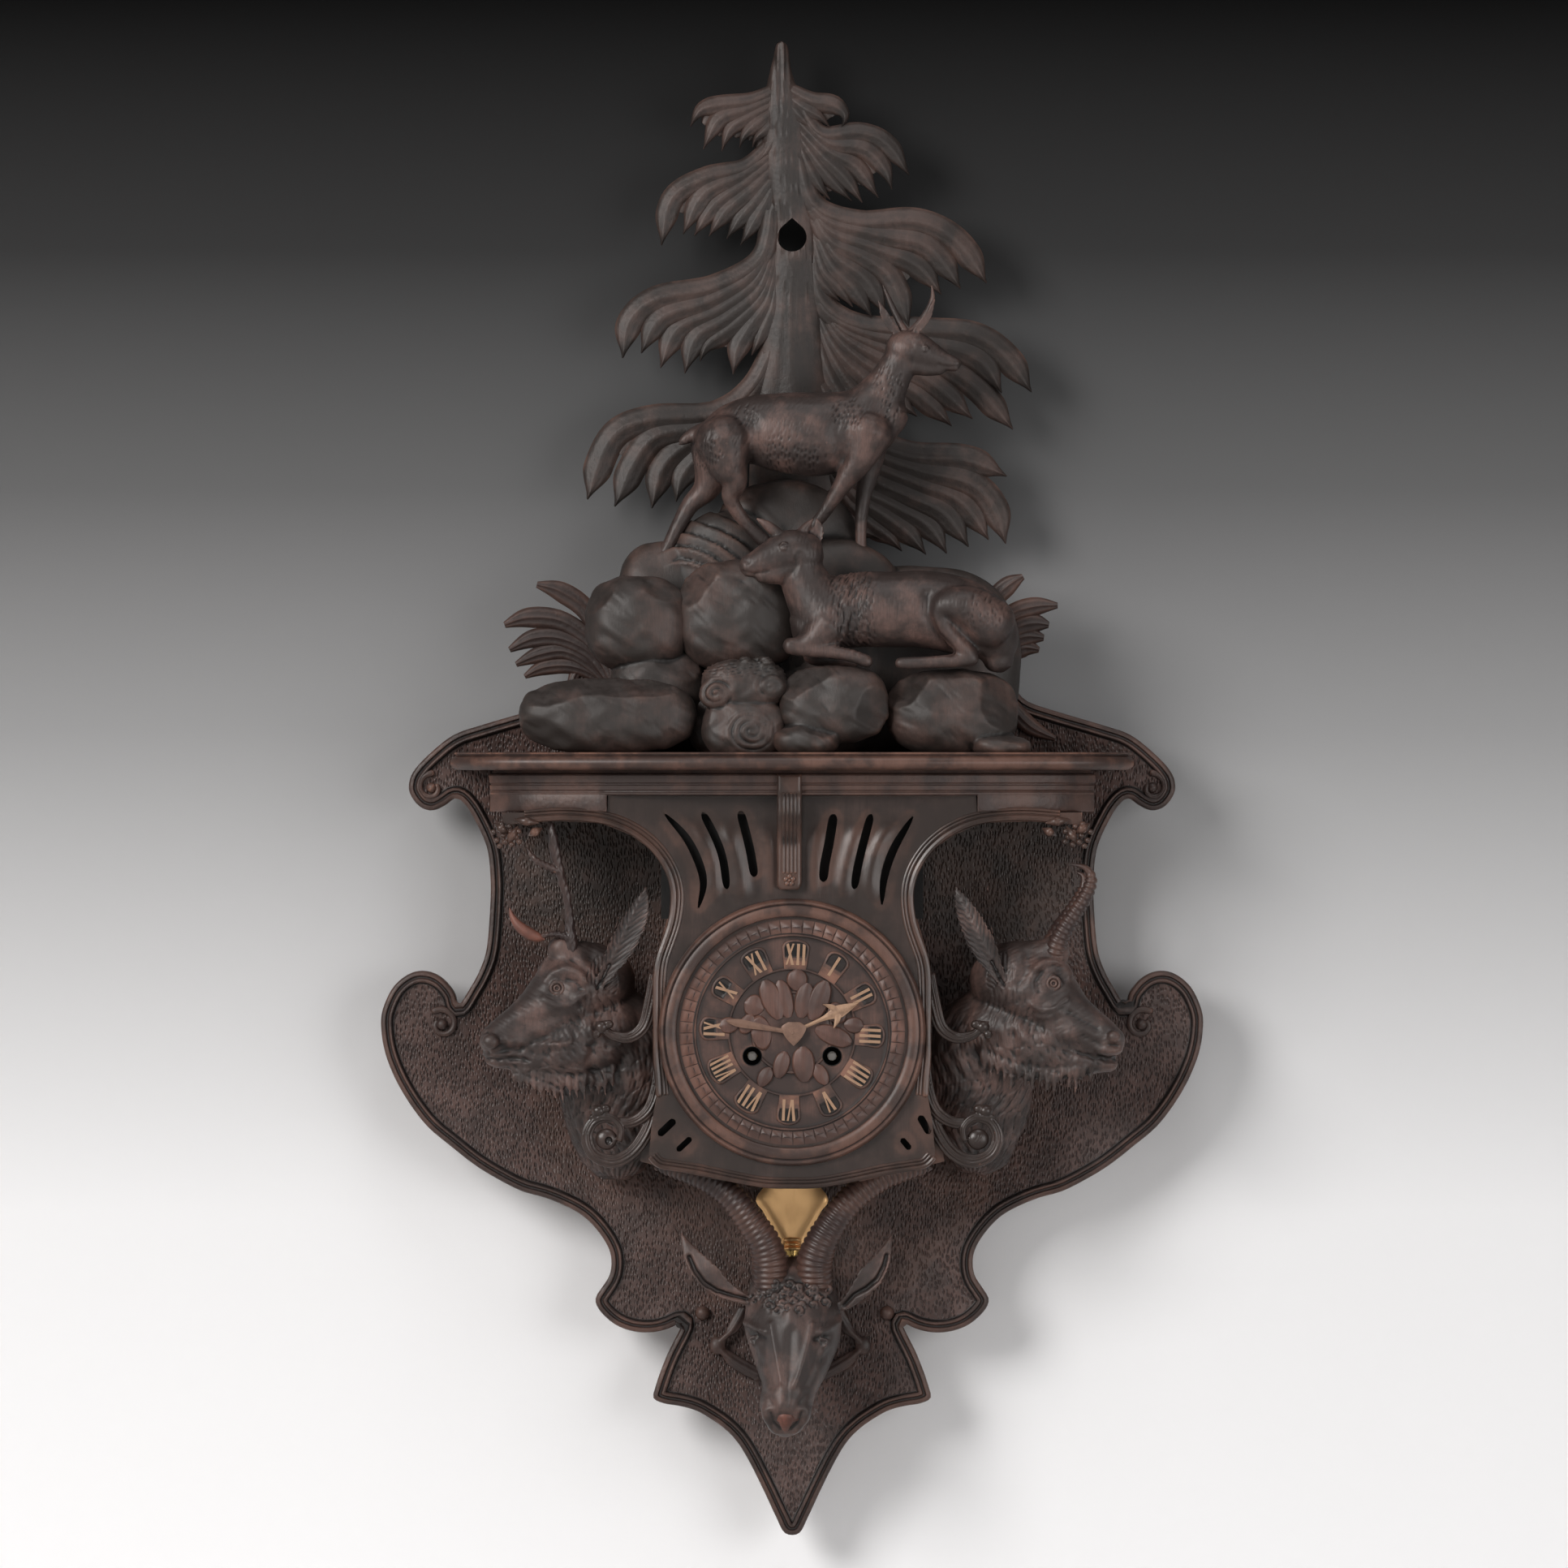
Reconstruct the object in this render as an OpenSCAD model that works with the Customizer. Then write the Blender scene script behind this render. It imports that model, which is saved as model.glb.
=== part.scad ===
// Carved wall clock: a fir tree over rocks with two chamois on a shelf, a
// waisted case with a wooden dial, three carved heads on a shaped backboard,
// and a round eight-day striking movement with its pendulum.
//
// Frame: origin at the centre of the hanging hole, on the wall. +Z is up, the
// front looks along -Y, and the wall is the plane Y = 0. Carvings are drawn in
// elevation (x to the right, y up, z out from the wall) and turned by front().

/* [Backboard] */
// Width across the side lobes
board_w = 468; // [440:1:500]
// Height from the tree's seat to the lower point
board_h = 524; // [500:1:550]
// Thickness at the rim
board_t = 18; // [14:0.5:22]
// Width of the reeded rim
rim_w = 6; // [4:0.5:8]
// Depth of the stippled ground below the rim
ground_drop = 3; // [1.5:0.5:4]

/* [Tree] */
// Width across the longest boughs
tree_w = 254; // [230:1:280]
// Height from the hanging hole to the tip
tree_top = 111; // [100:1:125]
// Distance from the hanging hole down to the backboard
tree_seat = 217; // [200:1:235]
// Thickness of the trunk
trunk_t = 16; // [12:0.5:20]
// Thickness of the boughs
bough_t = 12; // [8:0.5:14]
// Radius of the hanging hole
hole_r = 8.3; // [6:0.1:10]

/* [Shelf] */
// Distance from the hanging hole down to the top of the shelf
shelf_y = 294; // [285:1:300]
// Width of the shelf
shelf_w = 387; // [370:1:400]
// Reach of the shelf from the wall
shelf_d = 130; // [122:1:140]
// Thickness of the shelf
shelf_t = 10; // [8:0.5:12]
// Width of the cornice
cornice_w = 348; // [330:1:360]
// Reach of the cornice from the wall
cornice_d = 112; // [108:1:118]
// Height of the cornice
cornice_h = 24; // [20:1:28]

/* [Case] */
// Distance from the hanging hole down to the dial's centre
dial_y = 452; // [446:1:458]
// Reach of the case's front from the wall
case_d = 94; // [90:1:100]
// Thickness of the front panel
front_t = 9; // [7:0.5:11]
// Half width of the waist above the dial
waist_w = 68; // [64:1:72]
// Half width of the case beside the dial
case_hw = 78; // [76:1:82]
// Radius of the hollow around the movement
hollow_r = 62; // [58:1:64]
// Width of the sound slots
slot_w = 5; // [3:0.5:6]

/* [Dial] */
// Radius of the wooden dial
dial_r = 65.3; // [63:0.1:67]
// Thickness of the dial
dial_t = 4; // [3:0.5:5]
// Outer radius of the bezel
bezel_r = 75.4; // [73:0.1:77]
// Height of the bezel above the case's front
bezel_h = 7; // [5:0.5:9]
// Radius of the ring of numerals
numeral_r = 44; // [42:0.5:46]
// Length of a numeral
numeral_h = 12; // [10:0.5:13]
// Radius of the winding holes
wind_r = 5.5; // [4.5:0.1:6.5]
// Length of the minute hand from its centre
minute_l = 38; // [32:1:44]
// Length of the hour hand from its centre
hour_l = 41; // [34:1:46]
// Thickness of the hands
hand_t = 0.8; // [0.6:0.1:1]

/* [Movement] */
// Radius of the plates
plate_r = 42; // [41:0.5:46]
// Thickness of the plates
plate_t = 2.5; // [2:0.1:3]
// Distance from the wall to the back plate
plate_d = 36; // [34:0.5:38]
// Distance between the plates
plate_gap = 32; // [30:0.5:34]
// Sideways distance of the winding arbors from the centre
arbor_x = 22.5; // [22:0.1:23]
// Drop of the winding arbors below the centre
arbor_y = 13.5; // [13:0.1:14]
// Radius of the winding arbors
arbor_r = 2.5; // [2:0.1:3]
// Running clearance of shafts and pivots, on the radius
run = 0.05; // [0.02:0.01:0.08]
// Radius of the bell
bell_r = 34; // [28:1:36]
// Thickness of the bell's wall
bell_t = 2; // [1.5:0.1:3]

/* [Pendulum] */
// Height of the suspension above the dial's centre
susp_y = 31; // [30:0.5:33]
// Width of the bob
bob_w = 60; // [50:1:64]
// Height of the bob with its finial
bob_h = 88; // [80:1:96]
// Thickness of the bob
bob_t = 10; // [8:0.5:12]
// Drop of the bob's tip below the dial's centre
bob_tip = 133; // [130:1:140]
// Radius of the pendulum rod
rod_r = 1.2; // [1:0.1:1.6]
// Swing of the pendulum to each side, in degrees
swing = 4; // [2:0.5:5]

/* [Carvings] */
// Width of each side head's block on the backboard
neck_w = 46; // [40:1:52]
// Reach of the side heads from the wall
head_d = 112; // [100:1:120]
// Radius of the ibex horns at their base
horn_r = 10; // [8:0.5:12]
// Length of the standing chamois, tail to chest
stand_l = 125; // [115:1:135]
// Length of the lying chamois
lying_l = 128; // [118:1:136]
// Clearance where two carved pieces pass each other
gap = 0.3; // [0.2:0.1:0.5]

/* [Hidden] */
$fn = 64;
wood = [0.16, 0.09, 0.07];
dark = [0.11, 0.06, 0.05];
gilt = [0.86, 0.68, 0.32];
brass = [0.78, 0.62, 0.3];
steel = [0.6, 0.6, 0.62];

shelf_z = -shelf_y;
cornice_top = shelf_z - shelf_t;
case_top = cornice_top - cornice_h;
dz = -dial_y;
seat = -tree_seat;
inner_d = case_d - front_t;
plate_back = plate_d;
plate_front = plate_d + plate_t + plate_gap;
front_face = plate_front + plate_t;
mound_d = board_t + 26;
rock_d = mound_d + 16;
dowel_x = 40;
bore_r = arbor_r + run;
dial_tilt = 2.6;
relief = 0.8;
pivot_r = 0.4;
centre_r = 1.2;
cannon_r = 2;
pipe_r = 2.9;
rod_d = plate_back - 7;
hour_d = case_d + 3.4;
minute_d = case_d + 4.2;
hour_a = 66;
minute_a = 280;

module front(d = 0) { rotate([90, 0, 0]) translate([0, 0, d]) children(); }
module plate(pts, d, t) { front(d) linear_extrude(t) polygon(pts); }
module disc(r, d, t, x = 0, y = 0) {
    front(d) translate([x, y, 0]) cylinder(r = r, h = t);
}
function sized(pts, kx, ky) = [for (p = pts) [p[0] * kx, p[1] * ky]];
function moved(pts, x, y) = [for (p = pts) [p[0] + x, p[1] + y]];
function both(half) = concat(half,
    [for (i = [len(half) - 1:-1:0]) [-half[i][0], half[i][1]]]);
function turned(p, a) = [p[0] * cos(a) - p[1] * sin(a),
    p[0] * sin(a) + p[1] * cos(a)];
// A pointed blade from a to b, w wide at its widest, bowed sideways by bow
function blade(a, b, w, bow = 0) = let (
    v = b - a, n = [-v[1], v[0]] / norm(v), m = n * bow)
    [a + n * w * 0.3, a + v * 0.4 + n * w / 2 + m, b + v * 0.02,
     a + v * 0.4 - n * w / 2 + m, a - n * w * 0.3];
// A limb of round stations [x, y, d, r], joined in pairs
module limb(s, f = 14) {
    for (i = [0:len(s) - 2]) hull() for (k = [i, i + 1])
        front() translate([s[k][0], s[k][1], s[k][2]])
            sphere(r = s[k][3], $fn = f);
}

// ---- Backboard

board_half = [[106, 0], [123, -25], [126, -37], [133, -47], [149, -53],
    [176, -61], [193, -67], [207, -78], [216, -88], [218, -96], [217, -102],
    [213, -107], [206, -109], [200, -106], [194, -101], [188, -104],
    [181, -115], [174, -131], [172, -147], [172, -163], [174, -188],
    [178, -201], [184, -212], [191, -222], [193, -212], [198, -207],
    [204, -203], [211, -202], [218, -203], [225, -208], [230, -215],
    [234, -226], [234, -237], [232, -248], [228, -259], [223, -269],
    [216, -280], [207, -291], [195, -301], [181, -312], [168, -320],
    [154, -327], [140, -331], [126, -337], [117, -343], [109, -352],
    [104, -361], [103, -369], [104, -376], [108, -383], [113, -387],
    [106, -399], [99, -404], [90, -407], [80, -407], [71, -405], [61, -401],
    [66, -409], [71, -420], [75, -430], [78, -440], [80, -447], [73, -448],
    [64, -449], [55, -452], [46, -457], [39, -462], [32, -469], [25, -480],
    [16, -498], [9, -513], [4, -523], [2, -524]];
board_pts = moved(both(sized(board_half, board_w / 468, board_h / 524)),
    0, seat);
service_r = hollow_r;
rebate_r = service_r + 4;

module backboard() {
    color(dark) difference() {
        plate(board_pts, 0, board_t);
        front(board_t - ground_drop) linear_extrude(board_t)
            difference() {
                offset(delta = -rim_w) polygon(board_pts);
                translate([-shelf_w / 2, shelf_z - 60])
                    square([shelf_w, tree_seat]);
                translate([-waist_w - 30, dz - 100])
                    square([2 * waist_w + 60, dial_y]);
                translate([-neck_w - 6, dz - 300]) square([2 * neck_w + 12, 160]);
                for (i = [-1, 1]) translate([i * 113, dz - 20])
                    circle(r = neck_w / 2 + 6);
            }
        disc(service_r, -1, board_t + 2, 0, dz);
        disc(rebate_r, -1, 6, 0, dz);
        for (i = [-1, 1]) front() translate([i * dowel_x, seat - 9, board_t / 2])
            rotate([-90, 0, 0]) cylinder(r = 4, h = 10);
    }
}

module back_cover() {
    color(dark) difference() {
        disc(rebate_r - gap, 1, 4, 0, dz);
        for (a = [0:60:300]) rotate([0, 0, 0]) front()
            translate([30 * cos(a), dz + 30 * sin(a), 0])
                cylinder(r = 6, h = 10);
    }
}

// ---- Fir tree

trunk = [[-6, 111], [-2, 111], [3, 86], [10, 60], [15, 30], [14, 5],
    [17, -20], [28, -42], [30, -75], [38, -120], [52, -180], [60, -217],
    [-60, -217], [-44, -160], [-30, -125], [-22, -90], [-12, -65],
    [-11, -40], [-22, -10], [-14, 20], [-12, 50], [-15, 86]];
// Each bough is its spine's points, upper edge first, then its finger tips
// joined by notches
boughs = [
    [[-15, 84], [-26, 78], [-44, 76], [-56, 72], [-60, 62], [-55, 62],
     [-50, 50], [-45, 60], [-38, 48], [-35, 58], [-27, 50], [-25, 58],
     [-20, 42], [-8, 60]],
    [[4, 80], [13, 77], [26, 73], [31, 66], [28, 62], [16, 64], [8, 60]],
    [[8, 60], [25, 59], [43, 60], [54, 52], [66, 41], [67, 34], [60, 40],
     [58, 27], [52, 36], [48, 21], [42, 32], [38, 19], [30, 29], [22, 21],
     [12, 30]],
    [[-18, 44], [-30, 37], [-54, 32], [-68, 22], [-75, 5], [-76, -6],
     [-70, 2], [-66, -3], [-60, 5], [-56, 1], [-50, 8], [-44, 0], [-38, 8],
     [-32, -4], [-28, 8], [-20, -6], [-6, 14]],
    [[10, 22], [20, 12], [36, 9], [70, 9], [82, 7], [96, -5], [110, -20],
     [112, -27], [103, -24], [96, -31], [90, -24], [84, -33], [76, -30],
     [68, -52], [62, -36], [54, -43], [46, -32], [38, -38], [28, -30],
     [12, -24]],
    [[-10, 2], [-22, -18], [-36, -26], [-62, -32], [-84, -37], [-94, -52],
     [-97, -68], [-90, -60], [-84, -64], [-78, -58], [-72, -76], [-66, -64],
     [-60, -78], [-54, -64], [-46, -72], [-40, -62], [-34, -77], [-26, -66],
     [-12, -50]],
    [[10, -36], [22, -46], [50, -52], [86, -56], [104, -54], [118, -62],
     [130, -74], [137, -88], [128, -84], [126, -109], [118, -92],
     [108, -100], [100, -94], [92, -107], [82, -100], [70, -104],
     [30, -80]],
    [[-20, -86], [-34, -98], [-48, -104], [-68, -106], [-86, -104],
     [-98, -110], [-108, -120], [-116, -140], [-117, -150], [-108, -142],
     [-102, -152], [-94, -143], [-88, -158], [-80, -145], [-74, -154],
     [-64, -144], [-54, -152], [-30, -130]],
    [[34, -118], [54, -124], [70, -126], [92, -125], [110, -130],
     [122, -136], [120, -146], [122, -175], [112, -158], [106, -176],
     [98, -164], [90, -180], [80, -168], [72, -180], [60, -166],
     [40, -160]]];
tree_kx = tree_w / 254;
function tree_ky(y) = y > 0 ? tree_top / 111 : tree_seat / 217;
function tree_fit(pts) = [for (p = pts) [p[0] * tree_kx, p[1] * tree_ky(p[1])]];

module tree() {
    color(wood) difference() {
        union() {
            plate(tree_fit(trunk), 0, trunk_t);
            for (b = boughs) plate(tree_fit(b), 0, bough_t);
            for (i = [-1, 1]) front() translate([i * dowel_x, seat - 8, board_t / 2])
                rotate([-90, 0, 0]) cylinder(r = 4 - run, h = 12);
        }
        front(-1) { cylinder(r = hole_r, h = trunk_t + 2);
            linear_extrude(trunk_t + 2) polygon([[-hole_r * 0.71, hole_r * 0.71],
                [0, hole_r * 1.3], [hole_r * 0.71, hole_r * 0.71], [0, 0]]); }
    }
}

// ---- Ferns

module fern(base, tips, foot) {
    front(board_t) linear_extrude(9) {
        polygon([[foot[0] - 7, shelf_z], [foot[0] + 7, shelf_z],
            base + [6, 0], base + [-6, 0]]);
        for (t = tips) polygon(blade(base, t, 12, 4 * sign(t[0] - base[0])));
        translate(base) circle(r = 8, $fn = 24);
    }
}
module fern_left() {
    color(wood) fern([-112, shelf_z + 34], [for (t = [[-140, 94], [-150, 80],
        [-162, 70], [-162, 57], [-158, 46], [-150, 40]])
        [t[0], shelf_z + t[1]]], [-100, 0]);
}
module fern_right() {
    color(wood) fern([118, shelf_z + 52], [for (t = [[130, 100], [142, 96],
        [151, 82], [146, 70], [141, 58]]) [t[0], shelf_z + t[1]]], [112, 0]);
}

// ---- Rocks and the hill behind them

hill_pts = [[-100, 0], [-104, 60], [-78, 92], [-60, 122], [-46, 146],
    [-30, 153], [-8, 152], [14, 149], [30, 136], [44, 114], [82, 108],
    [104, 96], [118, 76], [126, 50], [132, 0]];
// The ledge that the standing chamois has its hooves on
ledge_pts = [[-96, 0], [-96, 119], [-76, 119], [-60, 124], [-34, 129],
    [22, 127], [34, 114], [50, 113], [50, 0]];
module hill() {
    color(wood) difference() {
        union() {
            plate(moved(hill_pts, 0, shelf_z), board_t, mound_d - board_t);
            plate(moved(ledge_pts, 0, shelf_z), board_t, rock_d - board_t);
        }
        // hollows for the ferns' stems and blades
        for (i = [-1, 1]) front(board_t - 1)
            translate([i < 0 ? -170 : 88, shelf_z - 1, 0])
                cube([82, 130, 10 + gap]);
    }
}
// A chiselled boulder: an eight-sided silhouette with bevelled faces
function oct(x0, x1, y0, y1, c, e = 0) = [[x0 + c, y0], [x1 - c, y0],
    [x1 - e, y0 + c], [x1 - e, y1 - c - e], [x1 - c * 1.3 - e, y1 - e],
    [x0 + c + e, y1 - e], [x0 + e, y1 - c * 1.4 - e], [x0 + e, y0 + c * 0.8]];
module rock(x0, x1, y0, y1, d0, d1, c) {
    hull() {
        plate(oct(x0, x1, y0, y1, c), d0, (d1 - d0) * 0.6);
        plate(oct(x0, x1, y0, y1, c, c * 0.8), d0, d1 - d0);
    }
}
module boulder_upper_left() {
    color(wood) rock(-114, -61, shelf_z, shelf_z + 96, rock_d, rock_d + 24, 12);
}
module boulder_centre() {
    color(wood) rock(-60.7, 8, shelf_z, shelf_z + 108, rock_d, rock_d + 26, 14);
}
module boulder_left() {
    color(wood) rock(-154, -54.3, shelf_z, shelf_z + 42, rock_d + 24 + gap,
        rock_d + 40, 12);
}
module tree_stump() {
    x = -30.2;
    d = rock_d + 26 + gap;
    color(wood) {
        plate([for (a = [0:20:340]) [x + 23 * cos(a) * (1 + 0.03 * cos(5 * a)),
            shelf_z + 23 + 23 * sin(a)]], d, 20);
        plate([for (a = [0:20:340]) [x - 4 + 17 * cos(a),
            shelf_z + 36 + 16 * sin(a)]], d, 26);
        disc(7, d, 30, x - 6, shelf_z + 40);
    }
}
ledge_h = 48;
module boulder_middle() {
    color(wood) {
        rock(-5.7, 53, shelf_z + 12, shelf_z + ledge_h, rock_d + 26 + gap,
            rock_d + 58, 11);
        rock(-6, 30, shelf_z, shelf_z + 14, rock_d + 26 + gap, rock_d + 62, 4);
        rock(24, 50, shelf_z, shelf_z + 14, rock_d + 26 + gap, rock_d + 50, 4);
    }
}
module boulder_right() {
    color(wood) rock(53.3, 128, shelf_z, shelf_z + ledge_h, rock_d + gap,
        rock_d + 50, 12);
}

// ---- The two chamois on the rocks

module standing_chamois() {
    k = stand_l / 125;
    d = mound_d;
    y0 = shelf_z + 153;
    // Stations are [x, y, d, r] from the middle of the hill's top
    module part_of(s) { limb([for (p = s) [p[0] * k - 8, p[1] + y0, p[2] + d,
        p[3]]]); }
    color(wood) {
        part_of([[-34, 38, 10, 13], [-14, 38, 11, 17], [14, 40, 11, 16],
            [40, 36, 10, 13], [44, 38, 10, 13]]);
        part_of([[46, 42, 10, 12], [60, 62, 10, 8], [70, 76, 10, 8],
            [82, 74, 10, 6.5], [100, 66, 10, 3.5]]);
        part_of([[-40, 34, 10, 9], [-36, 10, 6, 5], [-46, 2, 6, 3],
            [-40, -8, 5, 3], [-16, -18, 5, 3]]);
        part_of([[-40, 34, 12, 9], [-52, 8, 14, 5], [-66, -6, 14, 3],
            [-78, -28, 14, 3]]);
        part_of([[44, 32, 10, 9], [40, 14, 12, 5], [24, -8, 12, 3],
            [20, -20, 12, 3]]);
        part_of([[44, 32, 10, 9], [48, 10, 4, 5], [50, -8, 3, 3],
            [51, -34, 3, 3]]);
        part_of([[66, 78, 8, 3], [60, 90, 7, 2.4], [54, 99, 7, 1.2]]);
        part_of([[70, 78, 13, 3], [80, 92, 14, 2.4], [86, 99, 13, 1.2]]);
        part_of([[-48, 40, 10, 4], [-54, 32, 10, 2]]);
    }
}
module lying_chamois() {
    k = lying_l / 128;
    y0 = shelf_z + ledge_h;
    d = rock_d + 32;
    module part_of(s, f = 14) { limb([for (p = s) [p[0] * k, p[1] + y0, p[2] + d,
        p[3]]], f); }
    color(wood) difference() {
        union() {
            part_of([[22, 26, 0, 18], [48, 30, 1, 19], [78, 30, 1, 19],
                [100, 22, 0, 18]]);
            part_of([[14, 30, 2, 14], [4, 48, 6, 11], [-2, 62, 8, 10],
                [-12, 62, 8, 7], [-24, 60, 8, 4]]);
            part_of([[20, 10, 12, 9], [30, 4, 14, 6], [2, 3.5, 16, 4.5]]);
            part_of([[88, 20, 12, 14], [76, 24, 16, 8], [86, 4, 18, 5],
                [62, 3, 18, 4]]);
            part_of([[-4, 70, 6, 3], [-14, 84, 5, 1.6], [-20, 88, 5, 1]]);
            part_of([[2, 70, 12, 3], [8, 84, 13, 1.6], [12, 88, 13, 1]]);
            part_of([[8, 68, 10, 3], [20, 74, 12, 1.6]]);
        }
        // the underside lies flat on the ledge, the back clear of the hill
        front(-5) translate([-60, y0 - 60, 0]) cube([220, 60, 160]);
        front(0) translate([-60, y0 - 60, 0]) cube([220, 160, rock_d + 26 + gap]);
    }
}

// ---- Shelf and cornice

function plan(w, d) = both([[0, -d], [0.12 * w, -d * 0.99],
    [0.3 * w, -d * 0.94], [0.4 * w, -d * 0.85], [0.46 * w, -d * 0.68],
    [0.49 * w, -d * 0.46], [0.5 * w, -d * 0.24], [0.5 * w, -board_t]]);
module shelf() {
    color(wood) {
        translate([0, 0, cornice_top]) linear_extrude(shelf_t)
            polygon(plan(shelf_w, shelf_d));
    }
}
module cornice() {
    color(wood) {
        translate([0, 0, cornice_top - cornice_h / 2])
            linear_extrude(cornice_h / 2) polygon(plan(cornice_w, cornice_d));
        translate([0, 0, case_top]) linear_extrude(cornice_h / 2)
            polygon(plan(cornice_w - 8, cornice_d - 6));
    }
}

// ---- Case

arch_end = 0.94 * cornice_w / 2;
case_half = [[arch_end, case_top], [arch_end, case_top - 7],
    [0.82 * arch_end, case_top - 5], [0.66 * arch_end, case_top - 6],
    [waist_w + 23, case_top - 13], [waist_w + 9, case_top - 23],
    [waist_w + 1, case_top - 36], [waist_w, case_top - 46],
    [waist_w + 3, case_top - 62], [case_hw - 2, case_top - 78],
    [case_hw, dz + 32], [case_hw, dz - 14], [case_hw - 2, dz - 34],
    [case_hw + 4, dz - 50], [case_hw + 8, dz - 73], [case_hw - 10, dz - 78],
    [0.46 * case_hw, dz - 85], [0.2 * case_hw, dz - 88]];
module case_outline() { polygon(both(case_half)); }
// The hollow for the movement, the sound chamber and the pendulum's way out
module case_hollow() {
    translate([0, dz]) circle(r = hollow_r);
    polygon([[-waist_w + 12, dz], [waist_w - 12, dz],
        [waist_w - 12, case_top - 16], [-waist_w + 12, case_top - 16]]);
    translate([-bob_w / 2 - 8, dz - 100]) square([bob_w + 16, 100]);
}
module case_sides() {
    color(dark) front(board_t) linear_extrude(inner_d - board_t)
        difference() { case_outline(); case_hollow(); }
}
module sound_slot(x, y, a, l) {
    translate([x, y]) rotate(a) {
        square([slot_w, l], center = true);
        for (k = [-1, 1]) translate([0, k * l / 2])
            circle(r = slot_w / 2, $fn = 24);
    }
}
module case_front() {
    color(dark) difference() {
        front(inner_d) linear_extrude(front_t) case_outline();
        disc(dial_r - 9, inner_d - 1, front_t + 2, 0, dz);
        disc(dial_r + gap, case_d - dial_t, dial_t + 1, 0, dz);
        for (i = [-1, 1]) front(inner_d - 1) linear_extrude(front_t + 2) {
            sound_slot(i * 26, case_top - 18, i * 12, 30);
            sound_slot(i * 44, case_top - 22, i * 18, 36);
            sound_slot(i * 60, case_top - 27, i * 24, 44);
            sound_slot(i * (case_hw - 7), dz - 55, i * -38, 8);
            sound_slot(i * (case_hw - 20), dz - 64, i * -48, 8);
        }
    }
}
module centre_rib() {
    color(wood) plate([[-6, case_top], [6, case_top],
        [6, dz + bezel_r + gap + 0.5], [-6, dz + bezel_r + gap + 0.5]],
        case_d, 8);
}
// Strapwork beside the dial: three hooks ending in a spiral
module scroll(side) {
    x = case_hw + gap;
    function arc(cx, cy, r, a0, a1) = [for (a = [a0:(a1 - a0) / 8:a1])
        [cx + r * cos(a), cy + r * sin(a)]];
    module band(pts, w) for (i = [0:len(pts) - 2])
        polygon(let (a = pts[i], b = pts[i + 1], v = (b - a) / norm(b - a),
            n = [-v[1], v[0]] * w / 2, e = v * w * 0.2)
            [a + n - e, b + n + e, b - n + e, a - n - e]);
    mirror([side < 0 ? 1 : 0, 0, 0]) front(board_t)
        linear_extrude(inner_d - board_t - 8) difference() { union() {
            band(concat([[x + 4, dz + 32]], arc(x + 15, dz + 14, 11, 180, 290)), 7);
            band(concat([[x + 4, dz + 6]], arc(x + 14, dz - 34, 10, 180, 290)), 7);
            band([[x + 4, dz + 16], [x + 4, dz - 66]], 7);
            translate([x + 11, dz - 66]) difference() {
                circle(r = 10.8);
                circle(r = 4);
            }
        } case_outline();
        }
}
module scroll_left() { color(wood) scroll(-1); }
module scroll_right() { color(wood) scroll(1); }

// ---- Dial and bezel

module around(a, r) { translate([0, dz]) rotate(-a - dial_tilt) translate([0, r]) children(); }
module dial() {
    color(wood) difference() {
        union() {
            disc(dial_r, case_d - dial_t, dial_t, 0, dz);
            front(case_d) linear_extrude(relief) for (i = [1:12])
                around(i * 30, numeral_r) square([9, numeral_h + 3], center = true);
            disc(numeral_r - numeral_h / 2 - 18, case_d, 1.2, 0, dz);
        }
        disc(pipe_r + 1.2, case_d - dial_t - 1, dial_t + 4, 0, dz);
        for (i = [-1, 1]) disc(wind_r, case_d - dial_t - 1, dial_t + 4,
            i * arbor_x, dz - arbor_y);
    }
}
strokes = [[0], [-1, 1], [-2, 0, 2], [-3, 0, 3], [-1, 1], [-2, 0, 2],
    [-3, -1, 1, 3], [-3, -1, 1, 3], [-3, 0, 3], [-1.5, 1.5], [-3, 0, 3],
    [-3, -1, 1, 3]];
module numerals() {
    color(gilt) front(case_d + relief) linear_extrude(0.4)
        for (i = [0:11]) for (s = strokes[i])
            around(i * 30 + 30, numeral_r) translate([s, 0])
                square([0.9, numeral_h - 1], center = true);
}
module bezel() {
    color(dark) front() translate([0, dz, case_d]) rotate_extrude($fn = 128)
        polygon([[dial_r - 3.3, 0], [bezel_r, 0], [bezel_r, bezel_h * 0.35],
            [bezel_r - 2, bezel_h * 0.75], [bezel_r - 4, bezel_h],
            [bezel_r - 6, bezel_h], [bezel_r - 7.5, bezel_h * 0.7],
            [bezel_r - 9, bezel_h * 0.75], [bezel_r - 11, bezel_h * 0.4],
            [dial_r - 3.3, bezel_h * 0.3]]);
}

// ---- The heads on the backboard

// Cuts a carving flat at the backboard and keeps it clear of the strapwork
module seated(side) {
    difference() {
        children();
        front(board_t - 100) translate([-300, dz - 300, 0]) cube([600, 500, 100]);
        if (side != 0) front(0) translate([side > 0 ? 0 : -case_hw - 24, dz - 90, 0])
            cube([case_hw + 24, 126, inner_d - 7]);
        if (side != 0) front(0) translate([side > 0 ? 0 : -case_hw - gap, dz - 90, 0])
            cube([case_hw + gap, 126, 140]);
    }
}
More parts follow.
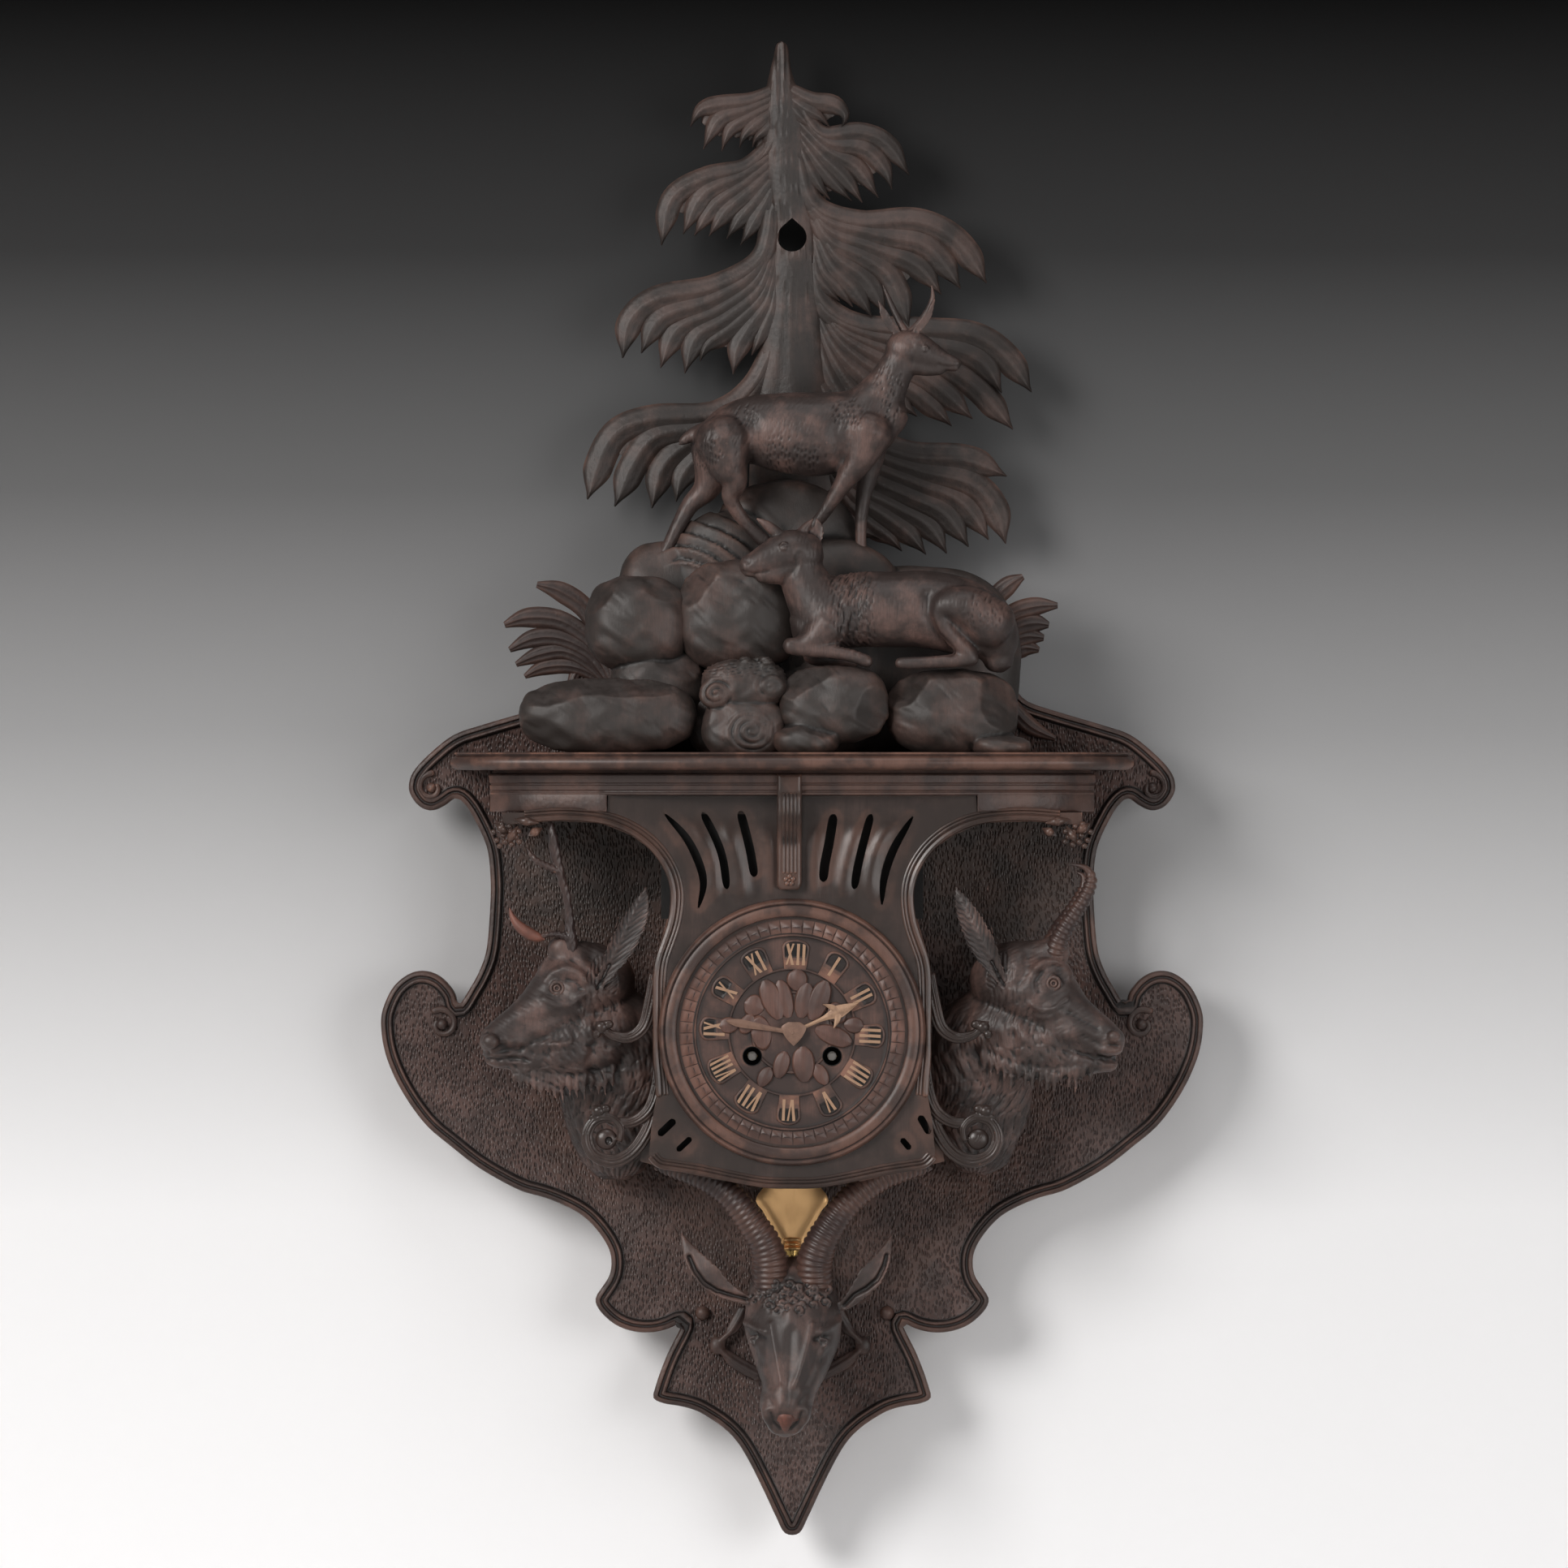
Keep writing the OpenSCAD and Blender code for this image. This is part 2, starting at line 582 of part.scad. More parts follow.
// One side head. Points are [x, y, d, r], x away from the case
module side_head(side) {
    reach = head_d - 112;
    function out(s) = [for (p = s) [side * p[0], p[1] + dz,
        p[2] + (p[2] > 40 ? reach : 0), p[3]]];
    color(wood) seated(side) {
        limb(out([[122, -28, 20, neck_w / 2], [112, -14, 60, neck_w / 2],
            [124, 18, 82, 23]]));
        limb(out([[124, 20, 82, 23], [142, 24, 82, 17]]));
        limb(out([[126, 14, 84, 22], [150, 4, 88, 16], [172, -4, 90, 9],
            [179, -8, 90, 6]]));
        limb(out([[112, -16, 84, 16], [118, -42, 76, 14], [122, -62, 60, 10]]));
        limb(out([[113, 26, 92, 7], [98, 58, 94, 7], [86, 80, 92, 2]]));
        limb(out([[112, 26, 70, 5], [107, 52, 62, 5], [100, 76, 58, 2]]));
    }
}
module roebuck_head() { difference() { side_head(-1); horn_sockets(-1); } }
module chamois_head() { difference() { side_head(1); horn_sockets(1); } }
// Flat seats for the horns on the brow
brow_y = 36;
module horn_sockets(side) {
    front(0) translate([side > 0 ? 118 : -160, dz + brow_y, 40]) cube([42, 40, 80]);
}
module roebuck_antlers() {
    d = head_d - 28;
    color(wood) difference() {
        union() {
            limb([[-128, dz + brow_y, d, 5], [-128, dz + 78, d + 2, 4],
                [-131, dz + 94, d + 2, 3.4], [-135, dz + 116, d, 1.5]]);
            limb([[-131, dz + 92, d + 2, 3], [-151, dz + 105, d, 1.5]]);
            limb([[-138, dz + brow_y, d - 8, 4], [-150, dz + 56, d - 14, 3],
                [-158, dz + 69, d - 16, 1.2]]);
        }
        front(0) translate([-200, dz + brow_y - 60, 0]) cube([120, 60, 160]);
    }
}
module chamois_horns() {
    d = head_d - 28;
    color(wood) difference() {
        union() for (k = [0, 1])
            limb([[140 - 5 * k, dz + brow_y, d + 2 - 14 * k, 5],
                [164 - 6 * k, dz + 72, d + 2 - 14 * k, 4],
                [170 - 6 * k, dz + 86, d - 14 * k, 3.2],
                [168 - 6 * k, dz + 94, d - 14 * k, 2.5],
                [158 - 6 * k, dz + 95, d - 14 * k, 1.2]]);
        front(0) translate([80, dz + brow_y - 60, 0]) cube([120, 60, 160]);
    }
}
ibex_y = dz - 166;
module ibex_head() {
    color(wood) difference() {
        seated(0) {
            limb([[0, ibex_y, 20, 22], [0, ibex_y + 2, 56, 22],
                [0, ibex_y - 8, 72, 20], [0, ibex_y - 32, 84, 15],
                [0, ibex_y - 50, 84, 11]], 16);
            for (i = [-1, 1])
                limb([[i * 18, ibex_y + 12, 60, 7], [i * 42, ibex_y + 30, 56, 7],
                    [i * 61, ibex_y + 48, 50, 2]]);
        }
        // seat for the horns
        front(0) translate([-21, ibex_y + 20, 30]) cube([42, 30, 80]);
    }
}
module ibex_horns() {
    k = horn_r / 10;
    color(wood) difference() {
        for (i = [-1, 1]) limb([[i * (horn_r + gap), ibex_y + 18, 64, horn_r],
            [i * 17, ibex_y + 48, 66, 9.5 * k], [i * 31, ibex_y + 69, 64, 8.5 * k],
            [i * 48, ibex_y + 75, 58, 6.5 * k], [i * 66, ibex_y + 78, 52, 4 * k]],
            16);
        front(0) translate([-60, ibex_y - 40, 0]) cube([120, 60, 160]);
    }
}
module ibex_plaque() {
    color(wood) front(board_t) linear_extrude(5) difference() {
        polygon(moved([[56, -8], [0, 42], [-56, -8], [0, -58]], 0, ibex_y));
        polygon(moved([[42, -8], [0, 30], [-42, -8], [0, -46]], 0, ibex_y));
    }
}

// ---- Gears

function gear_pts(n, m, phase = 0) = let (r = n * m / 2, p = 360 / n,
    a = p * 0.19, b = p * 0.10, ro = r + 0.55 * m, ri = r - 0.85 * m)
    [for (i = [0:n - 1]) for (q = [[ri, -a - b / 2], [ro, -b], [ro, b],
        [ri, a + b / 2]]) let (t = phase + i * p + q[1])
        [q[0] * cos(t), q[0] * sin(t)]];
// Where two circles about a and b meet, on the side that s picks
function meet(a, b, ra, rb, s = 1) = let (v = b - a, d = norm(v),
    e = (ra * ra - rb * rb + d * d) / (2 * d), h = sqrt(ra * ra - e * e))
    a + v / d * e + s * h * [-v[1], v[0]] / d;
function bearing(a, b) = atan2(b[1] - a[1], b[0] - a[0]);
// The phase that puts a gear of nb teeth at b into mesh with one at a
function meshed(a, b, na, nb, phase) = let (t = bearing(a, b))
    t + 180 - (phase - t) * na / nb + 180 / nb;
module gear(at, n, m, phase, d, t, hole = 0) {
    front(d) translate([at[0], at[1] + dz, 0]) linear_extrude(t)
        difference() {
            polygon(gear_pts(n, m, phase));
            if (hole > 0) circle(r = hole, $fn = 12);
        }
}
// A slim arbor with twelve flats, a pivot at each end in the plates
module slim_arbor(at, d0 = 0, d1 = 0) {
    front(plate_back + 0.5) translate([at[0], at[1] + dz, 0])
        cylinder(r = pivot_r, h = front_face - plate_back - 1, $fn = 12);
    front(plate_back + plate_t + 0.3) translate([at[0], at[1] + dz, 0])
        cylinder(r = pivot_r + 0.2, h = plate_gap - 0.6, $fn = 12);
}

wheel_t = 2;
barrel_m = (arbor_x - 5.5) * 2 / 84;
going_at = [arbor_x, -arbor_y];
strike_at = [-arbor_x, -arbor_y];
inter_at = meet(going_at, [0, 0], 48 * barrel_m, 14.4, -1);
third_at = meet([0, 0], [0, susp_y - 8.5], 13.2, 11.44, 1);
escape_at = [0, susp_y - 8.5];
pin_at = meet(strike_at, [0, 0], 48 * barrel_m, 14.4, 1);
fly_at = pin_at + 11.5 * [cos(120), sin(120)];
hammer_at = [-30, 12];
anchor_at = [0, susp_y];
bell_at = [16, -10];
minute_at = [0, 12];

ph_going = 0;
ph_inter = meshed(going_at, inter_at, 84, 12, ph_going);
ph_centre = meshed(inter_at, [0, 0], 84, 12, ph_inter);
ph_third = meshed([0, 0], third_at, 80, 8, ph_centre);
ph_escape = meshed(third_at, escape_at, 96, 8, ph_third);
ph_pin = meshed(strike_at, pin_at, 84, 12, 0);
ph_fly = meshed(pin_at, fly_at, 84, 8, ph_pin);
ph_minute = meshed([0, 0], minute_at, 12, 36, 0);
ph_hour = meshed(minute_at, [0, 0], 10, 40, ph_minute);

l0 = plate_back + plate_t;
barrel_r = barrel_m * 42 - 1.5;

module barrel(at) {
    color(brass) difference() {
        union() {
            gear(at, 84, barrel_m, 0, l0 + 3.5, wheel_t + 0.5);
            disc(barrel_r, l0 + 6, 11.5, at[0], at[1] + dz);
        }
        disc(bore_r, 0, 200, at[0], at[1] + dz);
    }
}
module going_barrel() { barrel(going_at); }
module strike_barrel() { barrel(strike_at); }
module winding_arbor(at) {
    color(steel) {
        disc(arbor_r, plate_back - 1, case_d - 4 - plate_back, at[0], at[1] + dz);
        front(case_d - 5) translate([at[0], at[1] + dz, 0])
            linear_extrude(6) square(arbor_r * 1.25, center = true);
    }
}
module going_arbor() { winding_arbor(going_at); }
module strike_arbor() { winding_arbor(strike_at); }
module intermediate_wheel() {
    color(brass) {
        slim_arbor(inter_at);
        gear(inter_at, 12, barrel_m, ph_inter, l0 + 3, 3.5);
        gear(inter_at, 84, 0.3, ph_inter, l0 + 19.5, wheel_t);
    }
}
module centre_arbor() {
    color(brass) {
        disc(centre_r, plate_back - 0.5, case_d + 5.5 - plate_back, 0, dz);
        gear([0, 0], 12, 0.3, ph_centre, l0 + 18.5, 4);
        gear([0, 0], 80, 0.3, ph_centre, l0 + 25.5, wheel_t);
    }
}
module third_wheel() {
    color(brass) {
        slim_arbor(third_at);
        gear(third_at, 8, 0.3, ph_third, l0 + 24.5, 4);
        gear(third_at, 96, 0.22, ph_third, l0 + 15.5, 1.5);
    }
}
module escape_wheel() {
    color(brass) {
        slim_arbor(escape_at);
        gear(escape_at, 8, 0.22, ph_escape, l0 + 14.5, 3.5);
        front(l0 + 22.5) translate([escape_at[0], escape_at[1] + dz, 0])
            linear_extrude(1.5) polygon([for (i = [0:41]) for (q = [[6.1, 0],
                [7.1, 1.2], [7.1, 2.2], [6.1, 3.4]])
                [q[0] * cos(i * 60 / 7 + q[1]), q[0] * sin(i * 60 / 7 + q[1])]]);
    }
}
module anchor() {
    color(steel) {
        disc(1, plate_back - 3.5, front_face - plate_back + 3, 0, dz + susp_y);
        plate(moved([[-8.1, -5.8], [-9, -4.2], [-3, 2.4], [3, 2.4],
            [9, -4.2], [8.1, -5.8], [6, -2.6], [1.4, -0.8], [-1.4, -0.8],
            [-6, -2.6]], 0, dz + susp_y), l0 + 21.8, 2.6);
        plate(moved([[-1.2, 1.5], [1.2, 1.5], [1.2, -20], [3, -20], [3, -24],
            [-3, -24], [-3, -20], [-1.2, -20]], 0, dz + susp_y),
            plate_back - 3.5, 1.5);
        for (i = [-1, 1]) disc(0.7, plate_back - 8.5, 5.5,
            i * (rod_r + 0.8), dz + susp_y - 22);
    }
}
module pin_wheel() {
    color(brass) {
        slim_arbor(pin_at);
        gear(pin_at, 12, barrel_m, ph_pin, l0 + 3, 3.5);
        gear(pin_at, 84, 0.25, ph_pin, l0 + 19.5, wheel_t);
        for (i = [0:7]) disc(0.5, l0 + 19.5, 4.5, pin_at[0] + 8 * cos(i * 45),
            pin_at[1] + dz + 8 * sin(i * 45), $fn = 12);
    }
}
module fly() {
    color(brass) {
        slim_arbor(fly_at);
        gear(fly_at, 8, 0.25, ph_fly, l0 + 19, 3);
        front(l0 + 4) translate([fly_at[0] - 6.5, fly_at[1] + dz - 0.3, 0])
            cube([13, 0.6, 9]);
    }
}

// ---- Plates and fixed pieces

module all_pivots(d) {
    for (p = [inter_at, third_at, escape_at, pin_at, fly_at])
        disc(pivot_r + run, d - 1, plate_t + 2, p[0], p[1] + dz);
    for (p = [going_at, strike_at])
        disc(bore_r, d - 1, plate_t + 2, p[0], p[1] + dz);
    disc(1 + run, d - 1, plate_t + 2, hammer_at[0], hammer_at[1] + dz);
    disc(1 + run, d - 1, plate_t + 2, 0, dz + susp_y);
    disc(centre_r + run, d - 1, plate_t + 2, 0, dz);
}
pillar_at = [for (a = [28, 75, 135, 270]) [(plate_r - 4.5) * cos(a),
    (plate_r - 4.5) * sin(a)]];
module front_plate() {
    color(brass) {
        difference() {
            disc(plate_r, plate_front, plate_t, 0, dz);
            all_pivots(plate_front);
        }
        disc(1, front_face, 9, minute_at[0], minute_at[1] + dz);
    }
}
module back_plate() {
    color(brass) difference() {
        disc(plate_r, plate_back, plate_t, 0, dz);
        all_pivots(plate_back);
    }
}
module pillars() {
    color(brass) for (p = pillar_at)
        disc(2.5, l0, plate_gap, p[0], p[1] + dz);
}
module holding_straps() {
    color(brass) for (a = [90, 205, 335]) front() translate([0, dz, 0])
        rotate(a) {
            translate([plate_r - 7, -3, front_face])
                cube([hollow_r - plate_r + 5, 6, 3]);
            translate([hollow_r - 3, 0, front_face])
                cylinder(r = 2.5, h = inner_d - front_face);
        }
}
module suspension_cock() {
    color(brass) difference() {
        front() translate([-6, dz + susp_y + 2.5, plate_back - 12])
            cube([12, 6, 12]);
        front() translate([-0.7, dz + susp_y + 2, plate_back - 10])
            cube([1.4, 4, 6]);
    }
}
module bell() {
    color(brass) front() translate([bell_at[0], bell_at[1] + dz, 7])
        rotate_extrude($fn = 96) polygon([[0, 0], [4, 0], [bell_r * 0.5, 0.6],
            [bell_r * 0.82, 3.5], [bell_r * 0.95, 8], [bell_r, 16],
            [bell_r - bell_t, 16], [bell_r * 0.95 - bell_t, 9],
            [bell_r * 0.82 - bell_t, 5.5], [bell_r * 0.5, 0.6 + bell_t],
            [4, bell_t], [0, bell_t]]);
}
module bell_stand() {
    color(steel) disc(2.5, 7 + bell_t, plate_back - 7 - bell_t, bell_at[0],
        bell_at[1] + dz);
}
module hammer() {
    x = bell_at[0] - bell_r - 1;
    color(steel) {
        disc(1, 14, front_face - 14.5, hammer_at[0], hammer_at[1] + dz);
        plate(moved([[hammer_at[0] - 1.5, hammer_at[1] + 2],
            [hammer_at[0] + 1.5, hammer_at[1] + 2], [x - 3, bell_at[1]],
            [x - 6, bell_at[1]]], 0, dz), 16, 3);
        front() translate([x - 9, dz + bell_at[1], 18]) rotate([0, 90, 0])
            cylinder(r = 4, h = 9);
    }
}

// ---- Hands and motion work

module minute_wheel() {
    color(brass) difference() {
        union() {
            gear(minute_at, 36, 0.5, ph_minute, front_face + 2, wheel_t);
            gear(minute_at, 10, 0.48, ph_minute, front_face + 3.5, 4.5);
        }
        disc(1 + run, 0, 200, minute_at[0], minute_at[1] + dz);
    }
}
module hour_wheel() {
    color(brass) difference() {
        union() {
            gear([0, 0], 40, 0.48, ph_hour, front_face + 5.5, wheel_t);
            disc(pipe_r, front_face + 5.5, hour_d - front_face - 5, 0, dz);
        }
        disc(cannon_r + run, 0, 200, 0, dz);
    }
}
module hand(l, a, w, d) {
    front(d) translate([0, dz, 0]) rotate(-a) linear_extrude(hand_t)
        polygon([[-0.6, 0], [-0.7, l * 0.55], [-w / 2, l * 0.66],
            [-w / 2.4, l * 0.78], [0, l], [w / 2.4, l * 0.78],
            [w / 2, l * 0.66], [0.7, l * 0.55], [0.6, 0]]);
}
module hour_hand() {
    color(gilt) difference() {
        union() {
            hand(hour_l, hour_a, 6, hour_d - hand_t);
            disc(pipe_r + 2.5, hour_d - hand_t, hand_t, 0, dz);
        }
        disc(pipe_r, 0, 200, 0, dz);
    }
}
module minute_hand() {
    color(gilt) difference() {
        union() {
            hand(minute_l, minute_a, 2.6, minute_d);
            disc(4.5, minute_d, hand_t, 0, dz);
            disc(cannon_r, front_face + 1, minute_d - front_face - 1, 0, dz);
            gear([0, 0], 12, 0.5, 0, front_face + 1, 3.6);
        }
        disc(centre_r + run, 0, 200, 0, dz);
    }
}

// ---- Pendulum

module pendulum_rod() {
    color(steel) {
        // suspension spring
        front() translate([-0.15, dz + susp_y - 6, rod_d - 2])
            cube([0.3, 10.5, 4]);
        front() translate([0, dz + susp_y - 6, rod_d]) rotate([90, 0, 0])
            cylinder(r = rod_r, h = susp_y + bob_tip - 12);
    }
}
bob_half = [[0, -9], [7, -9], [8, -16], [14, -25], [17, -32], [20, -37],
    [20.5, -41], [16, -45], [15, -53], [24, -63], [30, -74], [22, -84],
    [10, -88], [0, -88]];
module pendulum_bob() {
    color(gilt) difference() {
        front(rod_d - bob_t / 2) linear_extrude(bob_t)
            polygon(both([for (p = bob_half) [p[0] * bob_w / 60,
                dz - bob_tip - p[1] * bob_h / 88]]));
        front() translate([0, dz, rod_d]) rotate([90, 0, 0])
            cylinder(r = rod_r + run, h = bob_tip + 1);
    }
}
module rating_nut() {
    color(gilt) front() translate([0, dz - bob_tip + 9 * bob_h / 88, rod_d])
        rotate([90, 0, 0]) difference() {
            union() {
                cylinder(r = 4.5, h = 2);
                cylinder(r = 3.6, h = 4);
                cylinder(r1 = 3, r2 = 0.8, h = 9 * bob_h / 88);
            }
            translate([0, 0, -1]) cylinder(r = rod_r + run, h = 5);
        }
}

backboard();
tree();
fern_left();
fern_right();
hill();
boulder_upper_left();
boulder_centre();
boulder_left();
tree_stump();
boulder_middle();
boulder_right();
standing_chamois();
lying_chamois();
shelf();
cornice();
case_front();
case_sides();
centre_rib();
scroll_left();
scroll_right();
bezel();
dial();
numerals();
roebuck_head();
roebuck_antlers();
chamois_head();
chamois_horns();
ibex_head();
ibex_horns();
ibex_plaque();
back_cover();
front_plate();
back_plate();
pillars();
holding_straps();
suspension_cock();
bell();
bell_stand();
minute_hand();
centre_arbor();
hour_hand();
hour_wheel();
minute_wheel();
going_barrel();
going_arbor();
intermediate_wheel();
third_wheel();
escape_wheel();
anchor();
pendulum_rod();
pendulum_bob();
rating_nut();
strike_barrel();
strike_arbor();
pin_wheel();
fly();
hammer();
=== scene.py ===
"""A carved black forest wall clock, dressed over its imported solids.

The carving is drawn in the front elevation in millimetres, x to the right, y up and
z as the depth from the wall, and turned into the shared frame when a piece is done.
"""

import logging
import math
from dataclasses import dataclass, field
from enum import Enum
from typing import Callable, Optional, Sequence

import bmesh
import bpy
import numpy as np
from mathutils import Matrix, Vector
from mathutils.bvhtree import BVHTree


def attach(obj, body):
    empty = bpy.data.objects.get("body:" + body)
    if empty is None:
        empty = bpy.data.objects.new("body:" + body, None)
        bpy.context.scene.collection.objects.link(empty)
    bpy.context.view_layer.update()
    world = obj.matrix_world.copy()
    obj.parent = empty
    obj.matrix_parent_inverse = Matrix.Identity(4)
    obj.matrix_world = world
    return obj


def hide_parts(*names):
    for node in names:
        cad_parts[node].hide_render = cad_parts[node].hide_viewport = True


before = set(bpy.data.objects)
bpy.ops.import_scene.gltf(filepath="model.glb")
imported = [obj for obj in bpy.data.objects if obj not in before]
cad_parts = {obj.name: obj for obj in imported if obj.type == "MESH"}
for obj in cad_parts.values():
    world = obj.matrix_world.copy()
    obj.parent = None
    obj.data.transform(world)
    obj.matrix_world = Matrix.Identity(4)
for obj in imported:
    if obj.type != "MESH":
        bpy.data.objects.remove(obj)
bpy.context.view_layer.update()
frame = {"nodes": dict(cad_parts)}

LOG = logging.getLogger("clock")

MM = 0.001
# Turns the front elevation (x, height, depth) into the frame (x, -depth, height).
ELEVATION = Matrix(((MM, 0, 0, 0), (0, 0, -MM, 0), (0, MM, 0, 0), (0, 0, 0, 1)))

Point = tuple[float, float, float]
Flat = tuple[float, float]

# The main places of the clock, in millimetres of the front elevation.
DIAL_X, DIAL_Y = 0.0, -452.0
SHELF_Y = -294.0
CASE_TOP = -328.0
CASE_D = 94.0

# The depth in front of everything from which a ray is sent back to find a skin.
RAY_FROM = 400.0
# The crease angle of a piece on which no edge stays sharp, in degrees.
ROUNDED = 180.0
# Vertices closer than this, in millimetres, are one.
WELD = 1e-4
# Keeps a division by a length from failing on a length of none.
TINY = 1e-9
# The turn from one bud of a cluster to the next, in radians, and of one curl to the next.
BUD_TURN, CURL_TURN = 2.4, 2.39996
# The rounds of smoothing that the relief is measured against.
RELIEF_ROUNDS = 20
# The refractive index of waxed wood.
WAXED_IOR = 1.48
# What the painted shade in a hollow leaves of each part of the stain's colour, and the colour of
# dust.
HOLLOW_SHADE_LEFT = (0.22, 0.23, 0.24)
DUST = (0.16, 0.13, 0.125)


def smoothstep(low: float, high: float, value: np.ndarray) -> np.ndarray:
    """Returns 0 below low, 1 above high and a smooth rise between them."""
    t = np.clip((value - low) / (high - low), 0.0, 1.0)
    return t * t * (3.0 - 2.0 * t)


def smooth_one(low: float, high: float, value: float) -> float:
    """Returns the smooth step of one number."""
    return float(smoothstep(low, high, np.array(value)))


def spline(points: Sequence[Sequence[float]], per_span: int = 6,
           closed: bool = False) -> np.ndarray:
    """Runs a smooth curve through points.

    Args:
        points: The points, each with any number of coordinates.
        per_span: The samples on each span.
        closed: Whether the last point leads back to the first.

    Returns:
        The samples, one in a row.
    """
    p = np.array(points, dtype=float)
    n = len(p)
    spans = n if closed else n - 1
    out: list[np.ndarray] = []
    for i in range(spans):
        if closed:
            a, b, c, d = p[(i - 1) % n], p[i], p[(i + 1) % n], p[(i + 2) % n]
        else:
            a, b, c, d = p[max(i - 1, 0)], p[i], p[i + 1], p[min(i + 2, n - 1)]
        for k in range(per_span):
            t = k / per_span
            out.append(
                0.5 * ((2 * b) + (c - a) * t + (2 * a - 5 * b + 4 * c - d) * t * t
                       + (3 * b - a - 3 * c + d) * t ** 3)
            )
    if not closed:
        out.append(p[-1])
    return np.array(out)


def evenly(points: Sequence[Sequence[float]], step: float, closed: bool = False) -> np.ndarray:
    """Spaces the samples of a run of points evenly.

    Args:
        points: The run, with two or more coordinates each.
        step: The distance between samples.
        closed: Whether the run is a loop.

    Returns:
        The evenly spaced samples, without the first one repeated on a loop.
    """
    p = np.array(points, dtype=float)
    if closed:
        p = np.vstack([p, p[:1]])
    lengths = np.linalg.norm(np.diff(p, axis=0), axis=1)
    along = np.concatenate([[0.0], np.cumsum(lengths)])
    count = max(2, int(round(along[-1] / step)))
    marks = np.linspace(0.0, along[-1], count + 1)
    if closed:
        marks = marks[:-1]
    return np.stack([np.interp(marks, along, p[:, k]) for k in range(p.shape[1])], axis=1)


def mirrored(points: Sequence[Flat]) -> list[Flat]:
    """Returns the points of the other half, mirrored in x, in reverse order."""
    return [(-x, y) for x, y in reversed(points)]


def near_line(p: np.ndarray, line: Sequence[Flat]) -> np.ndarray:
    """Returns how far each place is from a line drawn in the elevation.

    Args:
        p: The places, one row each.
        line: The corners of the line.

    Returns:
        The distance of each place, in millimetres.
    """
    best = np.full(len(p), 1e9)
    for (x0, y0), (x1, y1) in zip(line[:-1], line[1:]):
        ax, ay = x1 - x0, y1 - y0
        t = np.clip(((p[:, 0] - x0) * ax + (p[:, 1] - y0) * ay) / (ax * ax + ay * ay + TINY), 0, 1)
        best = np.minimum(best, np.hypot(p[:, 0] - x0 - t * ax, p[:, 1] - y0 - t * ay))
    return best


def raised(p: np.ndarray,
           ridges: Sequence[tuple[Sequence[Flat], float, float]]) -> np.ndarray:
    """Returns the height of soft ridges, or the depth of grooves, below zero.

    Args:
        p: The places.
        ridges: The line, the breadth and the height of each ridge.

    Returns:
        The height at each place.
    """
    out = np.zeros(len(p))
    for line, wide, high in ridges:
        out += high * np.exp(-(near_line(p, line) / wide) ** 2)
    return out


def note_relief(mesh: bpy.types.Mesh) -> None:
    """Notes at every vertex how deep it lies in a hollow, or how high on a ridge.

    Args:
        mesh: The mesh, in metres, which gets the attribute "relief" in millimetres, above
            zero in the hollows.
    """
    count = len(mesh.vertices)
    places, normals = np.empty(count * 3), np.empty(count * 3)
    ends = np.empty(len(mesh.edges) * 2, dtype=np.int32)
    mesh.vertices.foreach_get("co", places)
    mesh.vertices.foreach_get("normal", normals)
    mesh.edges.foreach_get("vertices", ends)
    a, b = ends[0::2], ends[1::2]
    start = places.reshape(-1, 3)
    soft = start.copy()
    degree = np.maximum(np.bincount(a, minlength=count) + np.bincount(b, minlength=count), 1)
    for _ in range(RELIEF_ROUNDS):
        for k in range(3):
            near = np.bincount(a, soft[b, k], count) + np.bincount(b, soft[a, k], count)
            soft[:, k] = soft[:, k] * 0.5 + near / degree * 0.5
    deep = ((soft - start) * normals.reshape(-1, 3)).sum(axis=1) / MM
    note = mesh.attributes.new("relief", "FLOAT", "POINT")
    note.data.foreach_set("value", deep.astype(np.float32))


def grown(bm: bmesh.types.BMesh, ring: Sequence[bmesh.types.BMVert],
          edges: Sequence[bmesh.types.BMEdge],
          places: Sequence[Sequence[float]]) -> tuple[list, list]:
    """Grows a band of faces from a closed ring to new places.

    Args:
        bm: The mesh that holds the ring.
        ring: The vertices of the ring in order.
        edges: Its edges.
        places: Where each vertex of the new ring goes.

    Returns:
        The vertices and the edges of the new ring.
    """
    got = bmesh.ops.extrude_edge_only(bm, edges=edges)
    fresh = {g for g in got["geom"] if isinstance(g, bmesh.types.BMVert)}
    ring = [next(e.other_vert(v) for e in v.link_edges if e.other_vert(v) in fresh)
            for v in ring]
    edges = [g for g in got["geom"] if isinstance(g, bmesh.types.BMEdge)
             and g.verts[0] in fresh and g.verts[1] in fresh]
    for v, place in zip(ring, places):
        v.co = place
    return ring, edges


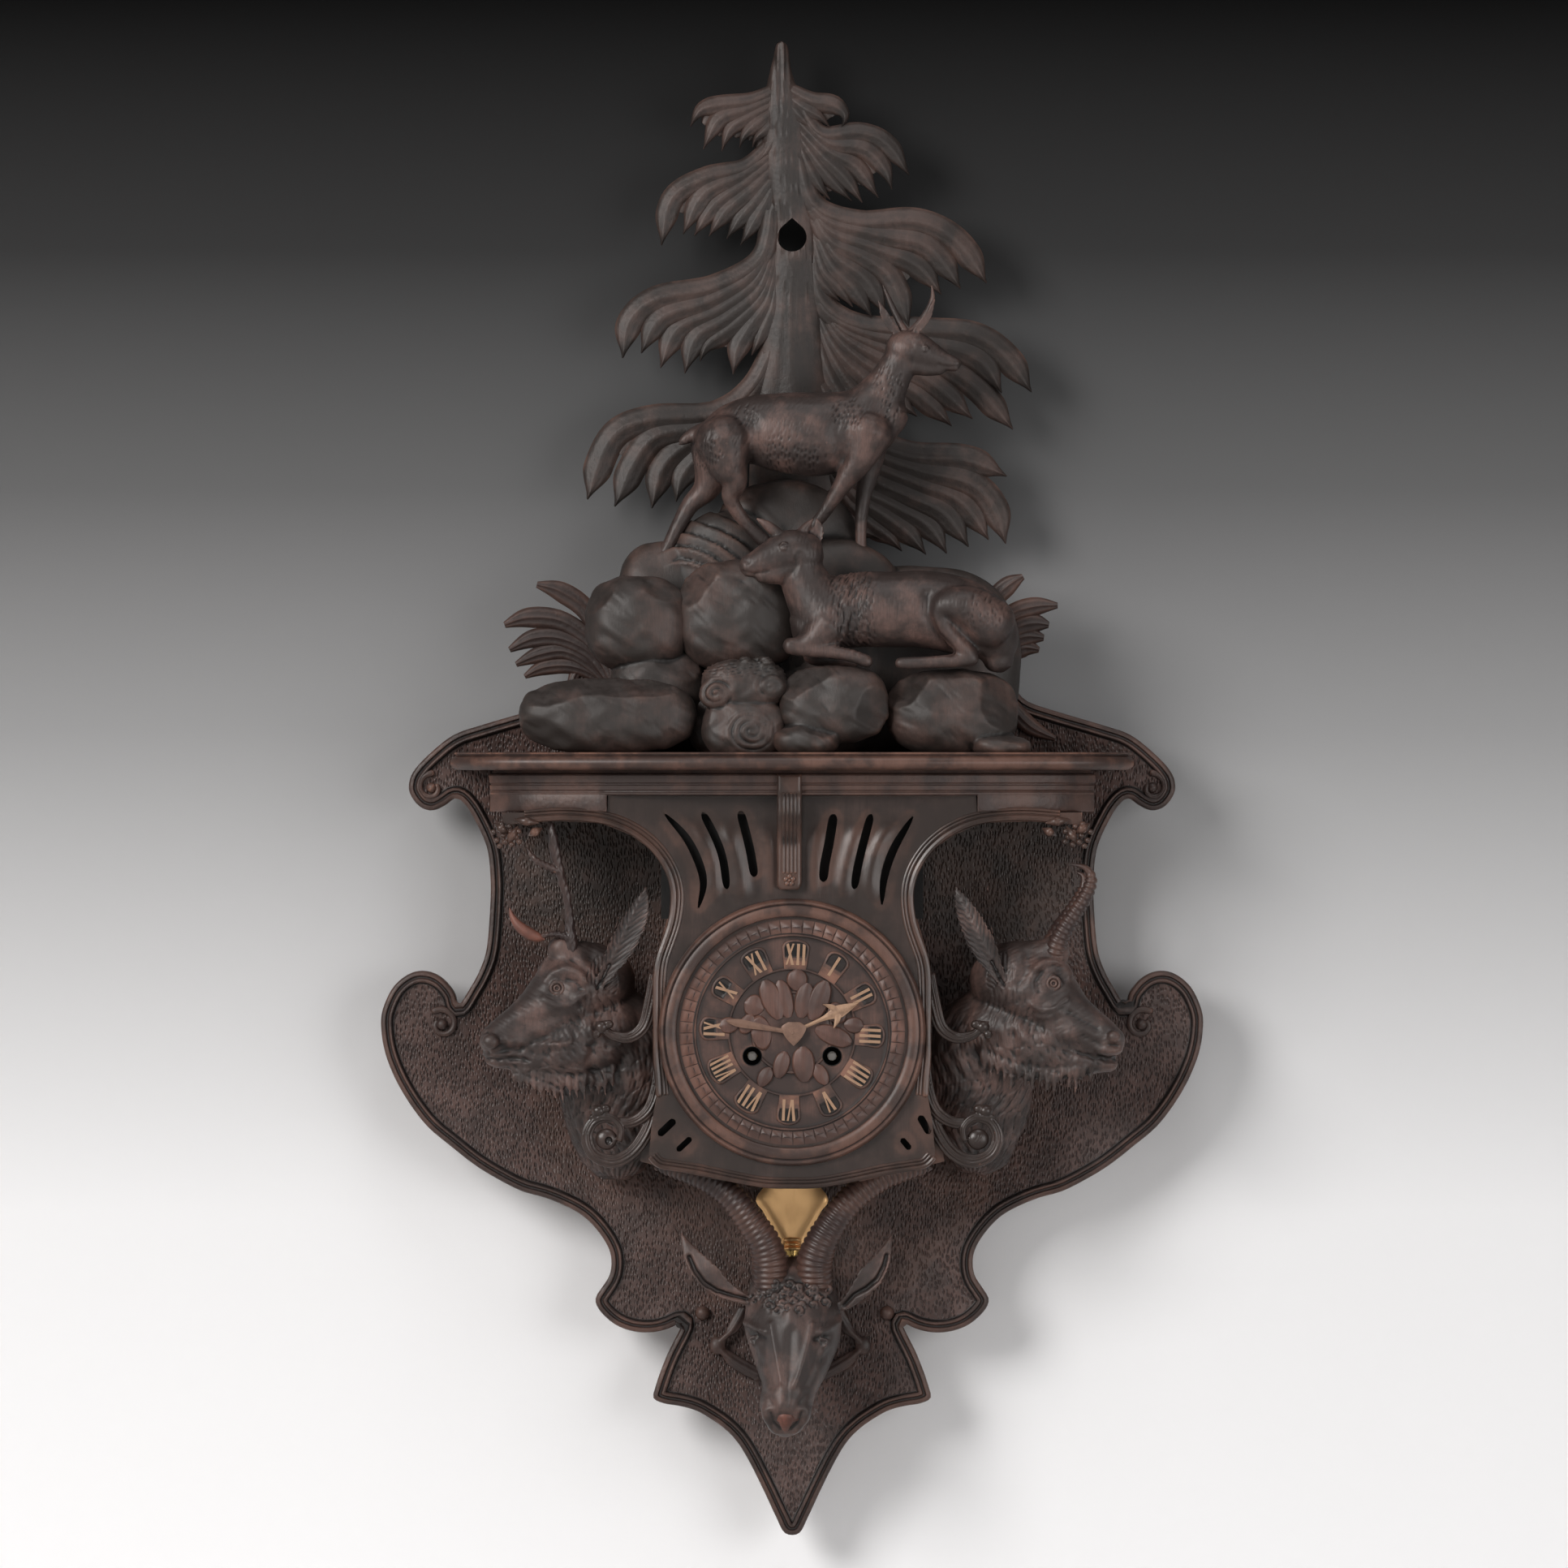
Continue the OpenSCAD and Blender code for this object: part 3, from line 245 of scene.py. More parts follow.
class Carver:
    """Gathers the solids of one carved piece, in millimetres of the front elevation."""

    def __init__(self) -> None:
        """Starts with an empty block."""
        self.bm = bmesh.new()

    def wrap(self, around: int, along: int, place: Callable[[float, float], Vector]) -> None:
        """Wraps a grid into a tube whose ends are drawn to a point.

        Args:
            around: The faces around the tube.
            along: The faces along it.
            place: Gives the place for u around and v along, each from 0 to 1.
        """
        got = bmesh.ops.create_grid(self.bm, x_segments=around, y_segments=along, size=0.5)
        verts = list(got["verts"])
        for v in verts:
            v.co = place(v.co.x + 0.5, v.co.y + 0.5)
        bmesh.ops.remove_doubles(self.bm, verts=verts, dist=WELD)
        faces = {f for v in verts if v.is_valid for f in v.link_faces}
        bmesh.ops.recalc_face_normals(self.bm, faces=list(faces))

    def limb(self, stations: Sequence[Sequence[float]], around: int = 16, per_span: int = 5,
             flat: float = 1.0) -> None:
        """Runs a rounded limb through stations.

        Args:
            stations: Rows of x, y, depth, radius and, where given, the thickness of the limb
                over its breadth.
            around: The faces around the limb.
            per_span: The rings on each span.
            flat: The thickness over the breadth where the stations give none.
        """
        rows = [list(s) + [flat] * (5 - len(s)) for s in stations]
        path = spline(rows, per_span)
        path[:, 3] = np.maximum(path[:, 3], 0.05)
        count = len(path)
        tangents = np.gradient(path[:, :3], axis=0)
        tangents /= np.linalg.norm(tangents, axis=1)[:, None] + TINY
        caps = 3
        rings = count + 2 * caps

        def place(u: float, v: float) -> Vector:
            """Returns the point at the turn u of the ring v.

            Args:
                u: The share of the turn around the limb, from 0 to 1.
                v: The share of the way along it, from 0 to 1.

            Returns:
                The point.
            """
            ring = int(round(v * rings)) - caps
            index = min(max(ring, 0), count - 1)
            end = 0.0
            if ring < 0:
                end = -ring / caps
            elif ring > count - 1:
                end = (ring - count + 1) / caps
            x, y, d, r, thick = path[index]
            t = Vector(tangents[index])
            side = t.cross(Vector((0.0, 0.0, 1.0)))
            if side.length < 1e-3:
                side = t.cross(Vector((0.3, 1.0, 0.1)))
            side.normalize()
            over = side.cross(t).normalized()
            shrink = math.sqrt(max(0.0, 1.0 - end * end))
            out = (r * end) * (-1.0 if ring < 0 else 1.0) * min(1.0, thick + 0.2)
            turn = u * math.tau
            return (Vector((x, y, d)) + t * out + side * (math.cos(turn) * r * shrink)
                    + over * (math.sin(turn) * r * thick * shrink))

        self.wrap(around, rings, place)

    def ball(self, centre: Point, radii: Point, around: int = 20) -> None:
        """Sets an egg of the given radii at centre.

        Args:
            centre: The middle of the egg.
            radii: Its half sizes.
            around: The number of points around it.
        """
        matrix = Matrix.Translation(centre) @ Matrix.Diagonal((*radii, 1.0))
        bmesh.ops.create_uvsphere(self.bm, u_segments=around, v_segments=max(8, around // 2),
                                  radius=1.0, matrix=matrix)

    def board(self, outline: Sequence[Flat], low: float, high: float,
              steps: Sequence[tuple[float, float]] = (),
              holes: Sequence[tuple[float, float, float]] = ()) -> None:
        """Cuts a board to an outline and moulds its front edge.

        Args:
            outline: The outline in the elevation.
            low: The depth of the back.
            high: The depth of the front before the steps.
            steps: Pairs of how far in and how far forward each step of the moulding goes.
            holes: The middle and radius of each round hole through the board.
        """
        flat = np.array(outline, dtype=float)
        turn = np.sum(flat[:, 0] * np.roll(flat[:, 1], -1) - flat[:, 1] * np.roll(flat[:, 0], -1))
        if turn < 0:
            flat = flat[::-1]
        ring = [self.bm.verts.new((x, y, low)) for x, y in flat]
        count = len(ring)
        edges = [self.bm.edges.new((ring[i], ring[(i + 1) % count])) for i in range(count)]
        back = list(edges)
        made = set(ring)
        depth, inset = high, 0.0
        edge = evenly(flat, 0.8, closed=True)[:, :2]
        for inward, forward in ((0.0, 0.0), *steps):
            if inward:
                inset += inward
                along = np.roll(flat, -1, axis=0) - np.roll(flat, 1, axis=0)
                along /= np.linalg.norm(along, axis=1)[:, None] + TINY
                flat = flat + inward * np.stack([-along[:, 1], along[:, 0]], axis=1)
                for _ in range(5):
                    even = (np.roll(flat, -1, axis=0) + np.roll(flat, 1, axis=0)) / 2
                    flat = flat * 0.7 + even * 0.3
                    gap = flat[:, None, :] - edge[None, :, :]
                    far = np.linalg.norm(gap, axis=2)
                    near = far.argmin(axis=1)
                    rows = np.arange(len(flat))
                    away = gap[rows, near] / (far[rows, near][:, None] + TINY)
                    flat = flat + away * (inset - far[rows, near])[:, None]
            depth += forward
            ring, edges = grown(self.bm, ring, edges, [(x, y, depth) for x, y in flat])
            made |= set(ring)
        front = list(edges)
        for x, y, radius in holes:
            foot = bmesh.ops.create_circle(self.bm, segments=72, radius=radius,
                                           matrix=Matrix.Translation((x, y, low)))["verts"]
            rim = list({e for v in foot for e in v.link_edges})
            got = bmesh.ops.extrude_edge_only(self.bm, edges=rim)
            top = [g for g in got["geom"] if isinstance(g, bmesh.types.BMVert)]
            for v in top:
                v.co.z = depth
            front += [g for g in got["geom"] if isinstance(g, bmesh.types.BMEdge)
                      and g.verts[0] in top and g.verts[1] in top]
            back += rim
            made |= set(foot) | set(top)
        for group in (front, back):
            bmesh.ops.triangle_fill(self.bm, edges=group, use_beauty=True)
        faces = list({f for v in made if v.is_valid for f in v.link_faces})
        bmesh.ops.recalc_face_normals(self.bm, faces=faces)

    def slab(self, outline: Sequence[Flat], low: float, high: float, step: float,
             holes: Sequence[tuple[float, float, float]] = ()) -> None:
        """Lays a board with an even net of faces into an empty block, cut to an outline.

        Args:
            outline: The outline in the elevation.
            low: The depth of the back.
            high: The depth of the front.
            step: The size of the net's faces.
            holes: The middle and radius of each round hole through the board.
        """
        flat = np.array(outline, dtype=float)
        foot, head = flat.min(axis=0) - step * 1.3, flat.max(axis=0) + step * 1.7
        size = head - foot
        got = bmesh.ops.create_grid(self.bm, x_segments=int(size[0] / step),
                                    y_segments=int(size[1] / step), size=0.5)
        for v in got["verts"]:
            v.co = (foot[0] + (v.co.x + 0.5) * size[0], foot[1] + (v.co.y + 0.5) * size[1], low)
        out = bmesh.ops.extrude_face_region(self.bm, geom=list(self.bm.faces))
        for v in (g for g in out["geom"] if isinstance(g, bmesh.types.BMVert)):
            v.co.z = high
        bmesh.ops.recalc_face_normals(self.bm, faces=list(self.bm.faces))
        tool = Carver()
        tool.board(outline, low - 1.0, high + 1.0, holes=holes)
        self.cut(tool, keep=True)

    def turned(self, profile: Sequence[Flat], centre: Point, steps: int = 64,
               axis: Point = (0.0, 0.0, 1.0)) -> None:
        """Turns a closed profile on the lathe.

        Args:
            profile: Pairs of the radius and the height along the axis.
            centre: The foot of the axis.
            steps: The faces around.
            axis: The direction of the axis.
        """
        start = [self.bm.verts.new((r, 0.0, h)) for r, h in profile]
        edges = [self.bm.edges.new((start[i], start[(i + 1) % len(start)]))
                 for i in range(len(start))]
        got = bmesh.ops.spin(self.bm, geom=start + edges, cent=(0, 0, 0), axis=(0, 0, 1),
                             angle=math.tau, steps=steps, use_merge=True)
        verts = {v for v in start if v.is_valid}
        verts |= {g for g in got["geom_last"] if isinstance(g, bmesh.types.BMVert)}
        seen: set[bmesh.types.BMVert] = set()
        todo = [v for v in verts if v.is_valid]
        while todo:
            v = todo.pop()
            if v in seen:
                continue
            seen.add(v)
            todo.extend(e.other_vert(v) for e in v.link_edges)
        bmesh.ops.remove_doubles(self.bm, verts=list(seen), dist=WELD)
        live = [v for v in seen if v.is_valid]
        faces = list({f for v in live for f in v.link_faces})
        bmesh.ops.recalc_face_normals(self.bm, faces=faces)
        turn = Vector((0, 0, 1)).rotation_difference(Vector(axis)).to_matrix().to_4x4()
        bmesh.ops.transform(self.bm, matrix=Matrix.Translation(centre) @ turn, verts=live)

    def blade(self, spine: Sequence[Sequence[float]], thick: float, across: int,
              per_span: int, ridge: float, ribs: int = 0) -> None:
        """Carves a leaf blade with a hollow or ribbed face.

        Args:
            spine: Rows of x, y, depth and half breadth, from the foot to the tip.
            thick: The thickness in the middle.
            across: The faces across the blade.
            per_span: The rings on each span.
            ridge: How far the sides fall back from the middle, over the half breadth.
            ribs: The hollow flutes along the blade.
        """
        path = spline(spine, per_span)
        count = len(path)
        tangents = np.gradient(path[:, :3], axis=0)
        tangents /= np.linalg.norm(tangents, axis=1)[:, None] + TINY

        def place(u: float, v: float) -> Vector:
            """Returns the point across u and along v, front first and back after.

            Args:
                u: The share of the way around the section, from 0 to 1.
                v: The share of the way along the blade, from 0 to 1.

            Returns:
                The point.
            """
            index = min(count - 1, int(round(v * (count - 1))))
            x, y, d, w = path[index]
            w = max(w, 0.02)
            t = Vector(tangents[index])
            side = t.cross(Vector((0, 0, 1))).normalized()
            over = side.cross(t).normalized()
            around = u * 2.0
            front = around <= 1.0
            s = (around * 2.0 - 1.0) if front else (1.0 - (around - 1.0) * 2.0)
            edge = 1.0 - s * s
            lift = -ridge * w * s * s
            if front:
                lift += thick * 0.5 * math.sqrt(max(0.0, edge))
                if ribs:
                    lift -= (0.10 * w + 0.25) * (0.5 - 0.5 * math.cos(s * math.pi * ribs)) * edge
            else:
                lift -= thick * 0.5 * math.sqrt(max(0.0, edge))
            return Vector((x, y, d)) + side * (s * w) + over * lift

        self.wrap(across * 2, count - 1, place)

    def moved(self, matrix: Matrix) -> None:
        """Moves the gathered solids by a matrix in millimetres."""
        bmesh.ops.transform(self.bm, matrix=matrix, verts=list(self.bm.verts))

    def take(self, other: "Carver", matrix: Optional[Matrix] = None) -> None:
        """Adds another block's solids and ends that block.

        Args:
            other: The block to take.
            matrix: Where to put its solids.
        """
        if matrix is not None:
            other.moved(matrix)
        mesh = bpy.data.meshes.new("taken")
        other.bm.to_mesh(mesh)
        other.bm.free()
        self.bm.from_mesh(mesh)
        bpy.data.meshes.remove(mesh)

    def passed(self, dress: Callable[[bpy.types.Object], None]) -> None:
        """Passes the block through modifiers and takes the result.

        Args:
            dress: Adds the modifiers to the object that holds the block.
        """
        mesh = bpy.data.meshes.new("block")
        self.bm.to_mesh(mesh)
        block = bpy.data.objects.new("block", mesh)
        bpy.context.scene.collection.objects.link(block)
        dress(block)
        graph = bpy.context.evaluated_depsgraph_get()
        made = bpy.data.meshes.new_from_object(block.evaluated_get(graph))
        self.bm.free()
        self.bm = bmesh.new()
        self.bm.from_mesh(made)
        bpy.data.objects.remove(block)
        bpy.data.meshes.remove(mesh)
        bpy.data.meshes.remove(made)

    def fused(self, grain: float, smooth: int, factor: float = 0.5) -> None:
        """Fuses everything gathered so far into one skin.

        Args:
            grain: The size of the skin's faces.
            smooth: The rounds of smoothing after it.
            factor: The strength of a round.
        """

        def dress(block: bpy.types.Object) -> None:
            """Adds the fusing and smoothing modifiers.

            Args:
                block: The object that gets the modifiers.
            """
            skin = block.modifiers.new("skin", "REMESH")
            skin.mode = "VOXEL"
            skin.voxel_size = grain
            skin.adaptivity = 0.0
            soft = block.modifiers.new("soft", "SMOOTH")
            soft.iterations = smooth
            soft.factor = factor

        self.passed(dress)

    def cut(self, tool: "Carver", keep: bool = False) -> None:
        """Cuts another block's solids out, or keeps only what lies in them, and ends it.

        Args:
            tool: The other block.
            keep: Whether only what lies in the other block stays.
        """
        mesh = bpy.data.meshes.new("tool")
        tool.bm.to_mesh(mesh)
        tool.bm.free()
        cutter = bpy.data.objects.new("tool", mesh)
        bpy.context.scene.collection.objects.link(cutter)

        def dress(block: bpy.types.Object) -> None:
            """Adds the cut.

            Args:
                block: The object that is cut.
            """
            hole = block.modifiers.new("hole", "BOOLEAN")
            hole.operation = "INTERSECT" if keep else "DIFFERENCE"
            hole.solver = "EXACT"
            hole.object = cutter

        self.passed(dress)
        bpy.data.objects.remove(cutter)
        bpy.data.meshes.remove(mesh)

    def pressed(self, press: Callable[[np.ndarray, np.ndarray], np.ndarray]) -> None:
        """Moves every vertex along its normal.

        Args:
            press: Gives the distance in millimetres from the places and the normals.
        """
        self.bm.normal_update()
        verts = list(self.bm.verts)
        places = np.array([v.co[:] for v in verts])
        normals = np.array([v.normal[:] for v in verts])
        moved = places + normals * press(places, normals)[:, None]
        for v, co in zip(verts, moved):
            v.co = co

    def done(self, name: str, material: bpy.types.Material, body: str = "clock",
             instead: Sequence[str] = (), slot: Optional[str] = None, crease: float = 35.0,
             also: Sequence[tuple[bpy.types.Material, Callable[[Vector, Vector], bool]]] = (),
             ) -> None:
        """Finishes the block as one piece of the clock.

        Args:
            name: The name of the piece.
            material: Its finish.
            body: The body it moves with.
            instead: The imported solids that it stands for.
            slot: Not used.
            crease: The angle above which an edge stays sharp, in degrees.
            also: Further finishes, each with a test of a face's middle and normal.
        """
        self.bm.normal_update()
        for face in self.bm.faces:
            face.material_index = next(
                (k + 1 for k, (_, test) in enumerate(also)
                 if test(face.calc_center_median(), face.normal)), 0)
        bmesh.ops.transform(self.bm, matrix=ELEVATION, verts=list(self.bm.verts))
        self.bm.normal_update()
        limit = math.radians(crease)
        for edge in self.bm.edges:
            edge.smooth = not (edge.is_manifold and edge.calc_face_angle(0.0) > limit)
        for face in self.bm.faces:
            face.smooth = True
        mesh = bpy.data.meshes.new(name)
        self.bm.to_mesh(mesh)
        note_relief(mesh)
        tris = sum(len(f.verts) - 2 for f in self.bm.faces)
        self.bm.free()
        for each in (material, *(m for m, _ in also)):
            mesh.materials.append(each)
        piece = bpy.data.objects.new(name, mesh)
        bpy.context.scene.collection.objects.link(piece)
        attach(piece, body)
        if instead:
            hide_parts(*instead)
        LOG.info("%s: %d triangles", name, tris)


class Nodes:
    """Builds one node tree, one node after the other."""

    def __init__(self, tree: bpy.types.NodeTree) -> None:
        """Takes the tree and empties it."""
        self.tree = tree
        tree.nodes.clear()

    def add(self, kind: str, **settings: object) -> bpy.types.Node:
        """Adds a node of the given kind and sets its properties.

        Args:
            kind: The kind of node, without its prefix.
            settings: Its properties.

        Returns:
            The node.
        """
        plain = ("GroupInput", "GroupOutput")
        node = self.tree.nodes.new(("Node" if kind in plain else "ShaderNode") + kind)
        for key, value in settings.items():
            setattr(node, key, value)
        return node

    def set(self, node: bpy.types.Node, **values: object) -> bpy.types.Node:
        """Sets or links the sockets of a node.

        Args:
            node: The node.
            values: Socket names with underscores for blanks, with a value or an output socket.

        Returns:
            The node.
        """
        for key, value in values.items():
            name = key.replace("_", " ")
            socket = node.inputs[int(name[1:])] if name[0] == "i" and name[1:].isdigit() \
                else node.inputs[name]
            if isinstance(value, bpy.types.NodeSocket):
                self.tree.links.new(value, socket)
            else:
                socket.default_value = value
        return node

    def maths(self, operation: str, a: object, b: object = 0.0,
              clamp: bool = False) -> bpy.types.NodeSocket:
        """Returns the result of a sum on numbers or sockets.

        Args:
            operation: The name of the sum.
            a: The first number or socket.
            b: The second number or socket.
            clamp: Whether the result is held between 0 and 1.

        Returns:
            The socket of the result.
        """
        node = self.add("Math", operation=operation, use_clamp=clamp)
        self.set(node, i0=a, i1=b)
        return node.outputs[0]

    def spread(self, value: object, low: object, high: object, start: float = 0.0,
               end: float = 1.0) -> bpy.types.NodeSocket:
        """Returns value taken smoothly from the range low to high to the range start to end.

        Args:
            value: The number or socket.
            low: The lower end of its range.
            high: The upper end of its range.
            start: The result at the lower end.
            end: The result at the upper end.

        Returns:
            The socket of the result.
        """
        node = self.add("MapRange", interpolation_type="SMOOTHSTEP")
        self.set(node, i0=value, i1=low, i2=high, i3=start, i4=end)
        return node.outputs[0]

    def mix(self, factor: object, a: object, b: object) -> bpy.types.NodeSocket:
        """Returns a mix of two colours.

        Args:
            factor: The share of the second colour.
            a: The first colour.
            b: The second colour.

        Returns:
            The socket of the mix.
        """
        node = self.add("Mix", data_type="RGBA", blend_type="MIX")
        self.set(node, i0=factor, i6=a, i7=b)
        return node.outputs[2]

    def noise(self, place: object, scale: object, detail: float = 3.0, rough: float = 0.55,
              twist: float = 0.0) -> bpy.types.NodeSocket:
        """Returns a cloud of noise over place.

        Args:
            place: The socket of the place.
            scale: The fineness of the clouds.
            detail: The number of finer layers.
            rough: The strength of each finer layer.
            twist: How much the clouds swirl.

        Returns:
            The socket of the noise.
        """
        node = self.add("TexNoise")
        self.set(node, Vector=place, Scale=scale, Detail=detail, Roughness=rough, Distortion=twist)
        return node.outputs["Fac"]

    def stretched(self, place: object, scale: Point) -> bpy.types.NodeSocket:
        """Returns place stretched.

        Args:
            place: The socket of the place.
            scale: The factor along each axis.

        Returns:
            The socket of the new place.
        """
        node = self.add("Mapping")
        self.set(node, Vector=place, Scale=scale)
        return node.outputs[0]

    def group(self, tree: bpy.types.NodeTree, **values: object) -> dict[str, bpy.types.NodeSocket]:
        """Adds a node group and returns its outputs by their names."""
        node = self.set(self.add("Group", node_tree=tree), **values)
        return {socket.name: socket for socket in node.outputs}

    def wood(self, colour: object, rough: object, relief: float, height: object) -> None:
        """Ends the tree in waxed wood with the given relief in metres.

        Args:
            colour: The socket of the colour.
            rough: The socket of the roughness.
            relief: The height of the relief, in metres.
            height: The socket of the relief.
        """
        bump = self.set(self.add("Bump"), Strength=1.0, Distance=relief, Height=height)
        shader = self.set(self.add("BsdfPrincipled"), Base_Color=colour, Roughness=rough,
                          Normal=bump.outputs[0], IOR=WAXED_IOR)
        self.end(shader)

    def end(self, shader: bpy.types.Node, world: bool = False) -> None:
        """Ends the tree in a shader, for a surface or for the world."""
        out = self.add("OutputWorld" if world else "OutputMaterial")
        self.set(out, Surface=shader.outputs[0])


def painted(name: str) -> tuple[bpy.types.Material, Nodes]:
    """Returns a new material and the builder of its nodes.

    Args:
        name: The name of the material.

    Returns:
        The material and its builder.
    """
    mat = bpy.data.materials.new(name)
    mat.use_nodes = True
    return mat, Nodes(mat.node_tree)


def group_tree(name: str, inputs: Sequence[tuple[str, str, object]],
               outputs: Sequence[tuple[str, str]]) -> tuple[bpy.types.NodeTree, Nodes]:
    """Starts a shader node group.

    Args:
        name: The name of the group.
        inputs: Names, kinds and default values of the inputs.
        outputs: Names and kinds of the outputs.

    Returns:
        The tree, and the builder of its nodes.
    """
    tree = bpy.data.node_groups.new(name, "ShaderNodeTree")
    for label, kind, value in inputs:
        socket = tree.interface.new_socket(name=label, in_out="INPUT",
                                           socket_type="NodeSocket" + kind)
        socket.default_value = value
    for label, kind in outputs:
        tree.interface.new_socket(name=label, in_out="OUTPUT", socket_type="NodeSocket" + kind)
    return tree, Nodes(tree)


class Effects:
    """The effects that several finishes share, each built once."""

    def __init__(self) -> None:
        """Builds the groups."""
        self.wear = self._wear_and_shade()
        self.grain = self._grain()
        self.dust = self._dust()

    @staticmethod
    def _wear_and_shade() -> bpy.types.NodeTree:
        """Builds the rubbed edges and the hollows, where the wood gets painted shade and the metal
        its tarnish.

        Returns:
            The group.
        """
        tree, n = group_tree(
            "rubbed edges",
            [("Sharpness", "Float", 0.53), ("Width", "Float", 0.05), ("Patches", "Float", 60.0)],
            [("Edges", "Float"), ("Hollows", "Float"), ("Patches", "Float")],
        )
        given, out = n.add("GroupInput"), n.add("GroupOutput")
        place = n.add("TexCoord").outputs["Object"]
        point = n.add("NewGeometry").outputs["Pointiness"]
        patches = n.noise(place, given.outputs["Patches"], 4.0, 0.6)
        fine = n.noise(place, 900.0, 3.0, 0.6)
        shifted = n.maths("ADD", point, n.maths("MULTIPLY", n.maths("SUBTRACT", fine, 0.5), 0.03))
        high = n.maths("ADD", given.outputs["Sharpness"], given.outputs["Width"])
        sharp = n.spread(shifted, given.outputs["Sharpness"], high)
        relief = n.add("Attribute", attribute_name="relief").outputs["Fac"]
        ridges = n.maths("MULTIPLY", n.spread(relief, -0.15, -0.7), 0.3)
        edges = n.maths("MAXIMUM", sharp, ridges)
        edges = n.maths("MULTIPLY", edges, n.spread(patches, 0.38, 0.62, 0.15, 1.0))
        # Hollows: where pointiness or the relief finds a hollow; the wood paints shade there, the
        # metal tarnish.
        hollows = n.maths("MAXIMUM", n.spread(point, 0.49, 0.40), n.spread(relief, 0.04, 0.42))
        n.set(out, Edges=edges, Hollows=hollows, Patches=patches)
        return tree

    @staticmethod
    def _grain() -> bpy.types.NodeTree:
        """Builds the grain of the wood and the small marks of the gouge.

        Returns:
            The group.
        """
        tree, n = group_tree(
            "wood grain",
            [("Fibres", "Float", 1.0), ("Marks", "Float", 1.0)],
            [("Tone", "Float"), ("Height", "Float")],
        )
        given, out = n.add("GroupInput"), n.add("GroupOutput")
        place = n.add("TexCoord").outputs["Object"]
        long = n.stretched(place, (1.0, 1.0, 0.07))
        fibre = n.noise(long, 1500.0, 4.0, 0.65, 0.2)
        band = n.noise(long, 190.0, 3.0, 0.6, 0.6)
        marks = n.noise(place, 340.0, 2.0, 0.45, 0.3)
        tone = n.maths("ADD", n.maths("MULTIPLY", fibre, 0.45), n.maths("MULTIPLY", band, 0.55))
        rough = n.maths("MULTIPLY", n.maths("SUBTRACT", fibre, 0.5), given.outputs["Fibres"])
        cut = n.maths("MULTIPLY", n.maths("SUBTRACT", marks, 0.5), given.outputs["Marks"])
        height = n.maths("ADD", n.maths("MULTIPLY", rough, 0.3), n.maths("MULTIPLY", cut, 0.7))
        n.set(out, Tone=tone, Height=height)
        return tree

    @staticmethod
    def _dust() -> bpy.types.NodeTree:
        """Builds the thin dust that lies on what faces up.

        Returns:
            The group.
        """
        tree, n = group_tree("dust", [("Amount", "Float", 0.3)], [("Mask", "Float")])
        given, out = n.add("GroupInput"), n.add("GroupOutput")
        place = n.add("TexCoord").outputs["Object"]
        split = n.add("SeparateXYZ")
        n.set(split, Vector=n.add("NewGeometry").outputs["Normal"])
        up = n.spread(split.outputs["Z"], 0.1, 0.95)
        cloud = n.spread(n.noise(place, 130.0, 5.0, 0.65), 0.35, 0.7)
        n.set(out, Mask=n.maths("MULTIPLY", n.maths("MULTIPLY", up, cloud),
                                given.outputs["Amount"]))
        return tree


@dataclass(frozen=True)
class CarvedWood:
    """Stained and waxed limewood, rubbed pale on its edges, with painted shade in its hollows."""

    stain: Point = (0.030, 0.019, 0.017)
    warm: Point = (0.072, 0.041, 0.034)
    worn: Point = (0.20, 0.098, 0.068)
    sharpness: float = 0.535
    width: float = 0.07
    wear: float = 0.75
    patches: float = 35.0
    marks: float = 1.0
    fibres: float = 1.0
    relief: float = 0.00035
    gloss: float = 0.42
    dust: float = 0.16

    def make(self, name: str, effects: Effects) -> bpy.types.Material:
        """Returns the material of the given name, made with the shared groups.

        Args:
            name: The name of the material.
            effects: The shared groups of nodes.

        Returns:
            The material.
        """
        mat, n = painted(name)
        wear = n.group(effects.wear, Sharpness=self.sharpness, Width=self.width,
                       Patches=self.patches)
        grain = n.group(effects.grain, Fibres=self.fibres, Marks=self.marks)
        dust = n.group(effects.dust, Amount=self.dust)["Mask"]
        tone = n.maths("MULTIPLY", n.spread(wear["Patches"], 0.42, 0.66),
                       n.spread(grain["Tone"], 0.35, 0.65, 0.35, 1.0))
        base = n.mix(tone, (*self.stain, 1), (*self.warm, 1))
        # Painted shade: the hollows darken towards a dimmer copy of the stain.
        hollow_shade = [part * left for part, left in zip(self.stain, HOLLOW_SHADE_LEFT)]
        base = n.mix(n.maths("MULTIPLY", wear["Hollows"], 0.9), base, (*hollow_shade, 1))
        base = n.mix(n.maths("MULTIPLY", wear["Edges"], self.wear), base, (*self.worn, 1))
        base = n.mix(dust, base, (*DUST, 1))
        rough = n.maths("ADD", self.gloss - 0.08, n.maths("MULTIPLY", grain["Tone"], 0.16))
        rough = n.maths("ADD", rough, n.maths("MULTIPLY", dust, 0.3))
        n.wood(base, rough, self.relief, grain["Height"])
        return mat


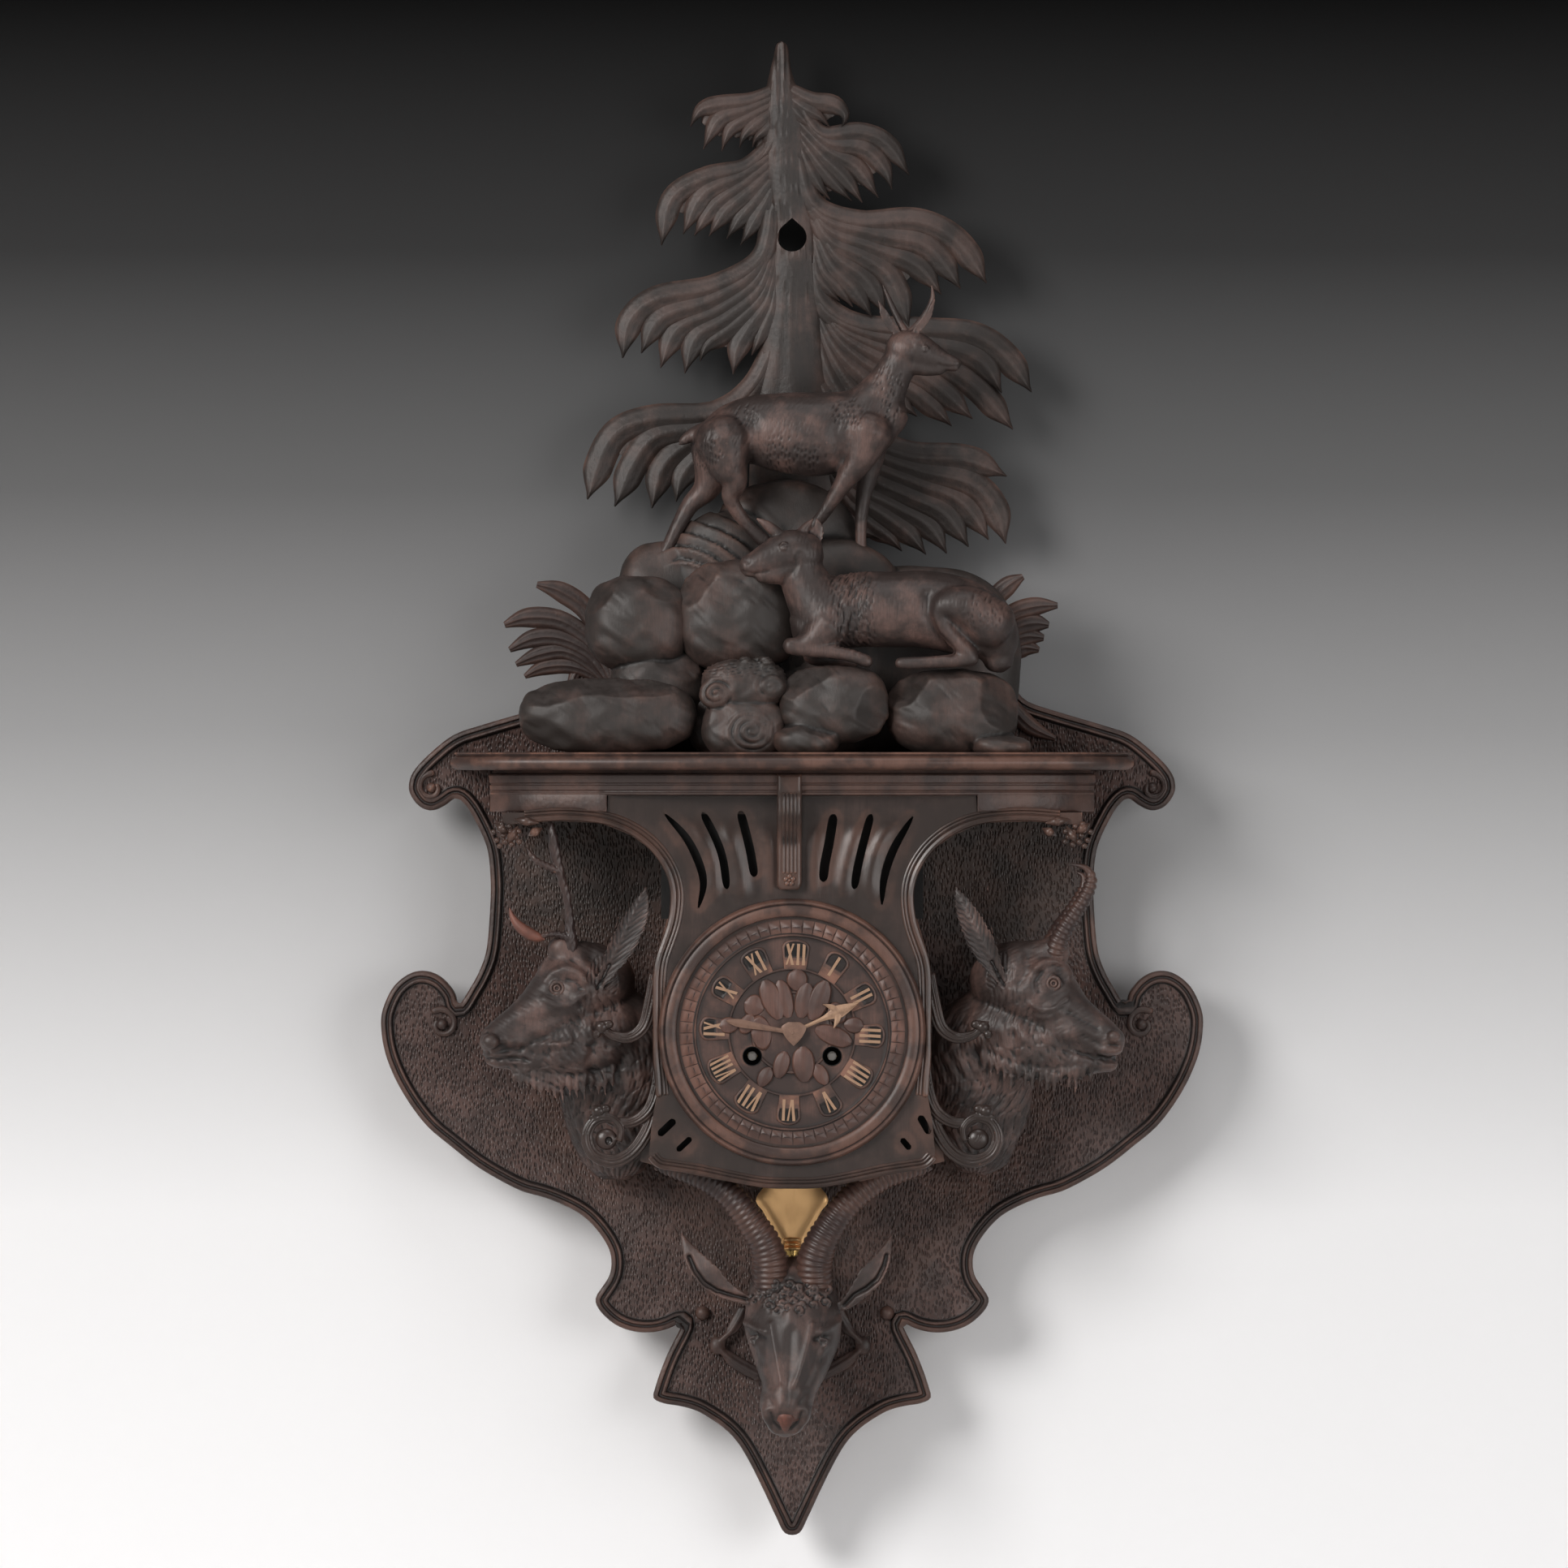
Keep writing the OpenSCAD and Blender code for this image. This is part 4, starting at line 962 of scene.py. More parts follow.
@dataclass(frozen=True)
class StippledWood:
    """The punched ground of the backboard, between its reeds, with painted shade in its arches."""

    stain: Point = (0.027, 0.017, 0.015)
    raised: Point = (0.092, 0.053, 0.045)
    worn: Point = (0.13, 0.07, 0.05)
    shade: Point = (0.011, 0.0115, 0.0095)
    # The middle and the half sizes of the painted shade in each arch, in metres.
    shaded: tuple[Flat, Flat] = ((0.112, -0.362), (0.055, 0.048))
    punches: float = 720.0
    relief: float = 0.00055
    gloss: float = 0.5

    def make(self, name: str, effects: Effects) -> bpy.types.Material:
        """Returns the material of the given name, made with the shared groups.

        Args:
            name: The name of the material.
            effects: The shared groups of nodes.

        Returns:
            The material.
        """
        mat, n = painted(name)
        place = n.add("TexCoord").outputs["Object"]
        wear = n.group(effects.wear, Sharpness=0.54, Width=0.07, Patches=30.0)
        cells = n.add("TexVoronoi", feature="F1", voronoi_dimensions="3D")
        n.set(cells, Vector=n.stretched(place, (1.0, 1.0, 0.42)), Scale=self.punches,
              Randomness=0.9)
        dots = n.spread(cells.outputs["Distance"], 0.08, 0.6)
        cloud = n.noise(place, 60.0, 4.0, 0.6)
        base = n.mix(n.maths("MULTIPLY", dots, n.spread(cloud, 0.35, 0.7, 0.3, 1.0)),
                     (*self.stain, 1), (*self.raised, 1))
        # Painted shade: the ground darkens towards the shade colour inside each arch.
        sides = n.set(n.add("SeparateXYZ"), Vector=place)
        squares = []
        for value, middle, half in zip((n.maths("ABSOLUTE", sides.outputs["X"]),
                                        sides.outputs["Z"]), *self.shaded):
            far = n.maths("DIVIDE", n.maths("SUBTRACT", value, middle), half)
            squares.append(n.maths("MULTIPLY", far, far))
        away = n.maths("ADD", *squares)
        base = n.mix(n.maths("MULTIPLY", n.spread(away, 1.5, 0.3), 0.6), base, (*self.shade, 1))
        base = n.mix(n.maths("MULTIPLY", wear["Edges"], 0.7), base, (*self.worn, 1))
        rough = n.maths("ADD", self.gloss, n.maths("MULTIPLY", dots, -0.1))
        n.wood(base, rough, self.relief, dots)
        return mat


@dataclass(frozen=True)
class AgedMetal:
    """Brass, gilding, bell metal or steel, with tarnish in the hollows."""

    colour: Point
    tarnish: Point
    metal: float = 1.0
    gloss: float = 0.30
    patches: float = 120.0
    amount: float = 0.5
    relief: float = 0.00006
    brushed: bool = False

    def make(self, name: str, effects: Effects) -> bpy.types.Material:
        """Returns the material of the given name, made with the shared groups.

        Args:
            name: The name of the material.
            effects: The shared groups of nodes.

        Returns:
            The material.
        """
        mat, n = painted(name)
        place = n.add("TexCoord").outputs["Object"]
        wear = n.group(effects.wear, Sharpness=0.53, Width=0.08, Patches=self.patches)
        cloud = n.spread(wear["Patches"], 0.4, 0.68)
        dull = n.maths("MULTIPLY", cloud, self.amount, clamp=True)
        dull = n.maths("MAXIMUM", dull, n.maths("MULTIPLY", wear["Hollows"], 0.9))
        dull = n.maths("SUBTRACT", dull, n.maths("MULTIPLY", wear["Edges"], 0.5), clamp=True)
        base = n.mix(dull, (*self.colour, 1), (*self.tarnish, 1))
        if self.brushed:
            lines = n.noise(n.stretched(place, (1.0, 1.0, 0.04)), 2600.0, 2.0, 0.6)
        else:
            lines = n.noise(place, 800.0, 3.0, 0.6)
        rough = n.maths("ADD", self.gloss, n.maths("MULTIPLY", dull, 0.25))
        rough = n.maths("ADD", rough, n.maths("MULTIPLY", n.maths("SUBTRACT", lines, 0.5), 0.15))
        bump = n.set(n.add("Bump"), Strength=1.0, Distance=self.relief, Height=lines)
        shader = n.set(n.add("BsdfPrincipled"), Base_Color=base, Roughness=rough,
                       Metallic=self.metal, Normal=bump.outputs[0])
        n.end(shader)
        return mat


class Finish(Enum):
    """The finishes of the clock."""

    CARVING = "carved wood"
    ROCK = "chiselled rock"
    GROUND = "punched ground"
    CASE = "smooth case"
    DIAL = "dial wood"
    FUR = "carved fur"
    HORN = "carved horn"
    GILT = "gilding"
    BOB = "gilt brass"
    BRASS = "brass"
    BELL = "bell metal"
    STEEL = "steel"
    SHADE = "black cloth"
    BLOCKS = "rubbed dial wood"
    HAND = "dulled gilding"
    RUBBED = "rubbed red wood"
    TREE = "carved fir"


class Workshop:
    """Holds every finish, made once."""

    def __init__(self) -> None:
        """Makes the finishes."""
        effects = Effects()
        dial = {"marks": 0.4, "relief": 0.00018}
        kinds: dict[Finish, CarvedWood | StippledWood | AgedMetal] = {
            Finish.CARVING: CarvedWood(gloss=0.46),
            Finish.ROCK: CarvedWood(stain=(0.022, 0.017, 0.015), warm=(0.072, 0.043, 0.036),
                                    marks=0.5, relief=0.00028, wear=0.65, gloss=0.5, dust=0.15),
            Finish.GROUND: StippledWood(),
            Finish.CASE: CarvedWood(stain=(0.024, 0.0155, 0.013), warm=(0.052, 0.032, 0.027),
                                    marks=0.3, relief=0.00016, gloss=0.31, wear=0.7, dust=0.1),
            Finish.DIAL: CarvedWood(stain=(0.034, 0.020, 0.017), warm=(0.098, 0.052, 0.041),
                                    worn=(0.22, 0.105, 0.07), wear=0.9, sharpness=0.525,
                                    patches=55.0, dust=0.05, **dial),
            Finish.BLOCKS: CarvedWood(stain=(0.05, 0.026, 0.021), warm=(0.125, 0.062, 0.048),
                                      worn=(0.24, 0.115, 0.08), wear=0.35, patches=25.0,
                                      dust=0.0, **dial),
            Finish.FUR: CarvedWood(stain=(0.029, 0.020, 0.018), warm=(0.118, 0.069, 0.058),
                                   worn=(0.17, 0.095, 0.075), marks=0.6, relief=0.00022,
                                   gloss=0.47, wear=0.75, patches=45.0, dust=0.06),
            Finish.HORN: CarvedWood(stain=(0.030, 0.019, 0.018), marks=0.3, relief=0.00015,
                                    gloss=0.38, wear=0.8, dust=0.06),
            Finish.TREE: CarvedWood(stain=(0.017, 0.013, 0.0115), warm=(0.052, 0.034, 0.030),
                                    worn=(0.14, 0.078, 0.060), gloss=0.5, wear=0.6,
                                    patches=42.0, dust=0.05),
            Finish.RUBBED: CarvedWood(stain=(0.075, 0.030, 0.022), warm=(0.17, 0.062, 0.043),
                                      worn=(0.27, 0.11, 0.075), marks=0.4, relief=0.00015,
                                      gloss=0.5, wear=0.6, patches=60.0, dust=0.0),
            # The black finish is painted shade: in the slots, in the winding holes and between the
            # numerals' strokes.
            Finish.SHADE: CarvedWood(stain=(0.004, 0.004, 0.004), warm=(0.008, 0.007, 0.007),
                                     wear=0.0, gloss=0.85, dust=0.0),
            Finish.GILT: AgedMetal((0.36, 0.225, 0.145), (0.12, 0.07, 0.048), metal=0.3,
                                   gloss=0.42, patches=260.0),
            Finish.HAND: AgedMetal((0.19, 0.11, 0.078), (0.09, 0.052, 0.038), metal=0.2,
                                   gloss=0.45, patches=260.0),
            Finish.BOB: AgedMetal((0.94, 0.58, 0.27), (0.72, 0.41, 0.18), metal=0.7, gloss=0.32,
                                  patches=50.0, amount=0.3, relief=0.00001),
            Finish.BRASS: AgedMetal((0.62, 0.42, 0.15), (0.20, 0.12, 0.05), gloss=0.28,
                                    brushed=True, amount=0.35),
            Finish.BELL: AgedMetal((0.58, 0.44, 0.24), (0.22, 0.15, 0.08), gloss=0.24,
                                   amount=0.4),
            Finish.STEEL: AgedMetal((0.20, 0.19, 0.18), (0.08, 0.07, 0.06), gloss=0.32,
                                    brushed=True),
        }
        self.made = {key: kind.make(key.value, effects) for key, kind in kinds.items()}

    def __getitem__(self, finish: Finish) -> bpy.types.Material:
        """Returns the material of a finish."""
        return self.made[finish]


@dataclass
class Backboard:
    """The shaped board behind everything, with its reeded rim and punched ground."""

    thickness: float = 18.0
    seat: float = -217.0
    hole: Point = (0.0, -452.0, 62.0)
    half: Sequence[Flat] = (
        (106, 0), (114, -12), (123, -25), (126, -37), (133, -47), (149, -53), (176, -61),
        (193, -67), (207, -78), (216, -88), (218.5, -96), (217, -102), (212, -108), (205, -110),
        (198, -107), (192, -103), (187, -106), (181, -115), (174, -131), (172, -147),
        (172, -163), (174, -188), (178, -201), (184, -212), (190, -221), (192.5, -214),
        (198, -207), (204, -203), (211, -201.5), (218, -203), (225, -208), (230, -215),
        (234, -226), (234, -237), (232, -248), (228, -259), (223, -269), (216, -280),
        (207, -291), (195, -301), (181, -312), (168, -320), (154, -327), (140, -331),
        (126, -337), (117, -343), (109, -352), (104, -361), (103, -369), (104.5, -376),
        (109, -383), (112, -388), (111, -393), (106, -399), (99, -404), (90, -407), (80, -407.5),
        (71, -405.5), (63, -402), (64, -406), (67, -412), (71, -420), (75, -430), (78, -439),
        (79, -445), (73, -448), (64, -449.5), (55, -452), (46, -457), (39, -462), (32, -469),
        (25, -480), (16, -498), (9, -513), (4, -522),
    )

    def outline(self) -> np.ndarray:
        """Returns the outline, anticlockwise, with a point about every 2.2 mm.

        Returns:
            The points, one row each.
        """
        right = [(x, y + self.seat) for x, y in self.half]
        smooth = spline(mirrored(right) + right, 5, closed=True)
        return evenly(smooth, 2.2, closed=True)[::-1]

    def curl(self, block: Carver, centre: Flat, radius: float, start: float, turns: float) -> None:
        """Ends the rim in a curl with a boss.

        Args:
            block: The block to carve in.
            centre: The middle of the curl.
            radius: The radius at its start.
            start: The direction of its start, in degrees.
            turns: How far it turns, in turns; negative is clockwise.
        """
        rows = []
        for k in range(13):
            t = k / 12
            r = radius * (1 - 0.62 * t)
            a = math.radians(start) + turns * math.tau * t
            rows.append((centre[0] + r * math.cos(a), centre[1] + r * math.sin(a),
                         self.thickness - 1.9, 1.9 - 0.5 * t, 0.95))
        block.limb(rows, around=10, per_span=3)
        block.ball((centre[0], centre[1], self.thickness - 2.2),
                   (radius * 0.36, radius * 0.36, 2.9))

    def build(self, shop: Workshop) -> None:
        """Carves and dresses the board.

        Args:
            shop: The workshop, with its finishes.
        """
        block = Carver()
        block.board(self.outline(), 0.0, self.thickness - 1.4,
                    [(0.5, 0.9), (0.9, 0.5), (1.0, 0.0), (0.8, -1.5), (0.7, 0.0), (0.8, 1.4),
                     (0.8, 0.1), (0.8, -0.6), (0.7, -2.4), (0.5, -0.2)], [self.hole])
        ground = self.thickness - 3.4
        block.done("board", shop[Finish.CARVING], instead=["backboard"], slot="dark_wood",
                   also=[(shop[Finish.GROUND],
                          lambda c, n: n.z > 0.97 and c.z < ground + 1.0 and c.z > 8)])
        curls = Carver()
        for side in (-1, 1):
            self.curl(curls, (side * 205.5, self.seat - 97), 8.4, 90, -0.8 * side)
            self.curl(curls, (side * 199.5, self.seat - 232), 9.0, 90 - 30 * side, 0.9 * side)
            curls.ball((side * (51 if side < 0 else 54), self.seat - 396.5, 16.2), (4.2, 4.2, 4.0))
        curls.done("board_curls", shop[Finish.CARVING], slot="dark_wood")


@dataclass
class Tree:
    """The fir, its boughs drooping in fluted fingers."""

    trunk: Sequence[Sequence[float]] = (
        (0.9, -230.9, 9, 26), (0.9, -161.9, 9, 26), (0.0, -125.1, 9, 24), (0.0, -88.3, 9.5, 22),
        (0.5, -51.5, 10, 17),
        (0.9, -19.3, 10, 14), (0.9, -0.9, 10, 12.5), (-0.5, 17.5, 10, 12), (-2.8, 40.5, 10, 13),
        (-4.6, 63.5, 10, 12.5), (-6.0, 81.9, 10, 9.5), (-6.4, 93.4, 9.5, 6.5),
        (-6.0, 102.6, 9.5, 4.6),
        (-6.0, 109.5, 9, 3.2), (-6.0, 111.8, 9, 0.6),
    )
    boughs: Sequence[tuple[float, float, Sequence[Sequence[Flat]]]] = (
        # depth of the top finger, half breadth, and the fingers from the top one inward
        (11.5, 4.4, (
            ((-8.7, 84.6), (-23.5, 77.7), (-41.9, 75.4), (-52.4, 72.2), (-58.0, 63.0)),
            ((-8.3, 81.0), (-25.8, 73.1), (-41.4, 67.2), (-50.6, 50.1)),
            ((-7.4, 78.2), (-23.5, 69.5), (-35.0, 62.1), (-40.0, 49.2)),
            ((-6.4, 75.4), (-17.5, 67.2), (-26.7, 58.9), (-29.9, 51.1)),
            ((-6.0, 72.7), (-13.8, 62.6), (-20.2, 57.0), (-22.5, 51.5)),
            ((-4.6, 71.8), (-8.7, 58.9), (-14.7, 48.8), (-21.6, 40.9)))),
        (11.5, 4.6, (
            ((-1.8, 84.6), (11.0, 77.7), (23.9, 75.4), (30.4, 69.0), (28.1, 62.6)),
            ((-1.8, 80.0), (8.7, 72.7), (16.6, 68.1), (21.2, 63.0)),
            ((-2.8, 77.3), (5.5, 68.1), (10.1, 62.6), (12.9, 61.2)))),
        (12.2, 4.6, (
            ((4.1, 77.3), (16.6, 58.9), (38.6, 59.8), (53.8, 53.4), (66.7, 35.4)),
            ((4.1, 70.4), (20.2, 54.3), (40.9, 50.6), (52.4, 39.6), (57.0, 27.1)),
            ((4.1, 65.8), (20.2, 49.7), (36.3, 40.5), (49.2, 22.5)),
            ((4.1, 61.2), (17.9, 46.0), (30.4, 33.6), (40.0, 19.8)),
            ((3.2, 58.9), (14.7, 42.8), (24.8, 30.4), (34.0, 20.7)),
            ((2.8, 56.6), (9.2, 41.4), (15.6, 29.4), (21.6, 21.6)))),
        (11.0, 5.2, (
            ((-12.0, 53.4), (-26.7, 39.6), (-48.8, 34.0), (-68.1, 22.1), (-74.5, -4.6)),
            ((-9.7, 49.7), (-28.1, 35.9), (-49.7, 24.8), (-62.1, 1.8)),
            ((-8.7, 46.0), (-26.7, 31.3), (-44.2, 18.4), (-55.7, 0.9)),
            ((-7.8, 43.2), (-23.0, 27.6), (-37.7, 14.7), (-47.4, 0.5)),
            ((-6.9, 40.5), (-18.4, 23.9), (-29.4, 11.0), (-37.3, -0.9)),
            ((-6.4, 38.2), (-13.8, 22.1), (-21.2, 9.2), (-29.4, -4.6)),
            ((-5.5, 35.9), (-9.2, 20.2), (-14.7, 7.4), (-20.7, -5.1)))),
        (12.4, 6.0, (
            ((4.1, 45.1), (12.9, 18.4), (38.6, 8.3), (70.8, 9.2), (93.8, -1.8), (110.9, -26.2)),
            ((5.5, 38.2), (16.6, 12.0), (47.8, 1.8), (77.7, -5.5), (96.1, -29.4)),
            ((6.4, 33.6), (19.3, 6.0), (45.5, -5.5), (70.8, -15.6), (85.1, -32.7)),
            ((7.4, 29.0), (20.2, 0.0), (40.9, -11.0), (57.0, -23.9), (66.7, -51.5)),
            ((12.9, 12.0), (24.8, -10.1), (42.3, -23.9), (53.4, -44.2)),
            ((12.9, 5.5), (22.5, -15.6), (35.0, -28.5), (45.5, -45.1)),
            ((12.9, -0.9), (18.4, -19.3), (26.7, -28.5), (34.5, -39.6)),
            ((12.4, -6.4), (14.7, -21.6), (20.2, -29.4), (27.1, -36.3)))),
        (12.6, 6.0, (
            ((-11.5, 15.2), (-17.9, -12.4), (-44.2, -28.5), (-76.4, -35.0), (-92.0, -47.8),
             (-96.6, -69.0)),
            ((-12.0, 6.0), (-21.2, -19.3), (-46.5, -35.9), (-74.1, -46.0), (-86.0, -66.2)),
            ((-12.0, -0.9), (-20.2, -24.8), (-41.9, -41.4), (-64.9, -52.4), (-75.0, -74.5)),
            ((-11.0, -5.5), (-18.4, -29.4), (-37.3, -46.0), (-54.3, -57.0), (-61.2, -77.7)),
            ((-10.1, -10.1), (-16.6, -33.1), (-32.7, -49.7), (-47.8, -60.7), (-52.4, -70.8)),
            ((-9.2, -13.8), (-13.8, -35.9), (-24.8, -52.4), (-31.3, -64.4), (-33.6, -78.2)),
            ((-8.3, -17.5), (-11.0, -39.6), (-16.6, -53.4), (-23.0, -67.2)))),
        (11.0, 6.2, (
            ((12.4, -14.7), (17.5, -36.8), (38.6, -50.6), (75.4, -53.4), (103.0, -55.7),
             (121.4, -67.2), (136.6, -88.3)),
            ((12.9, -21.6), (20.2, -43.2), (47.8, -56.1), (80.0, -60.7), (106.7, -69.9),
             (119.6, -88.8)),
            ((13.3, -26.2), (24.8, -49.2), (52.4, -63.0), (80.0, -69.9), (105.3, -86.0),
             (126.0, -109.5)),
            ((13.8, -30.8), (27.1, -53.8), (52.4, -69.9), (77.7, -81.4), (103.0, -103.5)),
            ((13.8, -35.4), (27.1, -58.4), (47.8, -75.4), (70.8, -88.3), (91.1, -107.6)),
            ((13.8, -40.0), (24.8, -63.0), (43.2, -81.4), (59.3, -92.0), (71.3, -102.1)),
            ((13.8, -44.6), (23.0, -67.6), (36.3, -88.3), (50.1, -104.4)),
            ((13.3, -49.2), (19.3, -72.2), (27.1, -88.3), (36.3, -104.4)))),
        (10.0, 6.6, (
            ((-7.4, -51.5), (-21.2, -83.7), (-44.2, -101.2), (-81.0, -104.0), (-103.0, -115.0),
             (-116.8, -149.5)),
            ((-9.7, -60.7), (-23.5, -90.6), (-48.8, -107.6), (-81.0, -115.9), (-101.2, -153.6)),
            ((-11.0, -69.9), (-28.1, -97.5), (-53.4, -113.6), (-72.7, -129.7), (-80.0, -154.6)),
            ((-12.0, -76.8), (-30.4, -104.4), (-51.1, -122.8), (-62.6, -136.6), (-66.2, -150.9)),
            ((-12.0, -83.7), (-28.1, -111.3), (-44.2, -129.7), (-52.4, -149.0)))),
        (10.0, 6.6, (
            ((15.6, -83.7), (38.6, -111.3), (66.2, -124.2), (98.4, -126.5), (122.4, -136.2)),
            ((15.6, -90.6), (38.6, -118.2), (70.8, -132.0), (100.7, -139.8), (114.5, -152.7),
             (121.9, -174.8)),
            ((15.6, -97.5), (38.6, -125.1), (70.8, -139.8), (96.1, -150.4), (112.2, -172.5)),
            ((15.6, -104.4), (36.3, -132.0), (66.2, -147.2), (86.9, -157.3), (100.7, -176.6)),
            ((15.6, -111.3), (34.0, -138.9), (59.3, -153.6), (77.7, -164.2), (88.3, -180.3)),
            ((15.6, -118.2), (31.7, -143.5), (52.4, -158.2), (66.2, -168.8), (76.4, -180.8)),
            ((15.6, -125.1), (29.4, -148.1), (43.2, -161.9), (54.7, -170.2), (62.6, -178.9)),
            ((14.7, -132.0), (24.8, -152.7), (36.3, -164.2), (50.1, -172.0)))),
    )

    def build(self, shop: Workshop) -> None:
        """Carves and dresses the tree.

        Args:
            shop: The workshop, with its finishes.
        """
        trunk = Carver()
        trunk.blade(self.trunk, thick=8.0, across=16, per_span=6, ridge=0.10)
        trunk.pressed(lambda p,
                      n: 0.35 * n[:, 2] * np.sin(p[:, 0] * 1.9 + np.sin(p[:, 1] * 0.05) * 2.0))
        trunk.cut(self.peg())
        trunk.done("tree_trunk", shop[Finish.TREE], instead=["tree"], slot="carved_wood")
        crown = Carver()
        for depth, half, fingers in self.boughs:
            for k, finger in enumerate(fingers):
                self.finger(crown, finger, depth - 0.45 * k, half * (1.28 - 0.03 * k), k)
            for k, (upper, lower) in enumerate(zip(fingers[:-1], fingers[1:])):
                self.web(crown, upper, lower, depth - 0.45 * k - 1.3)
        crown.done("tree_boughs", shop[Finish.TREE], slot="carved_wood", crease=48.0)

    @staticmethod
    def peg() -> Carver:
        """Returns the shape of the pear-shaped hanging hole, which rises to a point.

        Returns:
            The block.
        """
        points = [(0.0, 11.0)]
        for k in range(29):
            a = math.radians(48 - k * 276 / 28)
            points.append((8.3 * math.cos(a), 8.3 * math.sin(a)))
        tool = Carver()
        tool.board(points[::-1], -10.0, 40.0)
        return tool

    @staticmethod
    def finger(block: Carver, run: Sequence[Flat], depth: float, half: float, number: int) -> None:
        """Carves one drooping finger of a bough.

        Args:
            block: The block to carve in.
            run: The line of the finger from the trunk to its tip.
            depth: The depth of its middle.
            half: Its half breadth.
            number: Its place in the bough, from the top one.
        """
        line = evenly(spline(run, 8), 4.0)
        count = len(line)
        rows = []
        for k, (x, y) in enumerate(line):
            t = k / (count - 1)
            left = (1.0 - t) * (count - 1) * 4.0
            wide = half * (0.66 + 0.34 * math.sin(min(1.0, t * 1.7) * math.pi / 2))
            wide *= smooth_one(-2.0, 19.0, left) ** 0.9 if k < count - 1 else 0.05
            rise = 1.1 * math.sin(t * math.pi) + (0.7 if number % 2 else 0.0) * t
            rows.append((x, y, depth + rise - 1.3 * (1 - t) ** 3, wide))
        block.blade(rows, thick=4.8, across=10, per_span=2, ridge=0.26, ribs=2)

    @staticmethod
    def web(block: Carver, upper: Sequence[Flat], lower: Sequence[Flat], depth: float) -> None:
        """Fills the wood between two fingers, short of their tips.

        Args:
            block: The block to carve in.
            upper: The line of the upper finger.
            lower: The line of the lower one.
            depth: The depth of the web.
        """
        a, b = evenly(spline(upper, 8), 3.0), evenly(spline(lower, 8), 3.0)
        rows = []
        for k in range(15):
            t = 0.80 * k / 14
            p = a[min(len(a) - 1, int(t * len(a)))]
            q = b[min(len(b) - 1, int(t * len(b)))]
            wide = 0.5 * float(np.linalg.norm(p - q)) + 0.8
            rows.append(((p[0] + q[0]) / 2, (p[1] + q[1]) / 2, depth - 1.3 - 0.9 * (1 - t) ** 3,
                         wide * (1.0 if k < 14 else 0.2)))
        block.blade(rows, thick=3.6, across=6, per_span=2, ridge=0.0)


@dataclass
class Ferns:
    """The two tufts of leaves beside the rocks."""

    left: Sequence[tuple[float, Sequence[Flat]]] = (
        (5.4, ((-100.3, -253.9), (-104.9, -235.5), (-116.8, -213.4), (-131.6, -202.4),
               (-145.4, -198.3))),
        (5.4, ((-101.7, -253.9), (-111.8, -233.2), (-130.6, -219.4), (-150.0, -217.1),
               (-163.8, -221.3))),
        (5.0, ((-103.0, -254.8), (-114.1, -238.3), (-131.6, -229.1), (-147.7, -229.1),
               (-161.0, -235.5))),
        (4.6, ((-104.0, -256.2), (-115.5, -243.8), (-129.7, -236.4), (-144.4, -238.3),
               (-157.3, -243.8))),
        (4.2, ((-104.0, -258.5), (-114.1, -249.3), (-127.0, -244.7), (-141.7, -245.6),
               (-152.3, -250.7))),
        (4.6, ((-127.0, -258.5), (-121.4, -244.7), (-114.1, -235.5), (-107.6, -231.8),
               (-103.0, -234.6))),
        (5.6, ((-81.0, -256.7), (-89.2, -244.7), (-101.2, -234.6), (-109.5, -224.5),
               (-116.8, -213.4))),
    )
    right: Sequence[tuple[float, Sequence[Flat]]] = (
        (5.0, ((108.6, -235.5), (108.6, -219.4), (115.0, -207.0), (123.3, -198.7),
               (131.6, -193.7))),
        (5.0, ((109.9, -237.8), (115.9, -222.6), (126.0, -214.4), (138.9, -210.7),
               (151.3, -210.2))),
        (5.4, ((111.3, -241.0), (119.6, -229.1), (128.8, -222.6), (138.0, -220.3),
               (146.3, -221.3))),
        (5.4, ((113.2, -245.6), (120.5, -235.5), (127.0, -230.0), (134.3, -227.7),
               (143.5, -228.6))),
        (4.8, ((115.0, -247.5), (120.5, -241.0), (127.0, -236.4), (133.4, -234.1),
               (140.8, -235.5))),
        (4.4, ((115.9, -235.5), (119.6, -256.2), (126.0, -268.6), (136.2, -279.2),
               (150.0, -286.1))),
    )

    def build(self, shop: Workshop) -> None:
        """Carves and dresses both tufts.

        Args:
            shop: The workshop, with its finishes.
        """
        for side, leaves in (("left", self.left), ("right", self.right)):
            block = Carver()
            for k, (half, run) in enumerate(leaves):
                rows = []
                for i, (x, y) in enumerate(run):
                    t = i / (len(run) - 1)
                    wide = 0.55 + 0.55 * math.sin(t * math.pi * 0.8) if t < 0.99 else 0.34
                    rows.append((x, y, 21.5 - 0.7 * k + 1.5 * t, half * wide))
                block.blade(rows, thick=4.8, across=12, per_span=7, ridge=0.10, ribs=3)
            block.done(f"fern_leaves_{side}", shop[Finish.CARVING], instead=[f"fern_{side}"],
                       slot="carved_wood", crease=48.0)


